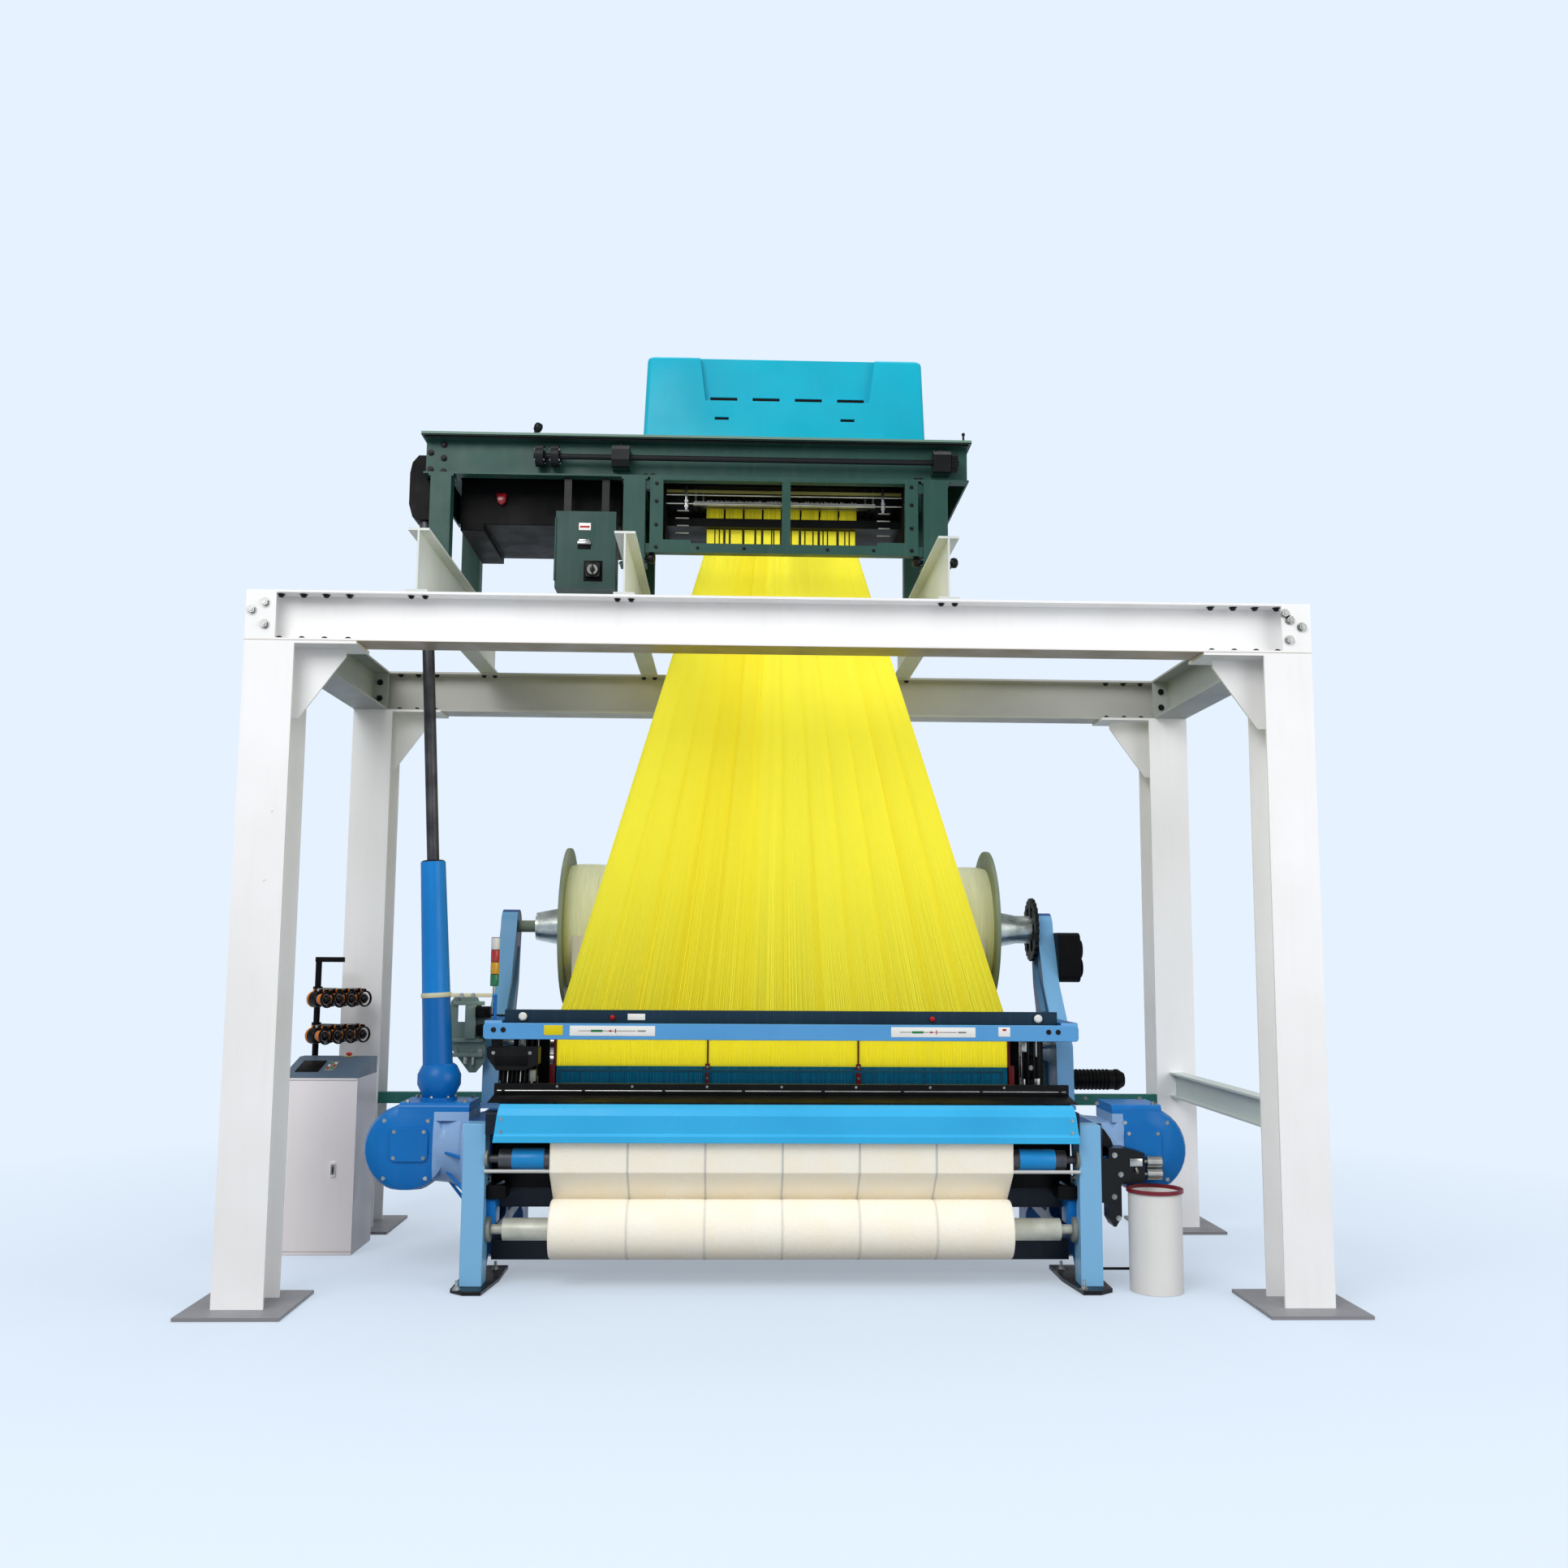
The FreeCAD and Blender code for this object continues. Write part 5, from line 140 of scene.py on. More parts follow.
# ------------------------------------------------------------------ finishes
class Graph:
    """A node tree in the making."""

    def __init__(self, tree: bpy.types.NodeTree) -> None:
        """Keeps the tree."""
        self.tree = tree

    def node(self, kind: str, feeds: Optional[dict] = None, **settings: object) -> Node:
        """Adds a node.

        Args:
            kind: the node's type without its prefix.
            feeds: a socket or a plain value for each input, by name or number.
            settings: the node's own properties.

        Returns:
            The new node.
        """
        made = self.tree.nodes.new("ShaderNode" + kind)
        for key, value in settings.items():
            setattr(made, key, value)
        for key, value in (feeds or {}).items():
            if isinstance(value, Socket):
                self.tree.links.new(value, made.inputs[key])
            else:
                made.inputs[key].default_value = value
        return made

    def place(self, stretch: Point = (1, 1, 1)) -> Socket:
        """Gives the piece's own coordinates, stretched by a factor for each axis."""
        here = self.node("TexCoord").outputs["Object"]
        return self.node("Mapping", {0: here, 3: stretch}).outputs[0]

    def noise(self, scale: float, detail: float = 2.0, where: Optional[Socket] = None) -> Socket:
        """Gives a noise from 0 to 1, by its waves a metre, its octaves and its coordinates."""
        feeds = {0: where or self.place(), "Scale": scale, "Detail": detail}
        return self.node("TexNoise", feeds).outputs[0]

    def between(self, value: Socket, low: float, high: float,
                start: float = 0.0, end: float = 1.0) -> Socket:
        """Stretches a value's range from low..high to start..end and stops it there."""
        return self.node("MapRange", {0: value, 1: low, 2: high, 3: start, 4: end}).outputs[0]

    def sum(self, operation: str, first: object, second: object) -> Socket:
        """Does one sum, such as MULTIPLY, on two sockets or numbers."""
        return self.node("Math", {0: first, 1: second}, operation=operation).outputs[0]

    def mix(self, share: object, first: object, second: object) -> Socket:
        """Mixes two colours, each a socket or a screen colour, by the share of the second."""
        pair = [linear(c) if isinstance(c, str) else c for c in (first, second)]
        return self.node("Mix", {0: share, 6: pair[0], 7: pair[1]}, data_type="RGBA").outputs[2]

    def blend(self, share: Socket, first: Node, second: Node) -> Node:
        """Mixes two shader nodes by the share of the second."""
        return self.node("MixShader", {0: share, 1: first.outputs[0], 2: second.outputs[0]})

    def put_out(self, shader: Node, end: str) -> None:
        """Leads a shader to the tree's end node, given by its name."""
        self.tree.links.new(shader.outputs[0], self.tree.nodes[end].inputs[0])


class Shader(Graph):
    """One material in the making: its node tree and its main shader."""

    def __init__(self, name: str) -> None:
        """Starts an empty material of that name."""
        self.material = bpy.data.materials.new(name)
        self.material.use_nodes = True
        super().__init__(self.material.node_tree)
        self.main = self.tree.nodes["Principled BSDF"]

    def feed(self, **values: object) -> None:
        """Sets or links inputs of the main shader.

        Args:
            values: a socket, a number or a colour for each input, with _ for a space in its name.
        """
        for name, value in values.items():
            spot = self.main.inputs[name.replace("_", " ")]
            if isinstance(value, Socket):
                self.tree.links.new(value, spot)
            else:
                spot.default_value = value

    def lit(self, colour: Socket, painted_glow: float) -> None:
        """Gives the surface a colour and a faint painted glow of that colour."""
        self.feed(Base_Color=colour, Emission_Color=colour, Emission_Strength=painted_glow)

    def tint(self) -> Socket:
        """Gives the shade that each corner of the mesh holds, from 0 to 1."""
        return self.node("Attribute", attribute_name="tint").outputs["Fac"]

    def raised(self, height: Socket, strength: float, reach: float) -> None:
        """Lets a height raise the surface, by how much of it shows and its reach in metres."""
        feeds = {"Height": height, "Strength": strength, "Distance": reach}
        self.feed(Normal=self.node("Bump", feeds).outputs[0])


@dataclass(frozen=True)
class Band:
    """A stretch along one axis, or along several, where a finish has another tone."""

    axis: Axis
    low: float
    high: float
    tone: str
    also: tuple[tuple[Axis, float, float], ...] = ()

    def share(self, shader: Shader) -> Socket:
        """Gives 1 inside the stretch and 0 outside it.

        Args:
            shader: the material in the making.

        Returns:
            A value socket.
        """
        here = shader.node("SeparateXYZ", {0: shader.place()})
        inside = None
        for axis, low, high in ((self.axis, self.low, self.high), *self.also):
            spot = here.outputs[axis.value]
            within = shader.sum("MULTIPLY", shader.sum("GREATER_THAN", spot, low),
                                shader.sum("LESS_THAN", spot, high))
            inside = within if inside is None else shader.sum("MULTIPLY", inside, within)
        return inside


@dataclass(frozen=True)
class Finish:
    """A surface finish, with its two tones, that is made once and shared."""

    name: str
    tone: str
    other: str
    made: ClassVar[dict[str, bpy.types.Material]] = {}

    def shade(self, shader: Shader) -> None:
        """Fills the shader with this finish's nodes."""
        raise NotImplementedError

    def material(self) -> bpy.types.Material:
        """Gives the finish's material, and makes it the first time."""
        if self.name not in Finish.made:
            shader = Shader(self.name)
            self.shade(shader)
            Finish.made[self.name] = shader.material
        return Finish.made[self.name]


@dataclass(frozen=True)
class Paint(Finish):
    """Sprayed paint, a little uneven, with orange peel, dust on its upper sides and chips."""

    rough: float = 0.34
    peel: float = 0.1
    dust: float = 0.1
    chips: float = 0.004
    primer: str = "8f8d88"
    bands: tuple[Band, ...] = ()
    front: str = ""
    gloss: float = 0.28

    def shade(self, shader: Shader) -> None:
        """Fills the shader with the paint's nodes.

        Args:
            shader: the material in the making.
        """
        patch = shader.between(shader.noise(1.7, 4), 0.32, 0.68)
        colour = shader.mix(patch, self.tone, self.other)
        facing = shader.node("SeparateXYZ", {0: shader.node("NewGeometry").outputs["Normal"]})
        if self.front:
            ahead = shader.sum("LESS_THAN", facing.outputs[1], -0.55)
            colour = shader.mix(ahead, colour, self.front)
        up = shader.between(facing.outputs[2], 0.35, 1.0, 0.0, self.dust * 2)
        film = shader.sum("MULTIPLY", up, shader.between(shader.noise(11, 5), 0.3, 0.7))
        streak = shader.noise(1, 4, shader.place((26, 26, 2.2)))
        grime = shader.between(streak, 0.52, 0.8, 0.0, self.dust)
        colour = shader.mix(shader.sum("MAXIMUM", film, grime), colour, "a8a297")
        chip = shader.between(shader.noise(37, 3), 0.8 - self.chips * 10, 0.81 - self.chips * 10)
        colour = shader.mix(chip, colour, self.primer)
        for band in self.bands:
            colour = shader.mix(band.share(shader), colour, band.tone)
        wear = shader.between(shader.noise(6, 3), 0.25, 0.75, self.rough - 0.06, self.rough + 0.14)
        shader.feed(Base_Color=colour, Specular_IOR_Level=self.gloss,
                    Roughness=shader.sum("ADD", wear, shader.sum("MULTIPLY", film, 0.5)))
        fine = shader.sum("SUBTRACT", shader.noise(420, 2), chip)
        shader.raised(fine, self.peel, 0.0006)


@dataclass(frozen=True)
class Metal(Finish):
    """Bare metal with a grain along one axis, dull patches and fine scratches."""

    rough: float = 0.28
    grain: Point = (3, 300, 300)
    metallic: float = 1.0

    def shade(self, shader: Shader) -> None:
        """Fills the shader with the metal's nodes.

        Args:
            shader: the material in the making.
        """
        grain = shader.noise(1, 5, shader.place(self.grain))
        patch = shader.between(shader.noise(8, 4), 0.3, 0.7)
        colour = shader.mix(patch, self.tone, self.other)
        colour = shader.mix(shader.between(grain, 0.55, 0.75, 0.0, 0.35), colour, self.other)
        shader.feed(Base_Color=colour, Metallic=self.metallic, Roughness=shader.between(
            grain, 0.2, 0.8, self.rough - 0.08, self.rough + 0.18))
        shader.raised(grain, 0.18, 0.0004)


@dataclass(frozen=True)
class Cord(Finish):
    """Cord or wire in many strands: each has its own tint, a fine twist along its length with
    painted shade in its grooves, and a faint painted glow.
    """

    hollow_shade: str
    rough: float = 0.62
    painted_glow: float = 0.0

    def shade(self, shader: Shader) -> None:
        """Fills the shader with the cord's nodes.

        Args:
            shader: the material in the making.
        """
        colour = shader.mix(shader.tint(), self.tone, self.other)
        twist = shader.noise(1, 2, shader.place((700, 700, 60)))
        # painted shade: the twist's grooves are darkened towards the hollow-shade tone
        colour = shader.mix(shader.between(twist, 0.55, 0.8, 0.0, 0.4), colour, self.hollow_shade)
        shader.lit(colour, self.painted_glow)
        shader.feed(Specular_IOR_Level=0.2, Roughness=shader.between(
            twist, 0.2, 0.8, self.rough - 0.08, self.rough + 0.16))
        shader.raised(twist, 0.35, 0.0004)


@dataclass(frozen=True)
class Massed(Finish):
    """A mass of parallel cords or yarns seen as one surface, striped across its UV map, with
    painted shade in its gaps and grooves and a faint painted glow.
    """

    hollow_shade: str
    lines: float = 900.0
    along: float = 3.0
    rough: float = 0.72
    # depth: how dark the painted shade in the gaps between threads is
    depth: float = 0.5
    painted_glow: float = 0.0

    def shade(self, shader: Shader) -> None:
        """Fills the shader with the nodes of the massed yarn.

        Args:
            shader: the material in the making.
        """
        flat = shader.node("UVMap", uv_map="run").outputs[0]
        fine = shader.node("Mapping", {0: flat, 3: (self.lines, self.along, 1)}).outputs[0]
        broad = shader.node("Mapping", {0: flat, 3: (self.lines / 14, self.along / 2, 1)})
        thread = shader.noise(1, 2, fine)
        sweep = shader.noise(1, 3, broad.outputs[0])
        colour = shader.mix(shader.between(sweep, 0.35, 0.68), self.tone, self.other)
        # painted shade: the gaps between threads are darkened
        gap = shader.between(thread, 0.28, 0.46, self.depth, 0.0)
        colour = shader.mix(gap, colour, self.hollow_shade)
        # painted shade where the mesh's tint marks grooves, and a painted glow
        shader.lit(shader.mix(shader.tint(), colour, self.hollow_shade), self.painted_glow)
        shader.feed(Specular_IOR_Level=0.2, Roughness=shader.between(
            thread, 0.2, 0.8, self.rough - 0.1, self.rough + 0.15))
        shader.raised(thread, 0.55, 0.0015)


@dataclass(frozen=True)
class Wound(Finish):
    """Yarn or cloth wound on a beam: close rings round the X axis with small unevenness, and
    painted shade between the rings.
    """

    hollow_shade: str
    rings: float = 700.0
    bands: tuple[Band, ...] = ()

    def shade(self, shader: Shader) -> None:
        """Fills the shader with the nodes of the wound yarn.

        Args:
            shader: the material in the making.
        """
        ring = shader.noise(1, 2, shader.place((self.rings, 6, 6)))
        wide = shader.noise(1, 3, shader.place((22, 2, 2)))
        colour = shader.mix(shader.between(wide, 0.3, 0.7), self.tone, self.other)
        # painted shade: the grooves between rings are darkened
        colour = shader.mix(shader.between(ring, 0.25, 0.5, 0.55, 0.0), colour, self.hollow_shade)
        for band in self.bands:
            colour = shader.mix(band.share(shader), colour, band.tone)
        shader.feed(Base_Color=colour, Sheen_Weight=0.25,
                    Roughness=shader.between(wide, 0.2, 0.8, 0.75, 0.95))
        shader.raised(ring, 0.6, 0.0015)


@dataclass(frozen=True)
class Towel(Finish):
    """Cream terry cloth: loops in close rows with painted shade in the dips between them, soft
    patches, a bare woven line at each seam, and a faint painted glow.
    """

    hollow_shade: str
    seam: str
    painted_glow: float = 0.1

    def shade(self, shader: Shader) -> None:
        """Fills the shader with the cloth's nodes.

        Args:
            shader: the material in the making.
        """
        loops = shader.node("TexVoronoi", {0: shader.place(), "Scale": 300.0},
                            feature="F1").outputs[0]
        rows = shader.noise(1, 2, shader.place((240, 60, 60)))
        patch = shader.noise(7, 4)
        colour = shader.mix(shader.between(patch, 0.3, 0.7), self.tone, self.other)
        # painted shade: the dips between loops are darkened
        dip = shader.between(loops, 0.25, 0.85, 0.0, 0.45)
        colour = shader.mix(dip, colour, self.hollow_shade)
        shader.lit(shader.mix(shader.tint(), colour, self.seam), self.painted_glow)
        shader.feed(Roughness=shader.between(rows, 0.2, 0.8, 0.82, 0.98), Sheen_Weight=0.35)
        shader.raised(shader.sum("SUBTRACT", rows, loops), 0.7, 0.0022)


@dataclass(frozen=True)
class Lens(Finish):
    """A coloured lamp lens with fine vertical flutes."""

    def shade(self, shader: Shader) -> None:
        """Fills the shader with the lens's nodes.

        Args:
            shader: the material in the making.
        """
        flute = shader.noise(1, 1, shader.place((420, 420, 4)))
        shader.feed(Base_Color=shader.mix(shader.between(flute, 0.3, 0.7), self.tone, self.other),
                    Roughness=shader.between(shader.noise(60, 2), 0.3, 0.7, 0.14, 0.3),
                    Coat_Weight=0.4)
        shader.raised(flute, 0.3, 0.0006)


BRIGHT = Metal("bright_steel", "d6d6d3", "a4a4a0", 0.24)
CHROME = Metal("hub_chrome", "eef4f0", "98a29c", 0.28, (3, 120, 120))
GREY_SHAFT = Metal("shaft_grey", "5c5c60", "3a3a3e", 0.42, (300, 300, 3), 0.75)
BLACKED = Metal("blacked_steel", "141518", "08090a", 0.42, (40, 40, 40), 0.5)
ZINC = Metal("zinc_bolt", "c2c3c0", "8f908c", 0.3, (90, 90, 90))
CASTING = Metal("grey_casting", "9b9d96", "74776f", 0.5, (60, 60, 60), 0.35)
FLANGE = Paint("flange_grey_green", "8f9b88", "707c68", 0.42, 0.2, 0.1)
BLACK = Paint("black_satin", "050506", "020203", 0.45, 0.16, 0.006, 0.001, "1c1d20", gloss=0.12)
BLACK_GLOSS = Paint("black_plastic", "0a0a0c", "050506", 0.3, 0.05, 0.01, 0.0, gloss=0.25)
WHITE_PLASTIC = Paint("white_plastic", "f4f3ef", "e8e6e0", 0.3, 0.05, 0.06, 0.0)
LABEL = Paint("bare_plate", "fbfaf6", "f3f2ed", 0.28, 0.03, 0.03, 0.0)
LABEL_YELLOW = Paint("bare_yellow_plate", "f2df12", "e4d00c", 0.3, 0.03, 0.03, 0.0)
RED = Paint("red_plastic", "c9141c", "a50e16", 0.28, 0.04, 0.03, 0.0)
MAROON = Paint("dark_red_block", "7a0d18", "5c0812", 0.4, 0.08, 0.03, 0.001)
ORANGE = Paint("orange_plastic", "f08a18", "dc740c", 0.3, 0.04, 0.02, 0.0)
RING_PINK = Paint("feeder_ring", "b99c9a", "9c807e", 0.35, 0.05, 0.03, 0.0)
GREEN_MARK = Paint("green_mark", "1f8a4c", "18743f", 0.35, 0.03, 0.03, 0.0)
OLIVE = Paint("olive_rail", "a3a05c", "85824a", 0.4, 0.1, 0.05)
DEEP_BLUE = Paint("casing_blue", "0478c8", "0268b4", 0.26, 0.2, 0.03, 0.002, "6d7c92")
COVER_TEAL = Paint("cover_teal", "0db6cf", "0aa6c0", 0.3, 0.1, 0.02, 0.001, "5fb8c2", gloss=0.2)
# The yellow finishes, the teal wire and the cloth end with a painted glow, a faint light of their
# own.
YELLOW = Cord("harness_cord", "fffa52", "fff238", "ead81c", 0.62, 0.19)
YELLOW_MASS = Massed("harness_mass", "fffb58", "fff540", "d0c01c", 900, 2.5, 0.72, 0.3, 0.18)
YELLOW_FINE = Massed("heddle_cords", "fff620", "fff010", "d8c600", 1300, 2.0, 0.7, 0.35, 0.36)
# painted shade: a darker copy of the yellow cord, for the cords inside the head
YELLOW_NECK_SHADED = Cord("neck_cord_painted_shade", "efe628", "c8be2c", "98901c", 0.62, 0.08)
TEAL_MASS = Massed("heddle_wires", "007aa6", "006a92", "003a52", 900, 2.0, 0.45, 0.7)
TEAL = Cord("heddle_wire", "0088b4", "006488", "003c56", 0.45, 0.03)
CREAM_YARN = Wound("pile_yarn", "f4f6dc", "e2e6be", "9ca07a")
WARP_MASS = Massed("warp_yarn", "efe9d5", "e2dbc3", "a39d86", 1400, 1.5, 0.8, 0.45)
TOWEL = Towel("terry_cloth", "fffcf0", "fff6e2", "f0e4ca", "aeb3b4", 0.14)
SLOT_FINISHES: dict[str, Finish] = {finish.name: finish for finish in (
    COVER_TEAL, BRIGHT, WARP_MASS, RED,
    Paint("gantry_white", "ffffff", "f8f7f5", 0.36, 0.12, 0.05, 0.002, "b9b4ac",
          (Band(Axis.Z, -1.0, 0.0165, "8e8e92"),
           # painted shade: a brown-grey band on the front beam's underside
           Band(Axis.Z, 3.1545, 3.1575, "a08f74"))),
    Paint("joist_paint", "e6e9e4", "d6dcd4", 0.38, 0.12, 0.06, 0.002, "a9aca4"),
    Paint("tie_green", "2f7a70", "286a62", 0.36, 0.1, 0.05, 0.003, "8f8d88",
          (Band(Axis.X, 2.41, 2.6, "cfd8d4"),)),
    Paint("head_green", "2a5249", "224840", 0.36, 0.16, 0.05, 0.003, "6b7570",
          (Band(Axis.Z, 4.4255, 4.446, "6f8f80"),
           Band(Axis.Z, 4.25, 4.385, "08090b", ((Axis.Y, -0.575, -0.5005),)))),
    Paint("box_green", "274d46", "1f423c", 0.36, 0.14, 0.04, 0.002, "6b7a76",
          (Band(Axis.Z, 4.0262, 4.4, "08090b"),)),
    Paint("navy_bar", "14344a", "0e2a3d", 0.32, 0.06, 0.03, 0.001, "55606b"),
    Paint("tube_blue", "0a86d8", "0878c8", 0.3, 0.16, 0.03, 0.002, "6d7c92",
          (Band(Axis.Z, 0.85, 1.43, "0568b4"),)),
    Paint("loom_blue", "0c5ea6", "094f90", 0.3, 0.2, 0.04, 0.003, "6d7c92",
          (Band(Axis.Y, -0.8, -0.559, "82bde6"), Band(Axis.Z, -1.0, 0.0205, "08080a"))),
    Paint("guard_blue", "60a8e2", "559dd8", 0.3, 0.08, 0.03, 0.001),
    Metal("sley_metal", "8d9195", "5f6468", 0.38, (4, 200, 200), 0.8),
    Paint("cabinet_white", "fff9f8", "faf1f0", 0.36, 0.14, 0.03, 0.001, "b5adad",
          (Band(Axis.Z, 0.9535, 1.1, "536679"),)),
    Paint("can_white", "f6f4f1", "ecebe7", 0.3, 0.06, 0.03, 0.002, "9a9894",
          (Band(Axis.Z, 0.4815, 0.52, "7d2430"),)))}
SLOT_FINISHES.update({
    "black_metal": BLACK, "dark_steel": GREY_SHAFT, "knob_black": BLACK_GLOSS,
    "yellow_cord": YELLOW_MASS, "heddle_teal": TEAL_MASS,
    "cover_blue": Paint("breast_blue", "3fbdf4", "37b3ea", 0.28, 0.08, 0.02, 0.001, gloss=0.2),
    "deep_blue": DEEP_BLUE, "lamp_stack": BLACK_GLOSS, "cloth": TOWEL,
    "feeder_black": BLACK_GLOSS})


# ------------------------------------------------------------------ the maker's bench
class Bench:
    """Collects the shapes of one piece and turns them into an object in its place."""

    def __init__(self) -> None:
        """Starts with an empty mesh and no finish."""
        self.mesh = bmesh.new()
        self.tints = self.mesh.verts.layers.float.new("tint")
        self.finishes: list[Finish] = []
        self.current = 0

    def use(self, finish: Finish) -> "Bench":
        """Gives the next shapes this finish."""
        if finish not in self.finishes:
            self.finishes.append(finish)
        self.current = self.finishes.index(finish)
        return self

    def claim(self, verts: Sequence[Corner], tint: float = 0.0) -> None:
        """Gives the faces on these corners the current finish and tint.

        Args:
            verts: the corners of a new shape.
            tint: the value that the finish reads as its own shade.
        """
        for vert in verts:
            vert[self.tints] = tint
            for face in vert.link_faces:
                face.material_index = self.current

    def unroll(self, rule: Callable[[Vector], Pair]) -> None:
        """Lays the faces out on a UV map.

        Args:
            rule: gives a corner's place on the map from its place in space.
        """
        run = self.mesh.loops.layers.uv.new("run")
        for face in self.mesh.faces:
            for loop in face.loops:
                loop[run].uv = rule(loop.vert.co)

    def soften(self, made: list[Corner], edge: float) -> None:
        """Rounds all edges of a new shape and claims its faces.

        Args:
            made: the corners of the shape.
            edge: the rounding, or zero for none.
        """
        if edge > 0:
            edges = unique(e for v in made for e in v.link_edges)
            out = bmesh.ops.bevel(self.mesh, geom=edges, offset=edge, offset_type="OFFSET",
                                  segments=2, profile=0.5, affect="EDGES", material=-1)
            made = unique([v for f in out["faces"] for v in f.verts] + out["verts"])
        self.claim([v for v in made if v.is_valid])

    def block(self, first: Point, second: Point, edge: float = 0.0) -> None:
        """Adds a block with rounded edges.

        Args:
            first: one corner.
            second: the corner opposite to it.
            edge: the rounding of its edges.
        """
        size = [abs(b - a) for a, b in zip(first, second)]
        middle = [(a + b) / 2 for a, b in zip(first, second)]
        where = Matrix.Translation(middle) @ Matrix.Diagonal((*size, 1))
        made = bmesh.ops.create_cube(self.mesh, size=1, matrix=where)["verts"]
        self.soften(made, edge)

    def blocks(self, x: float, rows: Sequence[tuple[Finish, Point, Point, float]]) -> None:
        """Adds blocks moved along X, each row with a finish, two corners and a rounding."""
        for finish, first, second, edge in rows:
            self.use(finish).block((first[0] + x, *first[1:]), (second[0] + x, *second[1:]), edge)

    def plate(self, face: float, rise: float, across: Pair, up: Pair, edge: float = 0.0) -> None:
        """Adds an upright plate that faces the weaver, with its back at a place along Y."""
        self.block((across[0], face - rise, up[0]), (across[1], face, up[1]), edge)

    def turned(self, start: Point, way: Point, profile: Profile, segments: int = 24) -> None:
        """Adds a turned shape.

        Args:
            start: where its axis starts.
            way: the direction of its axis.
            profile: distances along the axis, each with a radius.
            segments: the steps round the axis.
        """
        turn = Vector(UP).rotation_difference(Vector(way)).to_matrix().to_4x4()
        line = [self.mesh.verts.new((radius, 0, distance)) for distance, radius in profile]
        edges = [self.mesh.edges.new(pair) for pair in zip(line, line[1:])]
        before = set(self.mesh.verts) - set(line)
        bmesh.ops.spin(self.mesh, geom=line + edges, cent=(0, 0, 0), axis=UP,
                       angle=2 * math.pi, steps=segments, use_merge=True)
        made = [v for v in self.mesh.verts if v not in before]
        bmesh.ops.remove_doubles(self.mesh, verts=made, dist=1e-6)
        made = [v for v in self.mesh.verts if v not in before]
        faces = unique(f for v in made for f in v.link_faces)
        bmesh.ops.recalc_face_normals(self.mesh, faces=faces)
        bmesh.ops.transform(self.mesh, matrix=Matrix.Translation(start) @ turn, verts=made)
        self.claim(made)

    def rod(self, start: Point, end: Point, radius: float, sides: int = 12,
            tip: Optional[float] = None, tint: float = 0.0) -> None:
        """Adds a round or many-sided rod.

        Args:
            start: the middle of one end.
            end: the middle of the other end.
            radius: the radius at the start.
            sides: the number of its sides.
            tip: the radius at the end, if it is another.
            tint: the rod's own shade.
        """
        first, last = Vector(start), Vector(end)
        run = last - first
        turn = Vector(UP).rotation_difference(run).to_matrix().to_4x4()
        where = Matrix.Translation((first + last) / 2) @ turn
        made = bmesh.ops.create_cone(self.mesh, cap_ends=True, cap_tris=False, segments=sides,
                                     radius1=radius, radius2=radius if tip is None else tip,
                                     depth=run.length, matrix=where)["verts"]
        self.claim(made, tint)

    def bolt(self, seat: Point, out: Point, size: float = 0.011) -> None:
        """Adds a hexagon bolt head on its washer.

        Args:
            seat: the middle of the washer's seat.
            out: the direction that the head faces.
            size: the head's radius across its corners.
        """
        base, way = Vector(seat), Vector(out).normalized()
        self.rod(base - way * 0.001, base + way * 0.002, size * 1.35, 14)
        self.rod(base + way * 0.0015, base + way * (0.002 + size * 0.75), size, 6, size * 0.94)
        self.rod(base + way * 0.002, base + way * (0.002 + size * 0.95), size * 0.5, 10)

    def ball(self, centre: Point, radius: float) -> None:
        """Adds a ball, given by its middle and its radius."""
        made = bmesh.ops.create_uvsphere(self.mesh, u_segments=20, v_segments=12, radius=radius,
                                         matrix=Matrix.Translation(centre))["verts"]
        self.claim(made)

    def slab(self, outline: Sequence[Point], push: Point, edge: float = 0.0) -> None:
        """Adds a flat outline with a thickness.

        Args:
            outline: its corners in order.
            push: the thickness as a vector.
            edge: the rounding of its edges.
        """
        face = self.mesh.faces.new([self.mesh.verts.new(corner) for corner in outline])
        out = bmesh.ops.extrude_face_region(self.mesh, geom=[face])["geom"]
        new = [g for g in out if isinstance(g, Corner)]
        bmesh.ops.translate(self.mesh, vec=push, verts=new)
        made = list(face.verts) + new
        faces = unique(f for v in made for f in v.link_faces)
        bmesh.ops.recalc_face_normals(self.mesh, faces=faces)
        self.soften(made, edge)

    def ring(self, centre: Point, out: Point, radius: float, wire: float) -> None:
        """Adds a ring of round wire, given by its middle, its axis and both radii."""
        profile = [(wire * math.sin(a * math.pi / 4), radius + wire * math.cos(a * math.pi / 4))
                   for a in range(9)]
        self.turned(centre, out, profile, 28)

    def finish(self, name: str, body: str, slot: str, angle: float = 40.0,
               edge: float = 0.0) -> Piece:
        """Turns the shapes into an object that rides on a body.

        Args:
            name: the piece's name.
            body: the body that it rides on.
            slot: the record's material slot; not used.
            angle: faces that meet at less than this are shaded smooth.
            edge: the rounding that a bevel gives its sharp edges.

        Returns:
            The piece.
        """
        for face in self.mesh.faces:
            face.smooth = True
        for seam in self.mesh.edges:
            if len(seam.link_faces) == 2 and seam.calc_face_angle(0.0) > math.radians(angle):
                seam.smooth = False
        data = bpy.data.meshes.new(name)
        self.mesh.to_mesh(data)
        self.mesh.free()
        for finish in self.finishes:
            data.materials.append(finish.material())
        piece = put(name, data)
        if edge > 0:
            bevel = piece.modifiers.new("edge", "BEVEL")
            bevel.width = edge
            bevel.segments = 2
            bevel.limit_method = "ANGLE"
            bevel.angle_limit = math.radians(angle)
        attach(piece, body)
        return piece


def slot_of(source: Piece) -> str:
    """Gives the record's material slot of a node."""
    return source.material_slots[0].name.split(".")[0]


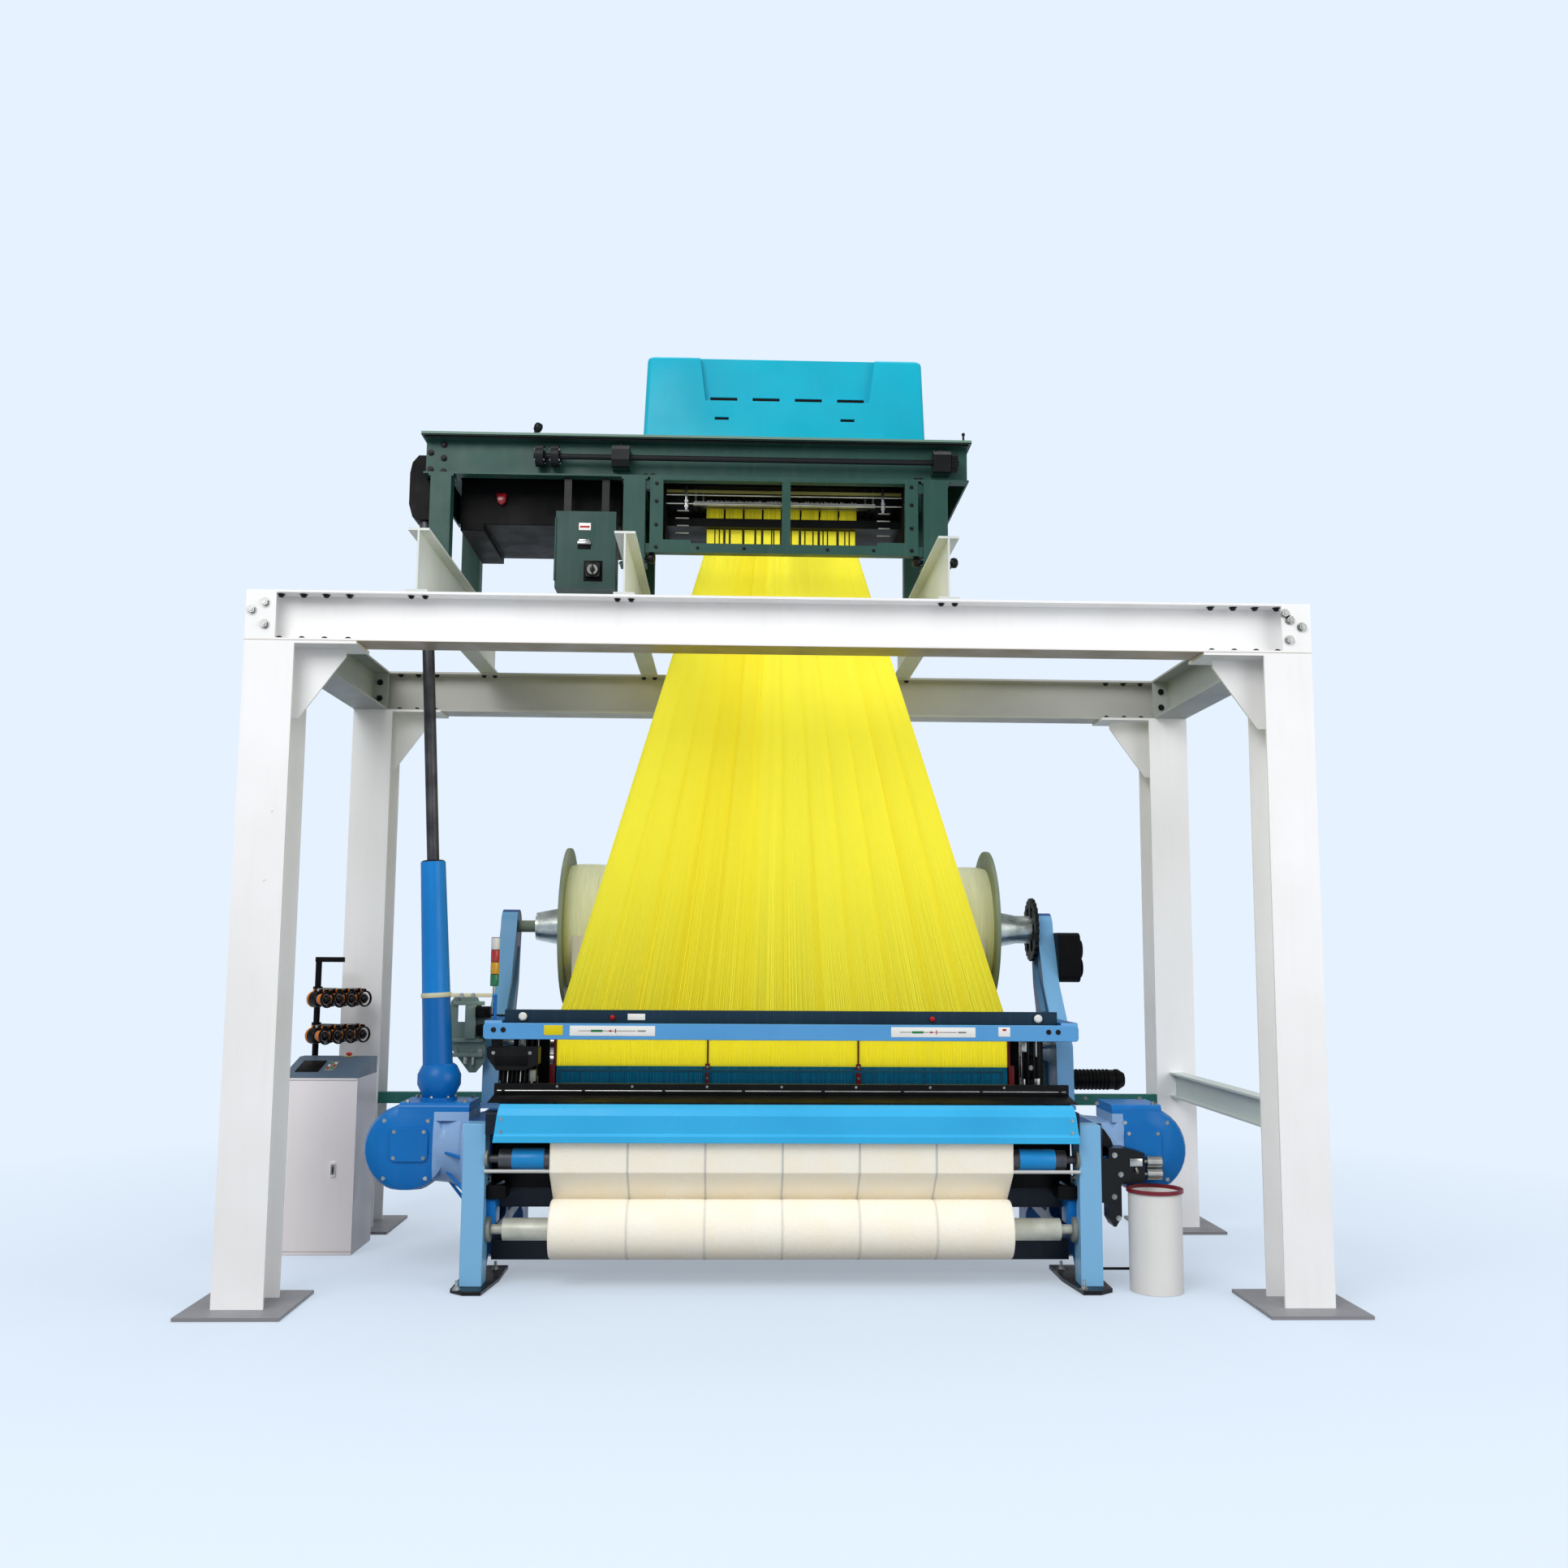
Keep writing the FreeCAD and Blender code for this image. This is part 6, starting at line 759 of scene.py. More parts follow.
def smooth_copy(source: Piece, node: str, finish: Finish, angle: float, edge: float) -> Piece:
    """Puts a merged, smoothly shaded copy in the place of a node with round parts.

    Args:
        source: the node's object.
        node: the node's name.
        finish: the copy's finish.
        angle: faces that meet at less than this are shaded smooth.
        edge: the rounding that a bevel gives its sharp edges.

    Returns:
        The copy.
    """
    bench = Bench().use(finish)
    bench.mesh.from_mesh(source.data)
    bmesh.ops.remove_doubles(bench.mesh, verts=bench.mesh.verts, dist=2e-5)
    bmesh.ops.dissolve_limit(bench.mesh, angle_limit=math.radians(1.0), verts=bench.mesh.verts,
                             edges=bench.mesh.edges)
    layer = bench.mesh.verts.layers.float.get("tint") or bench.mesh.verts.layers.float.new("tint")
    for vert in bench.mesh.verts:
        vert[layer] = 0.0
    for face in bench.mesh.faces:
        face.material_index = 0
    body = body_of(source)
    body = body[0] if isinstance(body, (list, tuple)) else body
    piece = bench.finish("smooth_" + node, body, slot_of(source), angle, edge)
    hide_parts(node)
    return piece


class Assembly:
    """A group of pieces that are made and dressed together."""

    def build(self) -> list[Piece]:
        """Makes the group's pieces."""
        raise NotImplementedError


# ------------------------------------------------------------------ studio
@dataclass(frozen=True)
class Studio:
    """The pale floor, the soft lights and the camera at the photograph's angle."""

    sky: str = "e6f2ff"
    eye: Point = (-0.2184, -8.025, 1.6657)
    pitch: float = 0.1168
    yaw: float = 0.0321
    roll: float = 0.0064
    focal: float = 32.9

    def camera(self) -> None:
        """Places the camera where the photograph was taken."""
        ahead = Vector((math.sin(self.yaw) * math.cos(self.pitch),
                        math.cos(self.yaw) * math.cos(self.pitch), math.sin(self.pitch)))
        level = Vector((math.cos(self.yaw), -math.sin(self.yaw), 0))
        rise = level.cross(ahead)
        right = level * math.cos(self.roll) + rise * math.sin(self.roll)
        over = rise * math.cos(self.roll) - level * math.sin(self.roll)
        data = bpy.data.cameras.new("view")
        data.lens = self.focal
        data.sensor_width = 36.0
        data.clip_end = 200.0
        made = put("view", data)
        made.matrix_world = Matrix.Translation(self.eye) @ Matrix(
            (right, over, -ahead)).transposed().to_4x4()
        bpy.context.scene.camera = made

    def world(self) -> None:
        """Gives the room its soft light, and the pale background that is seen behind it."""
        world = bpy.data.worlds.new("room")
        world.use_nodes = True
        graph = Graph(world.node_tree)
        soft = graph.node("Background", {0: (0.93, 0.96, 1.0, 1.0), 1: 0.7})
        seen = graph.node("Background", {0: linear(self.sky), 1: 1.0})
        dim = graph.node("Background", {0: (0.9, 0.95, 1.0, 1.0), 1: 0.4})
        path = graph.node("LightPath").outputs
        shine = graph.blend(path["Is Glossy Ray"], soft, dim)
        clear = graph.sum("MAXIMUM", path["Is Camera Ray"], path["Is Transmission Ray"])
        graph.put_out(graph.blend(clear, shine, seen), "World Output")
        bpy.context.scene.world = world

    def floor(self) -> None:
        """Lays the floor, which fades into the background away from the loom."""
        mesh = bmesh.new()
        bmesh.ops.create_circle(mesh, cap_ends=True, segments=64, radius=40,
                                matrix=Matrix.Translation((0, 0, -0.002)))
        data = bpy.data.meshes.new("floor")
        mesh.to_mesh(data)
        mesh.free()
        shader = Shader("floor")
        shader.feed(Base_Color=linear("a8b2be"), Emission_Color=linear(self.sky),
                    Emission_Strength=0.42, Roughness=0.9, Specular_IOR_Level=0.0)
        path = shader.node("LightPath").outputs
        far = shader.node("VectorMath", {0: shader.place((1, 1, 0))}, operation="LENGTH")
        fade = shader.sum("MULTIPLY", shader.between(far.outputs[1], 3.2, 7.0),
                          path["Is Camera Ray"])
        dark = shader.node("BsdfDiffuse", {0: linear("6f7278")})
        plain = shader.blend(path["Is Diffuse Ray"], shader.main, dark)
        clear = shader.node("BsdfTransparent")
        shader.put_out(shader.blend(fade, plain, clear), "Material Output")
        data.materials.append(shader.material)
        put("floor", data)

    def lamp(self, name: str, place: Point, aim: Point, size: float, power: float) -> None:
        """Adds a large soft lamp.

        Args:
            name: the lamp's name.
            place: where it stands.
            aim: the point that it faces.
            size: its width and height.
            power: its power in watts.
        """
        data = bpy.data.lights.new(name, "AREA")
        data.shape = "SQUARE"
        data.size = size
        data.energy = power
        made = put(name, data)
        made.location = place
        made.rotation_euler = (Vector(aim) - Vector(place)).to_track_quat("-Z", "Y").to_euler()

    def build(self) -> None:
        """Sets up the whole studio."""
        self.camera()
        self.world()
        self.floor()
        self.lamp("key", (-4.5, -9.0, 8.5), (0.0, 0.0, 2.0), 6.0, 600.0)
        self.lamp("fill", (7.5, -7.0, 4.0), (0.0, 0.0, 1.8), 6.0, 265.0)
        self.lamp("top", (0.0, 2.0, 10.5), (0.0, 0.0, 2.0), 6.0, 230.0)
        bpy.context.scene.view_settings.view_transform = "Standard"


# ------------------------------------------------------------------ gantry
@dataclass
class Gantry(Assembly):
    """Bolts and nuts of the steel gantry."""

    half_depth: float = 1.125
    underside: float = 3.155
    top: float = 3.405
    flange: float = 0.012
    rows: tuple[float, ...] = (2.466, 2.357, 2.247, 2.133)
    joists: tuple[float, ...] = (-1.8, -0.79, 0.815)
    left_bolts: tuple[Pair, ...] = ((-2.59, 3.303), (-2.527, 3.34), (-2.526, 3.232))
    right_bolts: tuple[Pair, ...] = ((2.492, 3.354), (2.515, 3.322), (2.575, 3.286), (2.511, 3.22))

    def beam_nuts(self, bench: Bench, end: int) -> None:
        """Adds the nut rows that join a cross beam to its columns.

        Args:
            bench: collects the shapes.
            end: -1 for the front beam, 1 for the rear one.
        """
        gauge = (self.half_depth - 0.045, self.half_depth - 0.155)
        for side in (-1, 1):
            for x in self.rows:
                for y in gauge:
                    at = (side * x, end * y)
                    bench.bolt((*at, self.top - self.flange), DOWN, 0.015)
                    bench.bolt((*at, self.underside + self.flange), UP, 0.015)
        for x in self.joists:
            for shift in (-0.034, 0.034):
                for y in gauge:
                    bench.bolt((x + shift, end * y, self.top - self.flange), DOWN, 0.013)

    def build(self) -> list[Piece]:
        """Makes the gantry's bolts.

        Returns:
            The pieces.
        """
        dark = Bench().use(BLACKED)
        self.beam_nuts(dark, -1)
        self.beam_nuts(dark, 1)
        for side in (-1, 1):
            for y, way in ((-0.905, 1), (0.905, -1)):
                for shift in (-0.05, 0.05):
                    for z in (self.underside + 0.075, self.top - 0.075):
                        dark.bolt((side * 2.52 + shift, y, z), (0, way, 0), 0.014)
        pieces = [dark.finish("gantry_nuts", "frame", "black_metal")]
        silver = Bench().use(ZINC)
        for x, z in self.left_bolts + self.right_bolts:
            for way in (-1, 1):
                silver.bolt((x, way * self.half_depth, z), (0, way, 0), 0.019)
        pieces.append(silver.finish("corner_bolts", "frame", "bright_steel"))
        return pieces


# ------------------------------------------------------------------ jacquard head
@dataclass
class JacquardHead(Assembly):
    """The fittings on the jacquard head: bolts, knobs, lamp, painted shade in the air slots, hand
    recesses and at the deck's edge, and window works.
    """

    front: float = -0.5
    deck: float = 4.445
    bay: float = -0.345
    shaft: Pair = (-0.504, 4.318)
    legs: tuple[Pair, ...] = ((-1.835, 0.11), (-0.795, 0.118), (0.838, 0.132))

    def bolts(self) -> Piece:
        """Makes the dark bolts on the channel, the legs and the window frame.

        Returns:
            The piece.
        """
        bench = Bench().use(BLACKED)
        web = self.front + 0.06
        for x, z in ((-1.835, 4.395), (-1.835, 4.32), (-1.835, 4.245), (-1.905, 4.35),
                     (-1.905, 4.255)):
            bench.bolt((x, web, z), FRONT, 0.014)
        for x, width in self.legs:
            for side in (-1, 1):
                for z, way in ((4.2145, DOWN), (3.737, UP)):
                    at = x + side * (width / 2 + 0.0055)
                    bench.bolt((at, self.front + 0.02, z), way, 0.011)
        for x in (-0.74, -0.7, 0.765, 0.74):
            bench.bolt((x, web, 4.24), FRONT, 0.012)
        for x in (-0.675, 0.707):
            for z in (3.826, 3.95, 4.08, 4.18):
                bench.bolt((x, self.front, z), FRONT, 0.008)
        for x in (-0.45, -0.2, 0.25, 0.5):
            bench.bolt((x, self.front, 3.824), FRONT, 0.007)
        return bench.finish("head_bolts", "frame", "black_metal")

    def deck_fittings(self) -> Piece:
        """Makes the tilted knob and the peg on the deck and the knobs at the leg feet.

        Returns:
            The piece.
        """
        bench = Bench().use(BLACK_GLOSS)
        foot = self.deck - 0.001
        bench.rod((-1.337, -0.47, foot), (-1.337, -0.47, foot + 0.018), 0.012)
        bench.turned((-1.34, -0.47, 4.455), (0.022, 0, 0.055),
                     [(0, 0.0), (0.002, 0.01), (0.012, 0.012), (0.022, 0.021), (0.045, 0.024),
                      (0.06, 0.018), (0.066, 0.0)], 20)
        bench.rod((0.995, -0.48, foot), (0.995, -0.48, foot + 0.042), 0.006)
        bench.ball((0.995, -0.48, 4.49), 0.01)
        for x, side in ((-0.736, 1), (0.904, 1), (0.772, -1)):
            bench.turned((x, -0.462, 3.772), (side, 0, 0),
                         [(-0.004, 0.0), (-0.004, 0.01), (0.018, 0.01), (0.02, 0.024),
                          (0.034, 0.029), (0.05, 0.026), (0.058, 0.014), (0.059, 0.0)], 22)
        return bench.finish("head_knobs", "frame", "knob_black")

    def cover_shade(self) -> Piece:
        """Makes black pieces of painted shade in the air slots and hand recesses, and two strips of
        painted shadow at the deck's front edge.

        Returns:
            The piece.
        """
        bench = Bench().use(BLACK)
        # painted shade: black backs inside the air slots
        for index in range(4):
            x = 0.032 + (index - 1.5) * 0.235
            bench.plate(-0.3455, 0.016, (x - 0.0745, x + 0.0745), (4.7042, 4.7218))
        # painted shade: black backs inside the hand recesses
        for x in (-0.33, 0.364):
            bench.slab([(x - 0.0385, -0.3965, 4.5765), (x + 0.0385, -0.3965, 4.5765),
                        (x + 0.034, -0.3965, 4.5905), (x - 0.034, -0.3965, 4.5905)],
                       (0, -0.008, 0))
        # painted shadow: two black strips along the deck's front edge
        bench.block((-1.93, -0.5045, 4.414), (1.02, -0.4995, 4.4248), 0.001)
        bench.block((-1.9445, -0.5165, 4.4262), (1.0345, -0.5148, 4.4315))
        return bench.finish("cover_painted_shade", "frame", "black_metal")

    def lamp(self) -> Piece:
        """Makes the red lamp on the dark block in the left bay.

        Returns:
            The piece.
        """
        bench = Bench().use(Lens("lamp_red", "b0101c", "7d0a14"))
        bench.slab([(-1.568, -0.284, 4.17), (-1.512, -0.284, 4.17), (-1.519, -0.284, 4.122),
                    (-1.54, -0.284, 4.104), (-1.561, -0.284, 4.122)], (0, -0.03, 0), 0.004)
        return bench.finish("head_lamp", "frame", "red_plastic")

    def window_works(self) -> Piece:
        """Makes the rails, rods and posts that show in the window.

        Returns:
            The piece.
        """
        bench = Bench().use(OLIVE)
        bench.block((-0.629, self.bay, 4.184), (0.669, self.bay + 0.02, 4.198), 0.002)
        bench.use(BRIGHT)
        for y, z in ((-0.352, 4.166), (-0.335, 4.122)):
            bench.rod((-0.63, y, z), (0.67, y, z), 0.0045, 10)
        for x in (-0.52, 0.565):
            bench.block((x - 0.006, self.bay - 0.012, 4.078), (x + 0.006, self.bay, 4.213), 0.001)
            for z in (4.13, 4.1):
                bench.bolt((x, self.bay - 0.012, z), FRONT, 0.008)
        bench.use(CASTING)
        for side in (-1, 1):
            base = 0.02 + side * 0.555
            for row in range(5):
                z = 3.905 + row * 0.042
                bench.plate(self.bay, 0.007, (base - 0.035 - 0.008 * (row % 2), base + 0.03),
                            (z, z + 0.006), 0.001)
        return bench.finish("window_works", "frame", "bright_steel")

    def shaft_fittings(self) -> Piece:
        """Makes the bolts on the cross shaft's couplings.

        Returns:
            The piece.
        """
        bench = Bench().use(ZINC)
        for x in (-1.306, -1.224):
            for step in range(4):
                y, z = around(self.shaft, 0.04, math.radians(45 + 90 * step))
                bench.rod((x - 0.027, y, z), (x + 0.027, y, z), 0.006, 6)
        return bench.finish("coupling_bolts", "cross_shaft", "bright_steel")

    def bearing_caps(self) -> Piece:
        """Makes the bolts and grease points on the line shaft's bearings.

        Returns:
            The piece.
        """
        bench = Bench().use(BLACKED)
        for x in (-0.87, 0.868):
            for shift in (-0.034, 0.034):
                for rise in (-0.042, 0.042):
                    bench.bolt((x + shift, -0.5332, self.shaft[1] + rise), FRONT, 0.01)
            bench.rod((x, self.front, 4.372), (x, self.front, 4.388), 0.008, 8)
            bench.ball((x, self.front, 4.39), 0.008)
        return bench.finish("bearing_caps", "frame", "black_metal")

    def door_fittings(self) -> list[Piece]:
        """Makes the control box door's bare plate and latch, and the isolator's dial.

        Returns:
            The pieces.
        """
        face = -0.4745
        bench = Bench().use(LABEL)
        bench.plate(face, 0.0012, (-1.092, -1.028), (3.92, 3.96), 0.0005)
        bench.use(RED).plate(face - 0.0008, 0.001, (-1.086, -1.034), (3.933, 3.944))
        bench.use(BRIGHT).plate(face, 0.016, (-1.098, -1.024), (3.838, 3.856), 0.004)
        bench.plate(face, 0.01, (-1.09, -1.032), (3.856, 3.868), 0.003)
        bench.use(BLACK).plate(face, 0.003, (-1.096, -1.026), (3.815, 3.838), 0.002)
        bench.plate(face, 0.002, (-1.061, -0.961), (3.638, 3.752), 0.001)
        pieces = [bench.finish("door_fittings", "control_leaf", "bright_steel")]
        x, z, front = -1.011, 3.695, -0.5045
        dial = Bench()
        for finish, seat, sides, profile in (
                (BLACK_GLOSS, -0.001, 36, [(0, 0.0), (0, 0.036), (0.006, 0.036), (0.008, 0.033),
                                           (0.008, 0.0)]),
                (CASTING, 0.006, 36, [(0, 0.0), (0, 0.029), (0.003, 0.028), (0.003, 0.0)]),
                (BLACK_GLOSS, 0.008, 24, [(0, 0.0), (0, 0.014), (0.01, 0.013), (0.011, 0.0)])):
            dial.use(finish).turned((x, front - seat, z), FRONT, profile, sides)
        dial.block((x - 0.004, front - 0.021, z - 0.026), (x + 0.004, front - 0.008, z + 0.026),
                   0.002)
        pieces.append(dial.finish("isolator_dial", "isolator_grip", "knob_black"))
        return pieces

    def build(self) -> list[Piece]:
        """Makes the head's fittings."""
        pieces = [self.bolts(), self.deck_fittings(), self.cover_shade(), self.lamp(),
                  self.window_works(), self.shaft_fittings(), self.bearing_caps()]
        return pieces + self.door_fittings()


# ------------------------------------------------------------------ harness
@dataclass
class Harness(Assembly):
    """The fan of yellow cords, with its necks and the hooks above them."""

    top: float = 3.9
    bottom: float = 1.315
    top_x: Pair = (-0.4165, 0.4365)
    bottom_x: Pair = (-1.1815, 1.2635)
    top_y: Pair = (-0.19, 0.19)
    bottom_y: Pair = (-0.12, 0.06)
    bundles: int = 12
    steps: int = 10
    cords: int = 660
    tints: tuple[float, ...] = (0.1, 0.3, 0.55, 0.95, 0.6, 0.2, 0.1, 0.05, 0.15, 0.1, 0.25, 0.15)

    def surface(self, across: float, down: float, side: int) -> Vector:
        """Gives a point on the fan's front or rear surface.

        Args:
            across: from 0 at the left edge to 1 at the right.
            down: from 0 at the top to 1 at the bottom.
            side: -1 for the front, 1 for the rear.

        Returns:
            The point.
        """
        x0 = self.top_x[0] + (self.bottom_x[0] - self.top_x[0]) * down
        x1 = self.top_x[1] + (self.bottom_x[1] - self.top_x[1]) * down
        edge = 0 if side < 0 else 1
        y = self.top_y[edge] + (self.bottom_y[edge] - self.top_y[edge]) * down
        phase = (across * self.bundles) % 1.0
        dip = 0.004 + 0.15 * (x1 - x0) / self.bundles * (2 * phase - 1) ** 4
        return Vector((x0 + across * (x1 - x0), y - side * dip,
                       self.top + (self.bottom - self.top) * down))

    def core(self) -> Piece:
        """Makes the mass of cords as one closed skin with a ridge for each bundle and painted shade
        in the grooves between bundles.

        Returns:
            The piece.
        """
        bench = Bench().use(YELLOW_MASS)
        mesh = bench.mesh
        across = self.bundles * 8
        total = 2 * across + 2
        bmesh.ops.create_grid(mesh, x_segments=total, y_segments=self.steps, size=0.5)
        bench.unroll(lambda spot: (spot.x + 0.5, spot.y + 0.5))
        for vert in mesh.verts:
            column = round((vert.co.x + 0.5) * total)
            down = 0.5 - vert.co.y
            side = -1 if column <= across or column == total else 1
            share = column / across if column <= across else 1 - (column - across - 1) / across
            share = 0 if column == total else share
            phase = (share * self.bundles) % 1.0
            # painted shade: the tint darkens the grooves between bundles
            groove = max(0.0, abs(2 * phase - 1) - 0.86) / 0.14
            vert[bench.tints] = 0.45 * groove ** 2
            vert.co = self.surface(share, down, side)
        bmesh.ops.remove_doubles(mesh, verts=mesh.verts, dist=1e-5)
        bmesh.ops.holes_fill(mesh, edges=[e for e in mesh.edges if e.is_boundary], sides=0)
        bmesh.ops.recalc_face_normals(mesh, faces=mesh.faces)
        piece = bench.finish("harness_mass", "frame", "yellow_cord", 60)
        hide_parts("harness_fan")
        return piece

    def strands(self) -> list[Piece]:
        """Makes the single cords that lie on the fan's front and rear.

        Returns:
            The pieces.
        """
        pieces = []
        dice = random.Random(7)
        for side, name in ((-1, "harness_cords_front"), (1, "harness_cords_rear")):
            bench = Bench().use(YELLOW)
            for index in range(self.cords):
                across = (index + 0.5) / self.cords
                jitter = dice.uniform(-0.4, 0.4) / self.cords
                start = self.surface(across, 0, side)
                end = self.surface(min(0.999, max(0.001, across + jitter)), 1, side)
                lift = -side * (-0.003 + dice.uniform(0.0, 0.0022))
                tone = self.tints[min(self.bundles - 1, int(across * self.bundles))]
                tone = min(1.0, max(0.0, tone + dice.uniform(-0.28, 0.28)))
                for point in (start, end):
                    point.y += lift
                start.z -= 0.001
                end.z += 0.001
                bench.rod(start, end, 0.00075, 4, 0.0015, tone)
            pieces.append(bench.finish(name, "frame", "yellow_cord", 100))
        return pieces

    def groups(self, margin: float) -> list[Pair]:
        """Gives the left end and the width of the eight groups above the fan."""
        pitch = (self.top_x[1] - self.top_x[0]) / 8
        return [(self.top_x[0] + group * pitch + margin, pitch - 2 * margin) for group in range(8)]

    def necks(self) -> Piece:
        """Makes the upright groups of cords between the fan and the hooks.

        Returns:
            The piece.
        """
        bench = Bench().use(YELLOW)
        dice = random.Random(11)
        for left, width in self.groups(0.0075):
            gaps = {start + wide for start in dice.sample(range(3, 18), 2) for wide in (0, 1)}
            for low, high in ((self.top - 0.006, 4.03), (4.077, 4.111)):
                for row, y in enumerate((-0.156, -0.146, 0.146, 0.156)):
                    for step in range(22):
                        if step in gaps:
                            continue
                        x = left + (step + 0.5 * (row % 2)) * width / 22
                        bench.rod((x, y, low), (x, y, high), 0.0017, 4,
                                  tint=dice.uniform(0.0, 0.6))
        return bench.finish("harness_necks", "frame", "yellow_cord", 100)

    def hooks(self) -> Piece:
        """Makes the cord ends above the guide board, with their wires and pale hook heads.

        Returns:
            The piece.
        """
        bench = Bench()
        dice = random.Random(5)
        for left, width in self.groups(0.006):
            for row, y in enumerate((-0.212, -0.204)):
                for step in range(18):
                    x = left + (step + 0.25 + 0.5 * row) * width / 18
                    top = 4.152 + dice.uniform(-0.006, 0.006)
                    # the cords above the guide board take the darker neck copy: painted shade
                    # inside the head
                    bench.use(YELLOW_NECK_SHADED).rod((x, y, 4.0772), (x, y, top), 0.0021, 5,
                                               tint=dice.uniform(0, 0.9))
                    head = top + 0.026
                    bench.use(WHITE_PLASTIC).rod((x, y, top), (x, y, head), 0.0021, 5, 0.0027)
                    bench.use(BLACKED).rod((x, y, head), (x, y, 4.2148), 0.0011, 4)
        return bench.finish("harness_hooks", "frame", "bright_steel", 60)

    def build(self) -> list[Piece]:
        """Makes the harness."""
        return [self.core(), self.necks(), self.hooks()] + self.strands()


@dataclass
class Heddles(Assembly):
    """The lower harness: yellow cords, blue heddle wires, springs and the blocks between."""

    left: float = -1.1915
    right: float = 1.2735
    front: float = -0.105
    rear: float = 0.045
    top: float = 1.295
    joint: float = 1.048
    eye: float = 0.905
    bottom: float = 0.56
    dividers: tuple[float, ...] = (-0.3698, 0.4518)

    def fields(self) -> list[Pair]:
        """Gives the left and right ends of the three fields."""
        ends = [self.left, *self.dividers, self.right]
        return [(a + 0.005, b - 0.005) for a, b in zip(ends, ends[1:])]

    def mass(self) -> Piece:
        """Makes the close inner rows as striped blocks, yellow above and blue below.

        Returns:
            The piece.
        """
        bench = Bench()
        for x0, x1 in self.fields():
            for finish, low, high, inset in ((YELLOW_FINE, self.joint, self.top - 0.0005, 0.01),
                                             (TEAL_MASS, self.bottom + 0.001, self.joint, 0.014)):
                bench.use(finish).block((x0, self.front + inset, low),
                                        (x1, self.rear - inset, high))
        bench.unroll(lambda spot: ((spot.x + spot.y + 1.2) / 2.6, spot.z))
        piece = bench.finish("heddle_mass", "frame", "heddle_teal")
        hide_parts("heddles")
        return piece

    def wires(self) -> list[Piece]:
        """Makes the outer rows: cords, wires with their eyes, and springs.

        Returns:
            The pieces.
        """
        dice = random.Random(3)
        cords = Bench().use(YELLOW)
        wires = Bench().use(TEAL)
        for x0, x1 in self.fields():
            count = int((x1 - x0) / 0.0062)
            for row, y in enumerate((self.front + 0.003, self.front + 0.007, self.rear - 0.003)):
                for step in range(count):
                    x = x0 + (step + 0.25 + 0.5 * (row % 2)) * (x1 - x0) / count
                    x += dice.uniform(-0.0008, 0.0008)
                    cords.rod((x, y, self.joint - 0.002), (x, y, self.top - 0.0005), 0.0012, 4,
                              tint=dice.uniform(0, 0.5))
                    if step % 2 == row % 2:
                        wires.rod((x, y, self.bottom + 0.12), (x, y, self.joint), 0.0011, 4,
                                  tint=dice.random())
                        wires.rod((x, y, self.bottom + 0.0005), (x, y, self.bottom + 0.13),
                                  0.0022, 6, tint=dice.random())
        return [cords.finish("heddle_cords", "frame", "yellow_cord", 100),
                wires.finish("heddle_wires", "frame", "heddle_teal", 100)]

    def blocks(self) -> Piece:
        """Makes the dark-red spacer blocks at the dividers and both ends.

        Returns:
            The piece.
        """
        bench = Bench().use(MAROON)
        for x in self.dividers:
            bench.plate(self.front + 0.004, 0.016, (x - 0.013, x + 0.013), (0.925, 1.062), 0.003)
            bench.use(ZINC)
            for z in (0.945, 0.985, 1.045):
                bench.bolt((x, self.front - 0.012, z), FRONT, 0.006)
            bench.use(MAROON)
            bench.plate(self.front + 0.001, 0.005, (x - 0.0035, x + 0.0035), (1.06, 1.2945), 0.001)
        for x, side in ((self.left - 0.003, -1), (self.right + 0.003, 1)):
            bench.block((x, self.front, 0.915), (x + side * 0.03, self.rear, 1.055), 0.004)
            bench.block((x, self.front + 0.02, 0.5605),
                        (x + side * 0.012, self.rear - 0.02, 1.2945), 0.002)
        return bench.finish("heddle_blocks", "frame", "red_plastic")

    def end_works(self) -> Piece:
        """Makes the guide rods, clamps and cables at both ends of the harness, and a black backing
        of painted shade behind each end.

        Returns:
            The piece.
        """
        bench = Bench()
        for x in (-1.33, 1.4):
            bench.blocks(x, (
                # painted shade: this first black block is a backing where the end lies in shade
                (BLACK, (-0.108, 0.01, 0.5602), (0.09, 0.034, 1.206), 0.004),
                (BLACK, (-0.07, -0.125, 1.205), (0.06, 0.035, 1.2945), 0.006),
                (BLACK, (-0.055, -0.115, 0.5602), (0.045, 0.03, 0.6), 0.004),
                (BLACK, (-0.04, -0.1, 0.985), (0.04, 0.0, 1.105), 0.008),
                (BLACK, (-0.062, -0.13, 0.885), (0.052, -0.106, 0.925), 0.004),
                (BRIGHT, (-0.058, -0.136, 1.132), (-0.03, -0.12, 1.19), 0.003),
                (BRIGHT, (0.01, -0.134, 0.945), (0.04, -0.118, 0.99), 0.003),
                (BRIGHT, (-0.05, -0.11, 0.925), (-0.036, -0.1, 0.985), 0.001)))
            bench.use(BRIGHT)
            for shift, y in ((-0.045, -0.06), (0.036, -0.06), (-0.045, 0.0)):
                bench.rod((x + shift, y, 0.5605), (x + shift, y, 1.2945), 0.006, 12)
            bench.use(BLACK_GLOSS)
            for shift in (-0.05, -0.02, 0.012, 0.04):
                bench.rod((x + shift, -0.118, 1.1), (x + shift, -0.118, 1.206), 0.0055, 10)
                bench.rod((x + shift, -0.118, 0.9), (x + shift, -0.118, 1.1), 0.004, 8)
            bench.use(ZINC)
            for shift, y, z in ((-0.03, -0.125, 1.25), (0.03, -0.125, 1.25), (0.0, -0.1, 1.045)):
                bench.bolt((x + shift, y, z), FRONT, 0.01)
        return bench.finish("harness_end_works", "frame", "black_metal")

    def build(self) -> list[Piece]:
        """Makes the lower harness."""
        return [self.mass(), self.blocks(), self.end_works()] + self.wires()


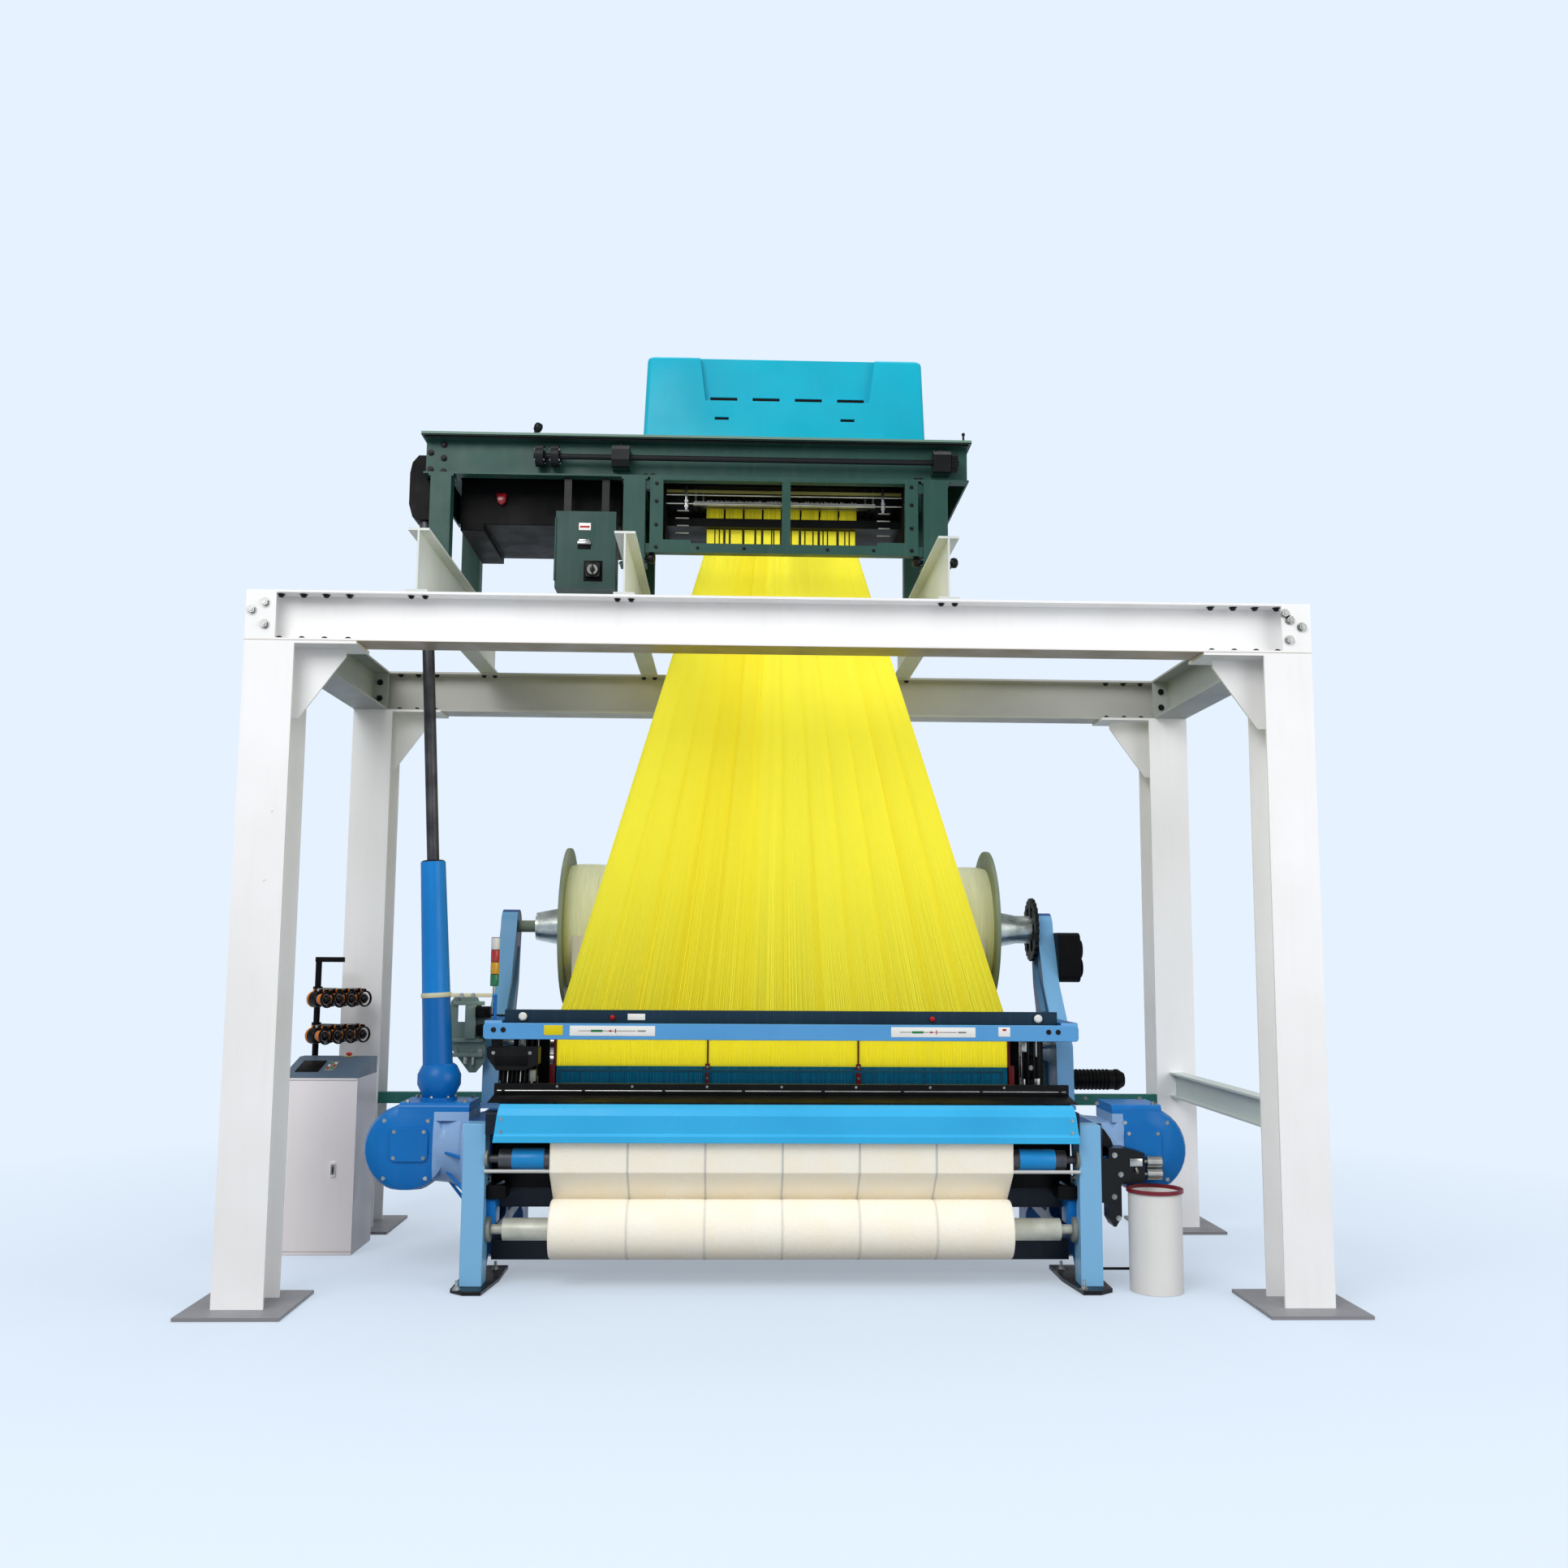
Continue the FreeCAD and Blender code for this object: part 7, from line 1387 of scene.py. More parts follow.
# ------------------------------------------------------------------ cloth and warp
@dataclass
class Ribbon:
    """A sheet that runs over rollers, given by its side view and its width."""

    x0: float
    x1: float
    thickness: float
    columns: int
    stations: tuple[Point, ...]

    def line(self, step: float = 12.0) -> list[Vector]:
        """Gives the side view: straight runs and arcs round the rollers.

        Args:
            step: the longest turn between two points of an arc, in degrees.

        Returns:
            Points with X at zero.
        """
        headings = []
        for first, second in zip(self.stations, self.stations[1:]):
            dy, dz = second[0] - first[0], second[1] - first[1]
            lean = math.asin((second[2] - first[2]) / math.hypot(dy, dz))
            headings.append(math.atan2(dz, dy) - lean)
        points = []
        for index, (y, z, radius) in enumerate(self.stations):
            first = headings[max(index - 1, 0)]
            last = headings[min(index, len(headings) - 1)]
            turn = (last - first + math.pi) % (2 * math.pi) - math.pi
            count = max(1, math.ceil(abs(math.degrees(turn)) / step)) if radius else 0
            for part in range(count + 1):
                angle = first + turn * (part / count if count else 0)
                points.append(Vector((0, y + radius * math.sin(angle),
                                      z - radius * math.cos(angle))))
                if not radius:
                    break
        return points

    def length(self) -> float:
        """Gives the length of the side view."""
        line = self.line()
        return sum((b - a).length for a, b in zip(line, line[1:]))

    def skin(self, bench: Bench) -> list[Corner]:
        """Draws the sheet's middle face across its width, with a UV map in metres.

        Args:
            bench: collects the mesh.

        Returns:
            The corners of the face, with their column in X.
        """
        line = self.line()
        rows = len(line) - 1
        spans = [0.0]
        for a, b in zip(line, line[1:]):
            spans.append(spans[-1] + (b - a).length)
        made = bmesh.ops.create_grid(bench.mesh, x_segments=self.columns, y_segments=rows,
                                     size=0.5)["verts"]
        bench.claim(made)
        bench.unroll(lambda spot: (spot.x + 0.5, spans[round((0.5 - spot.y) * rows)]))
        for vert in made:
            row = round((0.5 - vert.co.y) * rows)
            x = self.x0 + (vert.co.x + 0.5) * (self.x1 - self.x0)
            vert.co = (x, line[row].y, line[row].z)
        bmesh.ops.recalc_face_normals(bench.mesh, faces=bench.mesh.faces)
        return made

    def finish(self, bench: Bench, name: str, slot: str, angle: float) -> Piece:
        """Turns the face into a piece with the sheet's thickness.

        Args:
            bench: holds the face.
            name: the piece's name.
            slot: the record's material slot.
            angle: faces that meet at less than this are shaded smooth.

        Returns:
            The piece.
        """
        piece = bench.finish(name, "frame", slot, angle)
        solid = piece.modifiers.new("thickness", "SOLIDIFY")
        solid.thickness = self.thickness
        solid.offset = 0.0
        return piece


@dataclass
class ClothAndRoll(Assembly):
    """Six towel widths on their way from the fell to the cloth roll, and the roll itself."""

    left: float = -1.1355
    right: float = 1.1795
    radius: float = 0.145
    thickness: float = 0.003
    panels: int = 6

    def seam(self, x: float) -> float:
        """Gives how near a place is to a seam: 1 on it, 0 in a panel.

        Args:
            x: the place across the width.

        Returns:
            The nearness.
        """
        share = (x - self.left) / (self.right - self.left) * self.panels
        gap = abs(share - round(share)) * (self.right - self.left) / self.panels
        edge = round(share) in (0, self.panels)
        return 0.0 if edge else max(0.0, 1.0 - gap / 0.0075)

    def sheet(self) -> Piece:
        """Makes the cloth from the fell down to the roll.

        Returns:
            The piece.
        """
        gap = GAP + self.thickness / 2
        front = -0.709 + GAP
        ribbon = Ribbon(self.left, self.right, self.thickness, self.panels * 40, (
            (-0.402, 0.922 + self.thickness / 2, 0.0), (-0.45, 0.9097, 0.012 + gap),
            (front + 0.014, 0.854, 0.014 + gap), (front + 0.009, 0.577, 0.009 + gap),
            (*ROLL_AXIS, -(self.radius + gap))))
        bench = Bench().use(TOWEL)
        for vert in ribbon.skin(bench):
            vert[bench.tints] = 0.85 * self.seam(vert.co.x)
        piece = ribbon.finish(bench, "woven_cloth", "cloth", 80)
        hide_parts("cloth_sheet")
        return piece

    def roll(self) -> Piece:
        """Makes the wound cloth with a soft step at each seam and wound ends.

        Returns:
            The piece.
        """
        bench = Bench().use(TOWEL)
        width = self.right - self.left
        profile = [(0.0, 0.0552), (0.0, 0.08), (0.0012, 0.095), (0.0, 0.11), (0.0014, 0.126),
                   (0.0, self.radius - 0.006), (0.003, self.radius - 0.0015)]
        count = self.panels * 36
        for index in range(1, count):
            x = width * index / count
            profile.append((x, self.radius - 0.0022 * self.seam(self.left + x)))
        profile += [(width - a, b) for a, b in reversed(profile[:7])]
        bench.turned((self.left, *ROLL_AXIS), RIGHT, profile + [profile[0]], 72)
        for vert in bench.mesh.verts:
            wide = math.hypot(vert.co.y - ROLL_AXIS[0], vert.co.z - ROLL_AXIS[1])
            vert[bench.tints] = 0.5 * self.seam(vert.co.x) if wide > 0.14 else 0.0
        piece = bench.finish("wound_cloth", "cloth_beam", "cloth", 60)
        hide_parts("cloth_roll")
        return piece

    def build(self) -> list[Piece]:
        """Makes the cloth and its roll."""
        roll = self.roll()
        return [roll, self.sheet()]


@dataclass
class WarpSheets(Assembly):
    """The two warps behind the harness."""

    left: float = -1.165
    right: float = 1.225
    thickness: float = 0.003

    def warp(self, name: str, stations: tuple[Point, ...], rests: list[str]) -> Piece:
        """Makes one warp.

        Args:
            name: the piece's name.
            stations: its side view.
            rests: what it lies on; not used.

        Returns:
            The piece.
        """
        ribbon = Ribbon(self.left, self.right, self.thickness, 4, stations)
        bench = Bench().use(WARP_MASS)
        ribbon.skin(bench)
        piece = ribbon.finish(bench, name, "warp_yarn", 60)
        return piece

    def build(self) -> list[Piece]:
        """Makes both warps.

        Returns:
            The pieces.
        """
        half = self.thickness / 2
        gap = GAP + half
        behind = 0.045 + half
        pile = self.warp("pile_warp", ((*PILE_AXIS, 0.375 + gap), (0.33, 1.14, -(0.045 + gap)),
                                       (behind, 0.98 + half, 0.0)), ["pile_tension_roller"])
        ground = self.warp("ground_warp", ((0.62, 0.42, 0.29 + gap), (0.85, 1.01, 0.05 + gap),
                                           (behind, 0.96 + half, 0.0)), ["back_rest_roller"])
        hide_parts("warp_sheet")
        return [pile, ground]


@dataclass
class WarpBeams(Assembly):
    """The pile beam's wound yarn and its fittings."""

    flange: float = 1.26

    def yarn(self) -> Piece:
        """Makes the wound pile yarn, crowned and a little uneven.

        Returns:
            The piece.
        """
        bench = Bench().use(CREAM_YARN)
        half = 1.2437
        profile = [(0.0, 0.1125), (0.0, 0.364)]
        count = 60
        for index in range(count + 1):
            share = index / count
            x = 0.004 + share * (2 * half - 0.008)
            end = min(share, 1 - share)
            crown = 0.008 * min(1.0, end / 0.02) ** 0.5 + 0.0025 * math.sin(share * 41.0)
            profile.append((x, 0.3645 + crown))
        profile += [(2 * half, 0.364), (2 * half, 0.1125), (0.0, 0.1125)]
        bench.turned((LOOM_X - half, *PILE_AXIS), RIGHT, profile, 72)
        piece = bench.finish("wound_pile_yarn", "pile_warp_beam", "cloth", 60)
        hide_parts("pile_yarn")
        return piece

    def fittings(self) -> Piece:
        """Makes the flanges' rims and ribs and the hub bolts of the pile beam.

        Returns:
            The piece.
        """
        bench = Bench().use(FLANGE)
        for side in (-1, 1):
            x = LOOM_X + side * self.flange
            bench.turned((x, *PILE_AXIS), (side, 0, 0),
                         [(-0.001, 0.446), (0.006, 0.448), (0.009, 0.458), (0.006, 0.4695),
                          (-0.001, 0.4695)], 72)
            for step in range(8):
                angle = math.tau * step / 8
                way = Vector((0, math.cos(angle), math.sin(angle)))
                start = Vector((x + side * 0.004, *PILE_AXIS)) + way * 0.125
                bench.rod(start, start + way * 0.325, 0.007, 8, 0.005)
        bench.use(CHROME)
        for side, reach in ((-1, 0.185), (1, 0.263)):
            x = LOOM_X + side * (self.flange + 0.0005)
            profile = [(0.01, 0.112), (0.01, 0.1165), (0.165, 0.0855), (0.175, 0.083),
                       (reach, 0.083), (reach, 0.079), (0.176, 0.079)]
            bench.turned((x, *PILE_AXIS), (side, 0, 0), profile + [profile[0]], 48)
        bench.use(ZINC)
        for side in (-1, 1):
            x = LOOM_X + side * self.flange
            for step in range(6):
                at = around(PILE_AXIS, 0.15, math.tau * (step + 0.5) / 6)
                bench.bolt((x, *at), (side, 0, 0), 0.012)
        return bench.finish("pile_beam_fittings", "pile_warp_beam", "bright_steel")

    def build(self) -> list[Piece]:
        """Makes the beams' yarn and fittings."""
        return [self.yarn(), self.fittings()]


# ------------------------------------------------------------------ loom body
@dataclass
class LoomBody(Assembly):
    """Fittings on the loom: bar plates, knobs, cover screws, feet, bearings, and black sheets of
    painted shade.
    """

    guard: float = -0.44
    bar: float = -0.31
    wall: float = 1.488
    lintel: float = -0.4795

    def plates(self) -> Piece:
        """Makes the bare plates and generic scale marks on the guard bar and harness bar.

        Returns:
            The piece.
        """
        bench = Bench().use(LABEL)
        for across, up in (((-1.082, -0.639), (1.227, 1.279)), ((0.595, 1.039), (1.227, 1.279)),
                           ((1.16, 1.222), (1.232, 1.281))):
            bench.plate(self.guard, 0.0012, across, up, 0.0005)
        bench.plate(self.bar, 0.0012, (-0.792, -0.7), (1.303, 1.336), 0.0005)
        bench.use(LABEL_YELLOW).plate(self.guard, 0.0012, (-1.215, -1.118), (1.23, 1.281), 0.0005)
        marks = ((CASTING, 0.0009, (0.045, 0.345), (1.251, 1.2545)),
                 (CASTING, 0.0009, (0.352, 0.395), (1.249, 1.2565)),
                 (GREEN_MARK, 0.0011, (0.11, 0.17), (1.247, 1.2585)),
                 (RED, 0.0011, (0.205, 0.217), (1.248, 1.2575)),
                 (RED, 0.0011, (0.236, 0.241), (1.242, 1.264)))
        for left in (-1.082, 0.595):
            for finish, rise, (x0, x1), up in marks:
                bench.use(finish).plate(self.guard - 0.001, rise, (left + x0, left + x1), up)
        bench.use(RED).plate(self.guard - 0.001, 0.0009, (1.182, 1.202), (1.262, 1.272))
        return bench.finish("bare_plates", "frame", "cabinet_white")

    def knobs(self) -> Piece:
        """Makes the white knobs of the harness bar and the screws of the guard bar.

        Returns:
            The piece.
        """
        bench = Bench().use(WHITE_PLASTIC)
        for x in (-1.343, 1.395):
            bench.turned((x, self.bar + 0.001, 1.32), FRONT,
                         [(0, 0.0), (0, 0.012), (0.006, 0.012), (0.008, 0.021), (0.02, 0.022),
                          (0.027, 0.015), (0.028, 0.0)], 26)
        bench.use(BLACKED)
        for x in (-1.476, -1.426, 1.476, 1.426):
            bench.turned((x, self.guard + 0.001, 1.2565), FRONT,
                         [(0, 0.0), (0, 0.0135), (0.004, 0.0135), (0.005, 0.011), (0.005, 0.006),
                          (0.002, 0.005), (0.002, 0.0)], 20)
        return bench.finish("bar_knobs", "frame", "knob_black")

    def feet(self) -> Piece:
        """Makes the levelling bolts on the foot plates and the cover's end screws.

        Returns:
            The piece.
        """
        bench = Bench().use(ZINC)
        for side in (-1, 1):
            for shift, y in ((-0.055, -0.745), (0.06, -0.3), (-0.07, -0.3)):
                x = LOOM_X + side * (self.wall + 0.055) + shift
                bench.bolt((x, y, 0.02), UP, 0.016)
                bench.rod((x, y, 0.02), (x, y, 0.062), 0.008, 12)
        for x in (-1.375, 1.47):
            for z in (0.775, 0.835):
                bench.bolt((x, -0.75, z), FRONT, 0.006)
        return bench.finish("levelling_bolts", "frame", "bright_steel")

    def take_up(self) -> list[Piece]:
        """Makes the take-up roller's blue end sleeves, and the bearings and struts beside them.

        Returns:
            The pieces.
        """
        sleeves = Bench().use(Paint("sleeve_blue", "1c94dc", "1786ca", 0.3, 0.1, 0.04))
        for x0, x1 in ((-1.325, -1.165), (1.215, 1.395)):
            sleeves.turned((x0, *TAKE_UP_AXIS), RIGHT,
                           [(0, 0.0478), (0, 0.0505), (0.006, 0.0525), (x1 - x0 - 0.006, 0.0525),
                            (x1 - x0, 0.0505), (x1 - x0, 0.0478), (0, 0.0478)], 36)
        first = sleeves.finish("take_up_sleeves", "take_up", "tube_blue")
        bench = Bench()
        for side in (-1, 1):
            wall = LOOM_X + side * self.wall
            bench.use(BLACK)
            bench.block((wall, -0.64, 0.43), (wall - side * 0.1, -0.5, 0.5), 0.008)
            bench.use(DEEP_BLUE)
            bench.slab([(wall, -0.6, 0.3), (wall, -0.47, 0.3), (wall, -0.46, 0.47),
                        (wall, -0.56, 0.49), (wall, -0.612, 0.42)], (-side * 0.045, 0, 0), 0.005)
            bench.use(BRIGHT)
            bench.rod((wall - side * 0.001, -0.56, 0.465), (wall - side * 0.09, -0.65, 0.52),
                      0.007, 12)
            bench.bolt((wall, -0.585, 0.53), (-side, 0, 0), 0.013)
            bench.bolt((wall, -0.52, 0.36), (-side, 0, 0), 0.013)
            bench.use(CASTING)
            bench.turned((wall, *ROLL_AXIS), (-side, 0, 0),
                         [(-0.001, 0.027), (-0.001, 0.06), (0.01, 0.064), (0.024, 0.062),
                          (0.028, 0.052), (0.028, 0.027)], 28)
            bench.turned((wall, *TAKE_UP_AXIS), (-side, 0, 0),
                         [(-0.001, 0.022), (-0.001, 0.046), (0.012, 0.046), (0.014, 0.04),
                          (0.014, 0.022)], 28)
        second = bench.finish("roller_bearings", "frame", "deep_blue")
        return [first, second, self.inner_shade_sheets()]

    def inner_shade_sheets(self) -> Piece:
        """Makes black sheets of painted shade that close the loom's inside behind the take-up
        roller's ends.

        Returns:
            The piece.
        """
        bench = Bench().use(BLACK)
        for x0, x1 in ((-1.456, -1.14), (1.2, 1.516)):
            # painted shade: a black sheet where the loom's inside lies in shade
            bench.plate(-0.496, 0.004, (x0, x1), (0.466, 0.757), 0.0015)
            for x in (x0 + 0.03, x1 - 0.03):
                bench.bolt((x, -0.5, 0.735), FRONT, 0.007)
        return bench.finish("inner_shade_sheets", "frame", "black_metal")

    def temples(self) -> Piece:
        """Makes what is on the bar above the cloth: pale rod, holders, screws and a sloping black
        sheet.

        Returns:
            The piece.
        """
        bench = Bench().use(BRIGHT)
        low, high = LOOM_X - 1.47, LOOM_X + 1.47
        bench.rod((low, -0.487, 0.95), (high, -0.487, 0.95), 0.0055, 14)
        bench.use(BLACKED)
        for index in range(8):
            x = low + 0.03 + index * (high - low - 0.06) / 7
            bench.plate(-0.4785, 0.014, (x - 0.01, x + 0.01), (0.942, 0.958), 0.002)
        bench.use(ZINC)
        seams = (ClothAndRoll.right - ClothAndRoll.left) / ClothAndRoll.panels
        for index in range(ClothAndRoll.panels + 1):
            x = ClothAndRoll.left + index * seams
            bench.bolt((x, -0.479, 0.972), FRONT, 0.005)
        bench.use(BLACK)
        outline = ((self.lintel, 0.9305), (self.lintel, 0.9345), (-0.69, 0.9125), (-0.69, 0.9085))
        bench.slab([(-1.455, y, z) for y, z in outline], (2.97, 0, 0), 0.0008)
        return bench.finish("temple_rod", "frame", "bright_steel")

    def build(self) -> list[Piece]:
        """Makes the body's fittings."""
        return [self.plates(), self.knobs(), self.feet(), self.temples()] + self.take_up()


# ------------------------------------------------------------------ weft side and drives
@dataclass
class WeftSide(Assembly):
    """Fittings on both rapier casings, the weft presenter and the signal tower."""

    face: float = -0.53
    wheel: Pair = (-0.35, 0.66)

    def casing(self, side: int, reach: float) -> Piece:
        """Makes one casing's bolts and ribs.

        Args:
            side: -1 for the left casing, 1 for the right one.
            reach: the casing's reach from the loom's middle.

        Returns:
            The piece.
        """
        bench = Bench().use(DEEP_BLUE)
        x = LOOM_X + side * (reach - 0.22)
        wall = LOOM_X + side * 1.598
        for step in range(6):
            angle = math.radians(185 + 34 * step)
            way = Vector((0, math.cos(angle), math.sin(angle)))
            start = Vector((wall + side * 0.012, *self.wheel)) + way * 0.3
            end = Vector((wall + side * 0.12, *self.wheel)) + way * 0.18
            bench.rod(start, end, 0.01, 8, 0.007)
        bench.use(ZINC)
        for angle in (-126, -54, 52, 128):
            at_x, at_z = around((x, self.wheel[1]), 0.178, math.radians(angle))
            bench.bolt((at_x, self.face + 0.0135, at_z), FRONT, 0.012)
        for shift in (-0.075, 0.075):
            for z in (0.618, 0.748):
                bench.bolt((x - side * 0.02 + shift, self.face - 0.012, z), FRONT, 0.007)
        for near in (1.635, 1.93):
            for y in (-0.475, -0.225):
                bench.bolt((LOOM_X + side * near, y, 0.89), UP, 0.012)
        name = "casing_fittings_left" if side < 0 else "casing_fittings_right"
        return bench.finish(name, "frame", "deep_blue")

    def drive_stay(self) -> Piece:
        """Makes the upright tube's pale band and stay, the bolts of its foot and its top seal.

        Returns:
            The piece.
        """
        bench = Bench().use(Paint("cream_stay", "d9d4b4", "c6c09c", 0.4, 0.1, 0.08))
        foot, y, foot_z, lean = -1.765, -0.35, 0.89, (-0.057, 0, 1)
        z = 1.43
        x = foot + lean[0] * (z - foot_z)
        bench.turned((x + 0.0007, y, z - 0.0125), lean,
                     [(0, 0.07), (0, 0.0765), (0.003, 0.0785), (0.022, 0.0785), (0.025, 0.0765),
                      (0.025, 0.07), (0, 0.07)], 36)
        bench.block((x + 0.072, y - 0.012, z - 0.01), (-1.5, y + 0.012, z + 0.01), 0.003)
        bench.use(ZINC)
        for place in (-1.66, -1.6):
            bench.bolt((place, y - 0.012, z), FRONT, 0.009)
        for step in range(6):
            at = around((foot, y), 0.084, math.tau * (step + 0.25) / 6)
            bench.bolt((*at, 0.906), UP, 0.008)
        top = 2.13
        bench.use(BLACKED).turned(
            (foot + lean[0] * (top - foot_z), y, top - 0.001), lean,
            [(0, 0.0335), (0, 0.06), (0.006, 0.06), (0.01, 0.05), (0.01, 0.0335)], 36)
        return bench.finish("drive_stay", "frame", "tube_blue")

    def presenter(self) -> Piece:
        """Makes the weft presenter's yarn guides, screws and cutter parts, and a black backing of
        painted shade behind the guides.

        Returns:
            The piece.
        """
        bench = Bench()
        for index in range(8):
            x = -1.45 + index * 0.0221
            z = 0.985 + 0.003 * (index % 2)
            bench.use(BRIGHT if index in (2, 5) else BLACKED)
            bench.rod((x, -0.372, 1.05), (x, -0.385, z), 0.0028, 8)
            bench.ring((x, -0.386, z - 0.004), RIGHT, 0.0045, 0.0014)
        bench.blocks(0, (
            # painted shade: this first black block is a backing behind the guides
            (BLACK, (-1.452, -0.33, 0.956), (-1.262, -0.3, 1.0452), 0.004),
            (BLACK, (-1.47, -0.404, 1.07), (-1.3, -0.3995, 1.118), 0.003),
            (CASTING, (-1.3, -0.375, 0.986), (-1.262, -0.335, 1.046), 0.004),
            (BRIGHT, (-1.292, -0.4, 0.946), (-1.268, -0.375, 0.962), 0.002)))
        bench.rod((-1.281, -0.372, 0.99), (-1.281, -0.395, 0.96), 0.006, 10)
        bench.use(ZINC)
        for x in (-1.48, -1.29):
            bench.bolt((x, -0.4, 1.135), FRONT, 0.007)
        return bench.finish("presenter_guides", "frame", "black_metal")

    def cutter_plate(self) -> Piece:
        """Makes the bosses, ribs and dark units on the grey-green bracket plate.

        Returns:
            The piece.
        """
        bench = Bench().use(Paint("cutter_green", "8fa39a", "7b9087", 0.4, 0.14, 0.08))
        for z in (1.365, 1.165, 1.085):
            bench.block((-1.77, -0.022, z), (-1.6, 0.001, z + 0.022), 0.003)
        bench.block((-1.7, -0.04, 1.185), (-1.64, 0.001, 1.365), 0.004)
        bench.use(BLACK).block((-1.64, -0.07, 1.3), (-1.56, 0.001, 1.36), 0.006)
        bench.block((-1.632, -0.06, 1.2), (-1.56, 0.001, 1.262), 0.006)
        bench.rod((-1.6, -0.07, 1.33), (-1.6, -0.095, 1.33), 0.022, 20)
        bench.use(ZINC)
        for x, z in ((-1.745, 1.118), (-1.665, 1.118), (-1.745, 1.395), (-1.62, 1.118)):
            bench.bolt((x, 0.0, z), FRONT, 0.009)
        bench.use(BRIGHT).rod((-1.69, -0.03, 1.05), (-1.69, -0.03, 1.085), 0.012, 16)
        bench.rod((-1.65, -0.03, 1.045), (-1.65, -0.03, 1.085), 0.009, 16)
        return bench.finish("cutter_units", "frame", "black_metal")

    def tower(self) -> Piece:
        """Makes the signal tower: pole, stacked lenses and caps.

        Returns:
            The piece.
        """
        x, y = -1.567, 0.095
        bench = Bench().use(BLACK_GLOSS)
        bench.block((-1.6, 0.065, 1.302), (-1.47, 0.125, 1.312), 0.002)
        bench.use(BRIGHT).rod((x, y, 1.311), (x, y, 1.468), 0.009, 16)
        lenses = (Lens("lamp_green", "1f8f5e", "0f6b43"), Lens("lamp_yellow", "f2b51c", "d99a0c"),
                  Lens("lamp_red_tower", "d23a3a", "b02626"), WHITE_PLASTIC)
        rise = (1.738 - 1.467) / 4
        for index, lens in enumerate(lenses):
            low = 1.467 + index * rise
            bench.use(lens)
            bench.turned((x, y, low), UP, [(0, 0), (0, 0.0225), (0.004, 0.024),
                         (rise - 0.006, 0.024), (rise - 0.004, 0.0235), (rise - 0.004, 0)], 30)
            bench.use(BLACK_GLOSS)
            bench.turned((x, y, low + rise - 0.0045), UP, [(0, 0), (0, 0.0225),
                         (0.0045, 0.0225), (0.0045, 0)], 30)
        piece = bench.finish("signal_lamps", "frame", "lamp_stack")
        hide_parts("signal_tower")
        return piece

    def motors(self) -> Piece:
        """Makes the cooling ribs and cap of the reed motor, and the cap and ring of the let-off.

        Returns:
            The piece.
        """
        bench = Bench().use(BLACK)
        start = LOOM_X + 1.645
        for step in range(9):
            x = start + 0.04 + step * 0.022
            bench.turned((x, 0.2, 0.958), RIGHT,
                         [(0, 0.05), (0, 0.0585), (0.006, 0.0585), (0.006, 0.05), (0, 0.05)], 32)
        bench.turned((start + 0.262, 0.2, 0.958), RIGHT,
                     [(0, 0.0), (0, 0.059), (0.018, 0.059), (0.022, 0.054), (0.022, 0.0)], 32)
        bench.turned((start + 0.13, 0.5, 1.69), RIGHT,
                     [(-0.002, 0.0), (-0.002, 0.06), (0.014, 0.064), (0.024, 0.056),
                      (0.026, 0.0)], 32)
        bench.ring((start + 0.148, 0.5, 1.585), RIGHT, 0.05, 0.008)
        return bench.finish("motor_ribs", "frame", "black_metal")

    def build(self) -> list[Piece]:
        """Makes the fittings of the weft side."""
        return [self.casing(-1, 2.14), self.casing(1, 2.097), self.drive_stay(),
                self.presenter(), self.cutter_plate(), self.tower(), self.motors()]


@dataclass
class WasteTakeOff(Assembly):
    """Fittings of the waste selvedge rollers and their bracket."""

    x: float = 1.92
    y: float = -0.6

    def build(self) -> list[Piece]:
        """Makes the rollers' sleeves and the bracket's bolts.

        Returns:
            The pieces.
        """
        pieces = []
        for name, body, z in (("upper_sleeve", "upper_waste_roller", 0.615),
                              ("lower_sleeve", "lower_waste_roller", 0.5547)):
            bench = Bench().use(CASTING)
            bench.turned((self.x + 0.0365, self.y, z), RIGHT,
                         [(0, 0.0), (0, 0.027), (0.004, 0.026), (0.004, 0.01), (0.01, 0.01),
                          (0.011, 0.0)], 28)
            pieces.append(bench.finish(name, body, "bright_steel"))
        bench = Bench().use(ZINC)
        for x, z in ((1.705, 0.655), (1.735, 0.56), (1.7, 0.45), (1.72, 0.345)):
            bench.bolt((x, -0.66, z), FRONT, 0.01)
        bench.use(BRIGHT).block((1.78, -0.668, 0.6), (1.845, -0.6595, 0.64), 0.003)
        bench.rod((1.812, -0.664, 0.59), (1.812, -0.69, 0.575), 0.008, 12)
        pieces.append(bench.finish("waste_fittings", "frame", "bright_steel"))
        return pieces


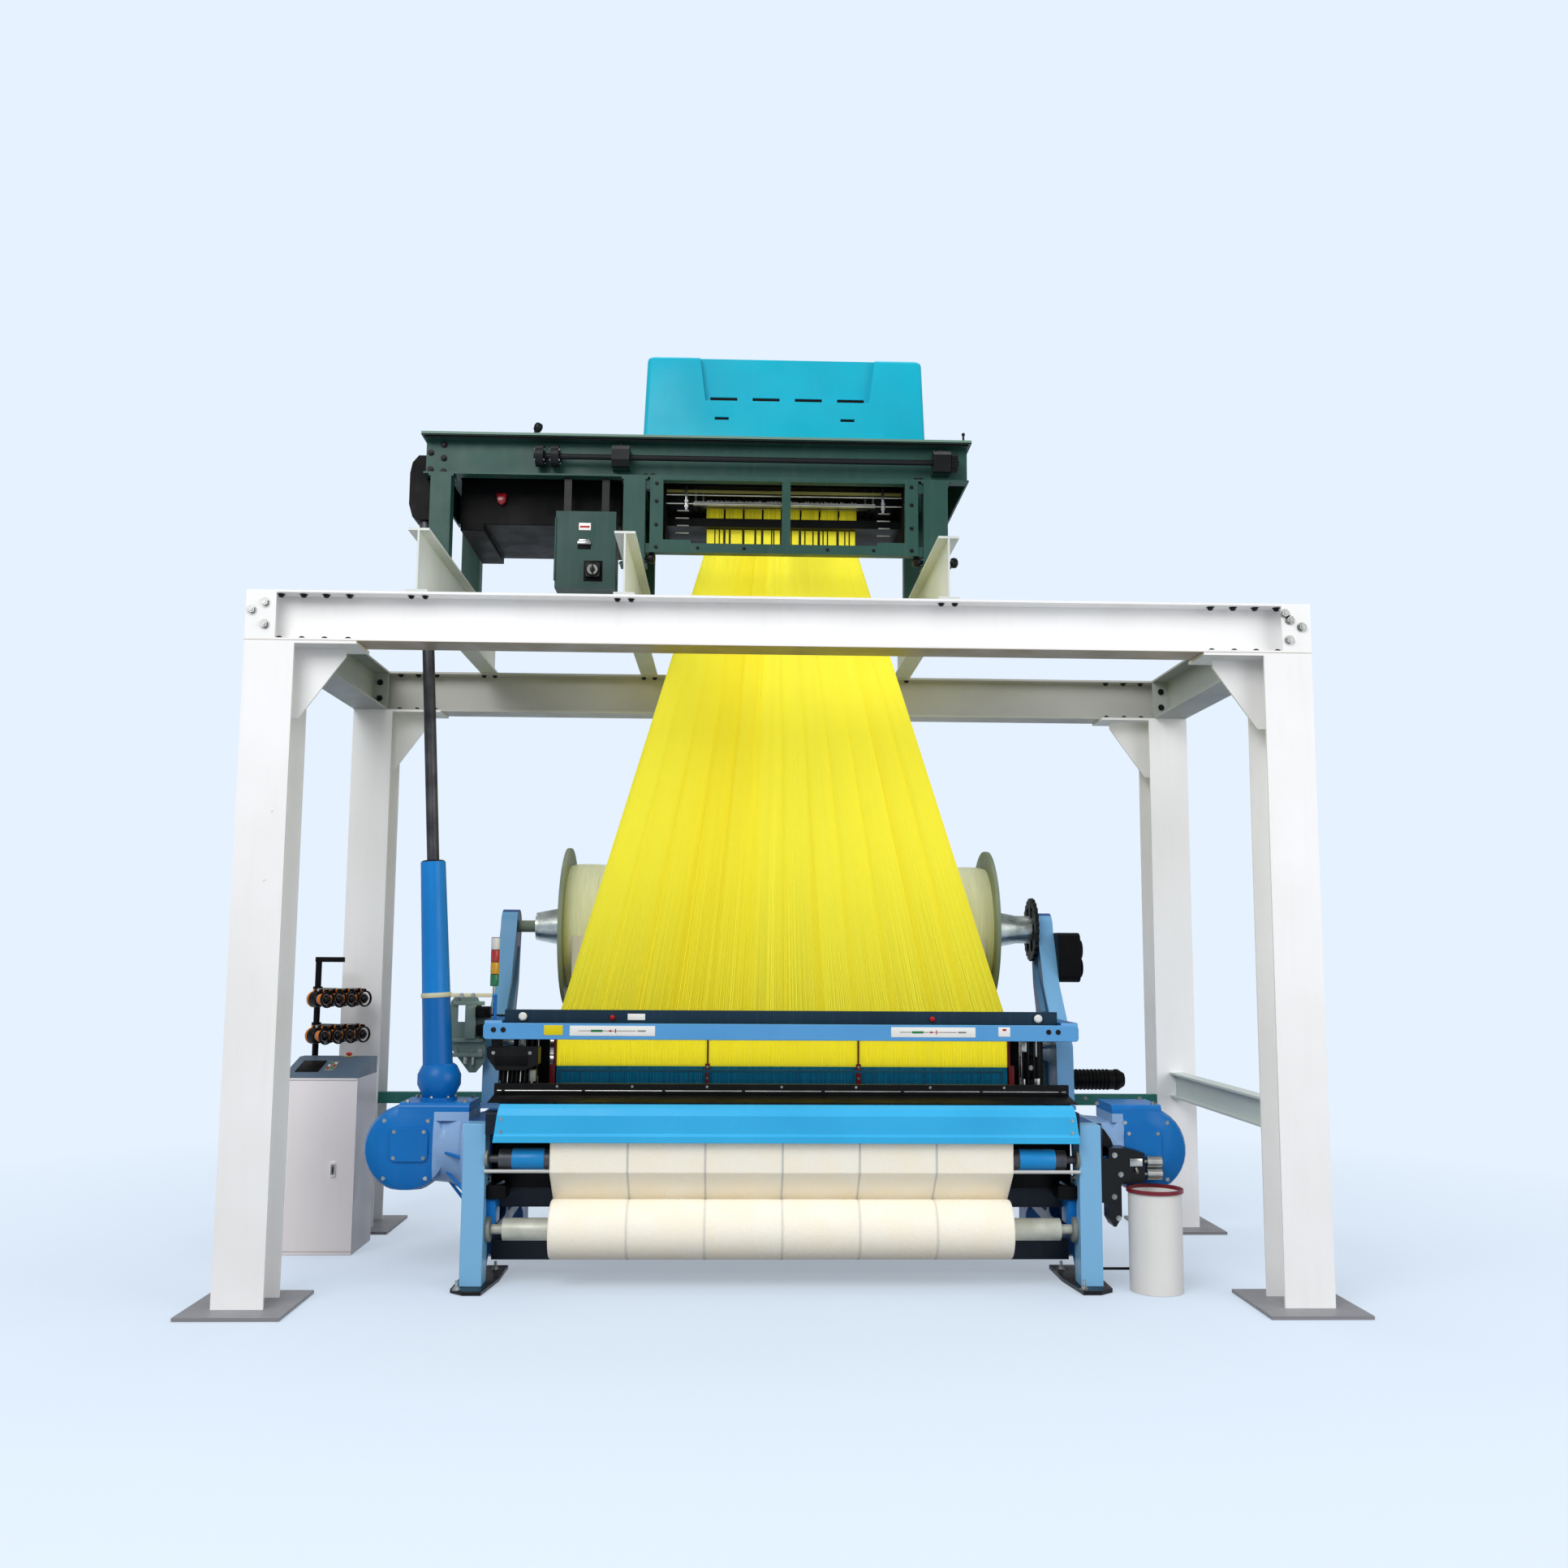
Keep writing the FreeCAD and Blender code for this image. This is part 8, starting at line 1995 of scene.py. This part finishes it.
@dataclass
class Cabinet(Assembly):
    """The cabinet's latch, console panel and stop button collar."""

    front: float = 0.147

    def build(self) -> list[Piece]:
        """Makes the cabinet's fittings.

        Returns:
            The pieces.
        """
        door = Bench().use(CASTING)
        door.plate(self.front - 0.0078, 0.0017, (-2.441, -2.419), (0.432, 0.488), 0.0005)
        door.use(BLACK_GLOSS)
        door.plate(self.front - 0.009, 0.0025, (-2.4335, -2.4265), (0.44, 0.474), 0.001)
        door.use(ZINC)
        door.rod((-2.43, self.front - 0.0115, 0.481), (-2.43, self.front - 0.008, 0.481), 0.0045,
                 14)
        pieces = [door.finish("door_latch", "cabinet_leaf", "bright_steel")]
        top = Bench()
        run = Vector((0, 0.303, 0.083)).normalized()
        lift = Vector((0, -run.z, run.y))
        base = Vector((0, self.front + 0.03, 0.965))
        for x0, x1, low, high, finish in ((-2.69, -2.56, 0.06, 0.24, BLACK),
                                          (-2.535, -2.48, 0.08, 0.22, CASTING)):
            top.use(finish)
            corners = ((x0, low), (x1, low), (x1, high), (x0, high))
            top.slab([base + run * up + Vector((x, 0, 0)) for x, up in corners], lift * 0.004,
                     0.001)
        buttons = (RED, GREEN_MARK, WHITE_PLASTIC)
        for index in range(6):
            spot = base + run * (0.11 + 0.04 * (index // 2)) + Vector(
                (-2.522 + 0.028 * (index % 2), 0, 0))
            top.use(buttons[index % 3])
            top.rod(spot + lift * 0.003, spot + lift * 0.009, 0.007, 16)
        top.use(LABEL_YELLOW)
        top.turned((-2.467, 0.525, 1.0475), UP,
                   [(0, 0.0205), (0, 0.027), (0.002, 0.027), (0.0025, 0.0205), (0, 0.0205)], 28)
        pieces.append(top.finish("console_panel", "frame", "black_metal"))
        return pieces


@dataclass
class Feeders(Assembly):
    """The yarn feeders on their two rails, with the post and its foot."""

    post: Pair = (-2.7, 0.65)
    start: Pair = (-2.64, 0.5)
    rows: tuple[float, ...] = (1.165, 1.375)
    pitch: float = 0.092
    radius: float = 0.045
    turn: float = math.radians(35)

    def feeder(self, bench: Bench, middle: Vector) -> None:
        """Makes one feeder: motor end, winding drum, balloon ring, sensor arm and saddle.

        Args:
            bench: collects the shapes.
            middle: the feeder's middle.
        """
        along = Vector((math.cos(self.turn), -math.sin(self.turn), 0))
        start = middle - along * 0.08
        wide = self.radius
        bench.use(BLACK_GLOSS)
        bench.turned(start, along, [(0, 0), (0, 0.034), (0.004, 0.038), (0.012, wide - 0.001),
                     (0.018, wide), (0.074, wide), (0.08, wide - 0.004), (0.081, 0.0)], 30)
        for step in range(9):
            angle = math.tau * step / 9
            side = Vector((math.sin(self.turn), math.cos(self.turn), 0)) * math.cos(angle)
            rib = start + (side + Vector((0, 0, math.sin(angle)))) * 0.026
            bench.rod(rib - along * 0.0005, rib + along * 0.004, 0.0045, 8)
        for finish, sides, profile in (
                (ORANGE, 30, [(0.0195, wide + 0.0002), (0.0195, wide + 0.0022),
                              (0.03, wide + 0.0022), (0.03, wide + 0.0002),
                              (0.0195, wide + 0.0002)]),
                (ORANGE, 22, [(-0.002, 0.0), (-0.002, 0.015), (0.003, 0.017), (0.003, 0.0)]),
                (RING_PINK, 30, [(0.079, 0.0), (0.079, 0.031), (0.084, 0.0322),
                                 (0.134, 0.03), (0.136, 0.0)]),
                (ORANGE, 30, [(0.094, 0.0318), (0.094, 0.0338), (0.112, 0.033),
                              (0.112, 0.0308), (0.094, 0.0318)]),
                (BLACK_GLOSS, 30, [(0.136, 0.04), (0.136, 0.0485), (0.14, 0.0495),
                                   (0.148, 0.0475), (0.149, 0.04), (0.136, 0.04)]),
                (BLACK_GLOSS, 24, [(0.134, 0.0), (0.136, 0.026), (0.152, 0.018),
                                   (0.159, 0.007), (0.16, 0.0)])):
            bench.use(finish).turned(start, along, profile, sides)
        bench.use(BLACK)
        up = Vector(UP)
        arm = middle + up * 0.05
        bench.block(arm - Vector((0.014, 0.014, 0.012)), arm + Vector((0.014, 0.014, 0.011)), 0.003)
        bench.rod(arm - along * 0.05, arm + along * 0.062, 0.009, 10)
        bench.rod(arm + along * 0.06, arm + along * 0.06 - up * 0.012, 0.007, 10)
        bench.use(ORANGE).rod(arm - along * 0.056, arm - along * 0.046, 0.0096, 10)
        bench.rod(arm + along * 0.03, arm + along * 0.038, 0.0096, 10)

    def build(self) -> list[Piece]:
        """Makes the feeder stand.

        Returns:
            The pieces.
        """
        bench = Bench().use(BLACK)
        x, y = self.post
        bench.rod((x, y, 0.01), (x, y, 1.591), 0.018, 24)
        bench.block((x - 0.036, y - 0.06, 0.0), (x + 0.06, y + 0.06, 0.012), 0.002)
        bench.block((x - 0.018, y - 0.018, 1.59), (x + 0.15, y + 0.018, 1.62), 0.004)
        bench.use(ZINC)
        for shift in (-0.042, 0.042):
            bench.bolt((x + 0.038, y + shift, 0.012), UP, 0.009)
        step = Vector((math.sin(self.turn), math.cos(self.turn), 0))
        for z in self.rows:
            rail = z + self.radius + 0.01
            first = Vector((*self.start, z))
            bench.use(BRIGHT)
            start = Vector((*self.start, rail))
            end = start + step * (3 * self.pitch)
            bench.rod(start - step * 0.02, end + step * 0.02, 0.009, 14)
            bench.use(BLACK).rod((x, y, rail), (start + end) * 0.5, 0.009, 14)
            bench.turned((x, y, rail - 0.016), UP, [(0, 0.0175), (0, 0.027), (0.032, 0.027),
                         (0.032, 0.0175), (0, 0.0175)], 24)
            for index in range(4):
                self.feeder(bench, first + step * (index * self.pitch))
        piece = bench.finish("yarn_feeders", "frame", "feeder_black")
        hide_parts("feeder_stand")
        return [piece]


@dataclass
class Refits(Assembly):
    """Smooth copies of the nodes with round castings, and finishes on all the others."""

    frame: dict
    castings: ClassVar[dict[str, Pair]] = {node: shape for shape, nodes in (
        ((20.0, 0.002), ("breast_cover",)),
        ((32.0, 0.0), ("line_shaft", "waste_can", "drive_shaft", "take_up_roller", "cloth_core",
                       "back_rest_roller", "pile_tension_roller")),
        ((34.0, 0.003), ("head_cover",)),
        ((36.0, 0.0), ("shaft_tube", "pile_beam", "ground_beam", "waste_roller_upper",
                       "waste_roller_lower")),
        ((36.0, 0.002), ("sley",)),
        ((36.0, 0.006), ("gearbox_left", "gearbox_right")),
        ((40.0, 0.002), ("rapier_left", "rapier_right")),
        ((40.0, 0.003), ("front_guard_bar", "weft_presenter")),
        ((40.0, 0.004), ("side_frame_left", "side_frame_right", "pile_arms", "side_motors",
                         "cabinet")),
        ((50.0, 0.0), ("griffe_outer", "griffe_inner", "guide_rails")),
        ((50.0, 0.001), ("e_stop", "stop_button_left", "stop_button_right", "cabinet_door")),
        ((50.0, 0.003), ("control_knob",)),
        ((50.0, 0.008), ("head_gearbox",))) for node in nodes}

    def special(self, node: str, usual: Finish) -> Finish:
        """Gives a node's finish where it isn't its slot's usual one.

        Args:
            node: the node's name.
            usual: the slot's finish.

        Returns:
            The finish for the node.
        """
        wide = 2.62
        other: dict[str, Finish] = {
            "pile_beam": Paint("pile_beam_paint", "8f9b88", "707c68", 0.42, 0.2, 0.08, 0.002,
                               "8f8d88", (Band(Axis.X, 1.5, wide, "08080a"),)),
            "ground_beam": Wound("ground_yarn", "e6e0c8", "d8d1b4", "a39d80", 700.0,
                                 (Band(Axis.X, -wide, -1.2255, "7d8678"),
                                  Band(Axis.X, 1.2855, wide, "7d8678"))),
            "pile_arms": Paint("arm_blue", "0c5ea6", "094f90", 0.3, 0.2, 0.03, 0.002, "6d7c92",
                               front="78b2e0"),
            "cross_girders": Paint("girder_navy", "08192e", "051020", 0.4, 0.2, 0.02, 0.002,
                                   "55606b"),
            # painted shade: the side and rear beams take darker grey copies of the gantry's white
            # paint
            "gantry_side_beams": Paint("beam_painted_shade_grey", "b4b9b5", "a4aaa6", 0.38, 0.12, 0.05, 0.002),
            "gantry_rear_beam": Paint("beam_rear_painted_shade_grey", "c9c9c4", "bcbcb6", 0.38, 0.12, 0.05,
                                      0.002),
            "gearbox_left": replace(DEEP_BLUE, name="casing_left", bands=(
                Band(Axis.X, -1.752, -1.4, "8fb2dc", ((Axis.Z, 0.3, 0.845),)),)),
            "gearbox_right": replace(DEEP_BLUE, name="casing_right", bands=(
                Band(Axis.X, 1.6, 1.79, "8fb2dc", ((Axis.Z, 0.3, 0.845),)),
                Band(Axis.Y, -0.7, -0.545, "060608"))),
            "side_frame_right": Paint("frame_right", "0c5ea6", "094f90", 0.3, 0.2, 0.04, 0.003,
                                      "6d7c92", (Band(Axis.Y, -0.8, -0.559, "82bde6"),
                                                 Band(Axis.Z, -1.0, 0.0205, "08080a"),
                                                 Band(Axis.X, 1.6285, 2.1, "08080a"))),
            "reed": Paint("reed_teal", "04506a", "033e54", 0.36, 0.06, 0.01, 0.0, "2c5566",
                          gloss=0.2),
            "cloth_core": Metal("core_steel", "dcdccf", "b4b5a6", 0.42, (3, 90, 90), 0.25),
            "line_shaft": BLACKED,
            "drive_shaft": GREY_SHAFT,
            "weft_presenter": Paint("presenter_black", "08080a", "040405", 0.42, 0.16, 0.015,
                                    0.001, "2c2d30", (Band(Axis.Y, -0.004, 0.0125, "7d928a"),),
                                    gloss=0.2),
            "guide_rails": Paint("bar_black", "060607", "030304", 0.42, 0.16, 0.01, 0.0, "2c2d30",
                                 (Band(Axis.Z, 0.5, 0.6, "cfcfcb"),), gloss=0.2)}
        return other.get(node, usual)

    def build(self) -> list[Piece]:
        """Dresses every node of the CAD model.

        Returns:
            The pieces.
        """
        pieces = []
        for node, source in self.frame["nodes"].items():
            finish = self.special(node, SLOT_FINISHES.get(slot_of(source), BLACK))
            if node in self.castings:
                pieces.append(smooth_copy(source, node, finish, *self.castings[node]))
            for place in source.material_slots:
                place.material = finish.material()
        return pieces


def main() -> None:
    """Builds the dressed loom, group by group."""
    logging.basicConfig(level=logging.INFO, format="%(name)s: %(message)s")
    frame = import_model()
    Studio().build()
    groups: list[Assembly] = [Refits(frame), Gantry(), JacquardHead(), Harness(), Heddles(),
                              ClothAndRoll(), WarpSheets(), WarpBeams(), LoomBody(), WeftSide(),
                              WasteTakeOff(), Cabinet(), Feeders()]
    for group in groups:
        for piece in group.build():
            LOG.info("%s: %s, %d faces", type(group).__name__, piece.name, len(piece.data.polygons))
    bpy.context.view_layer.update()


if __name__ == "__main__":
    main()
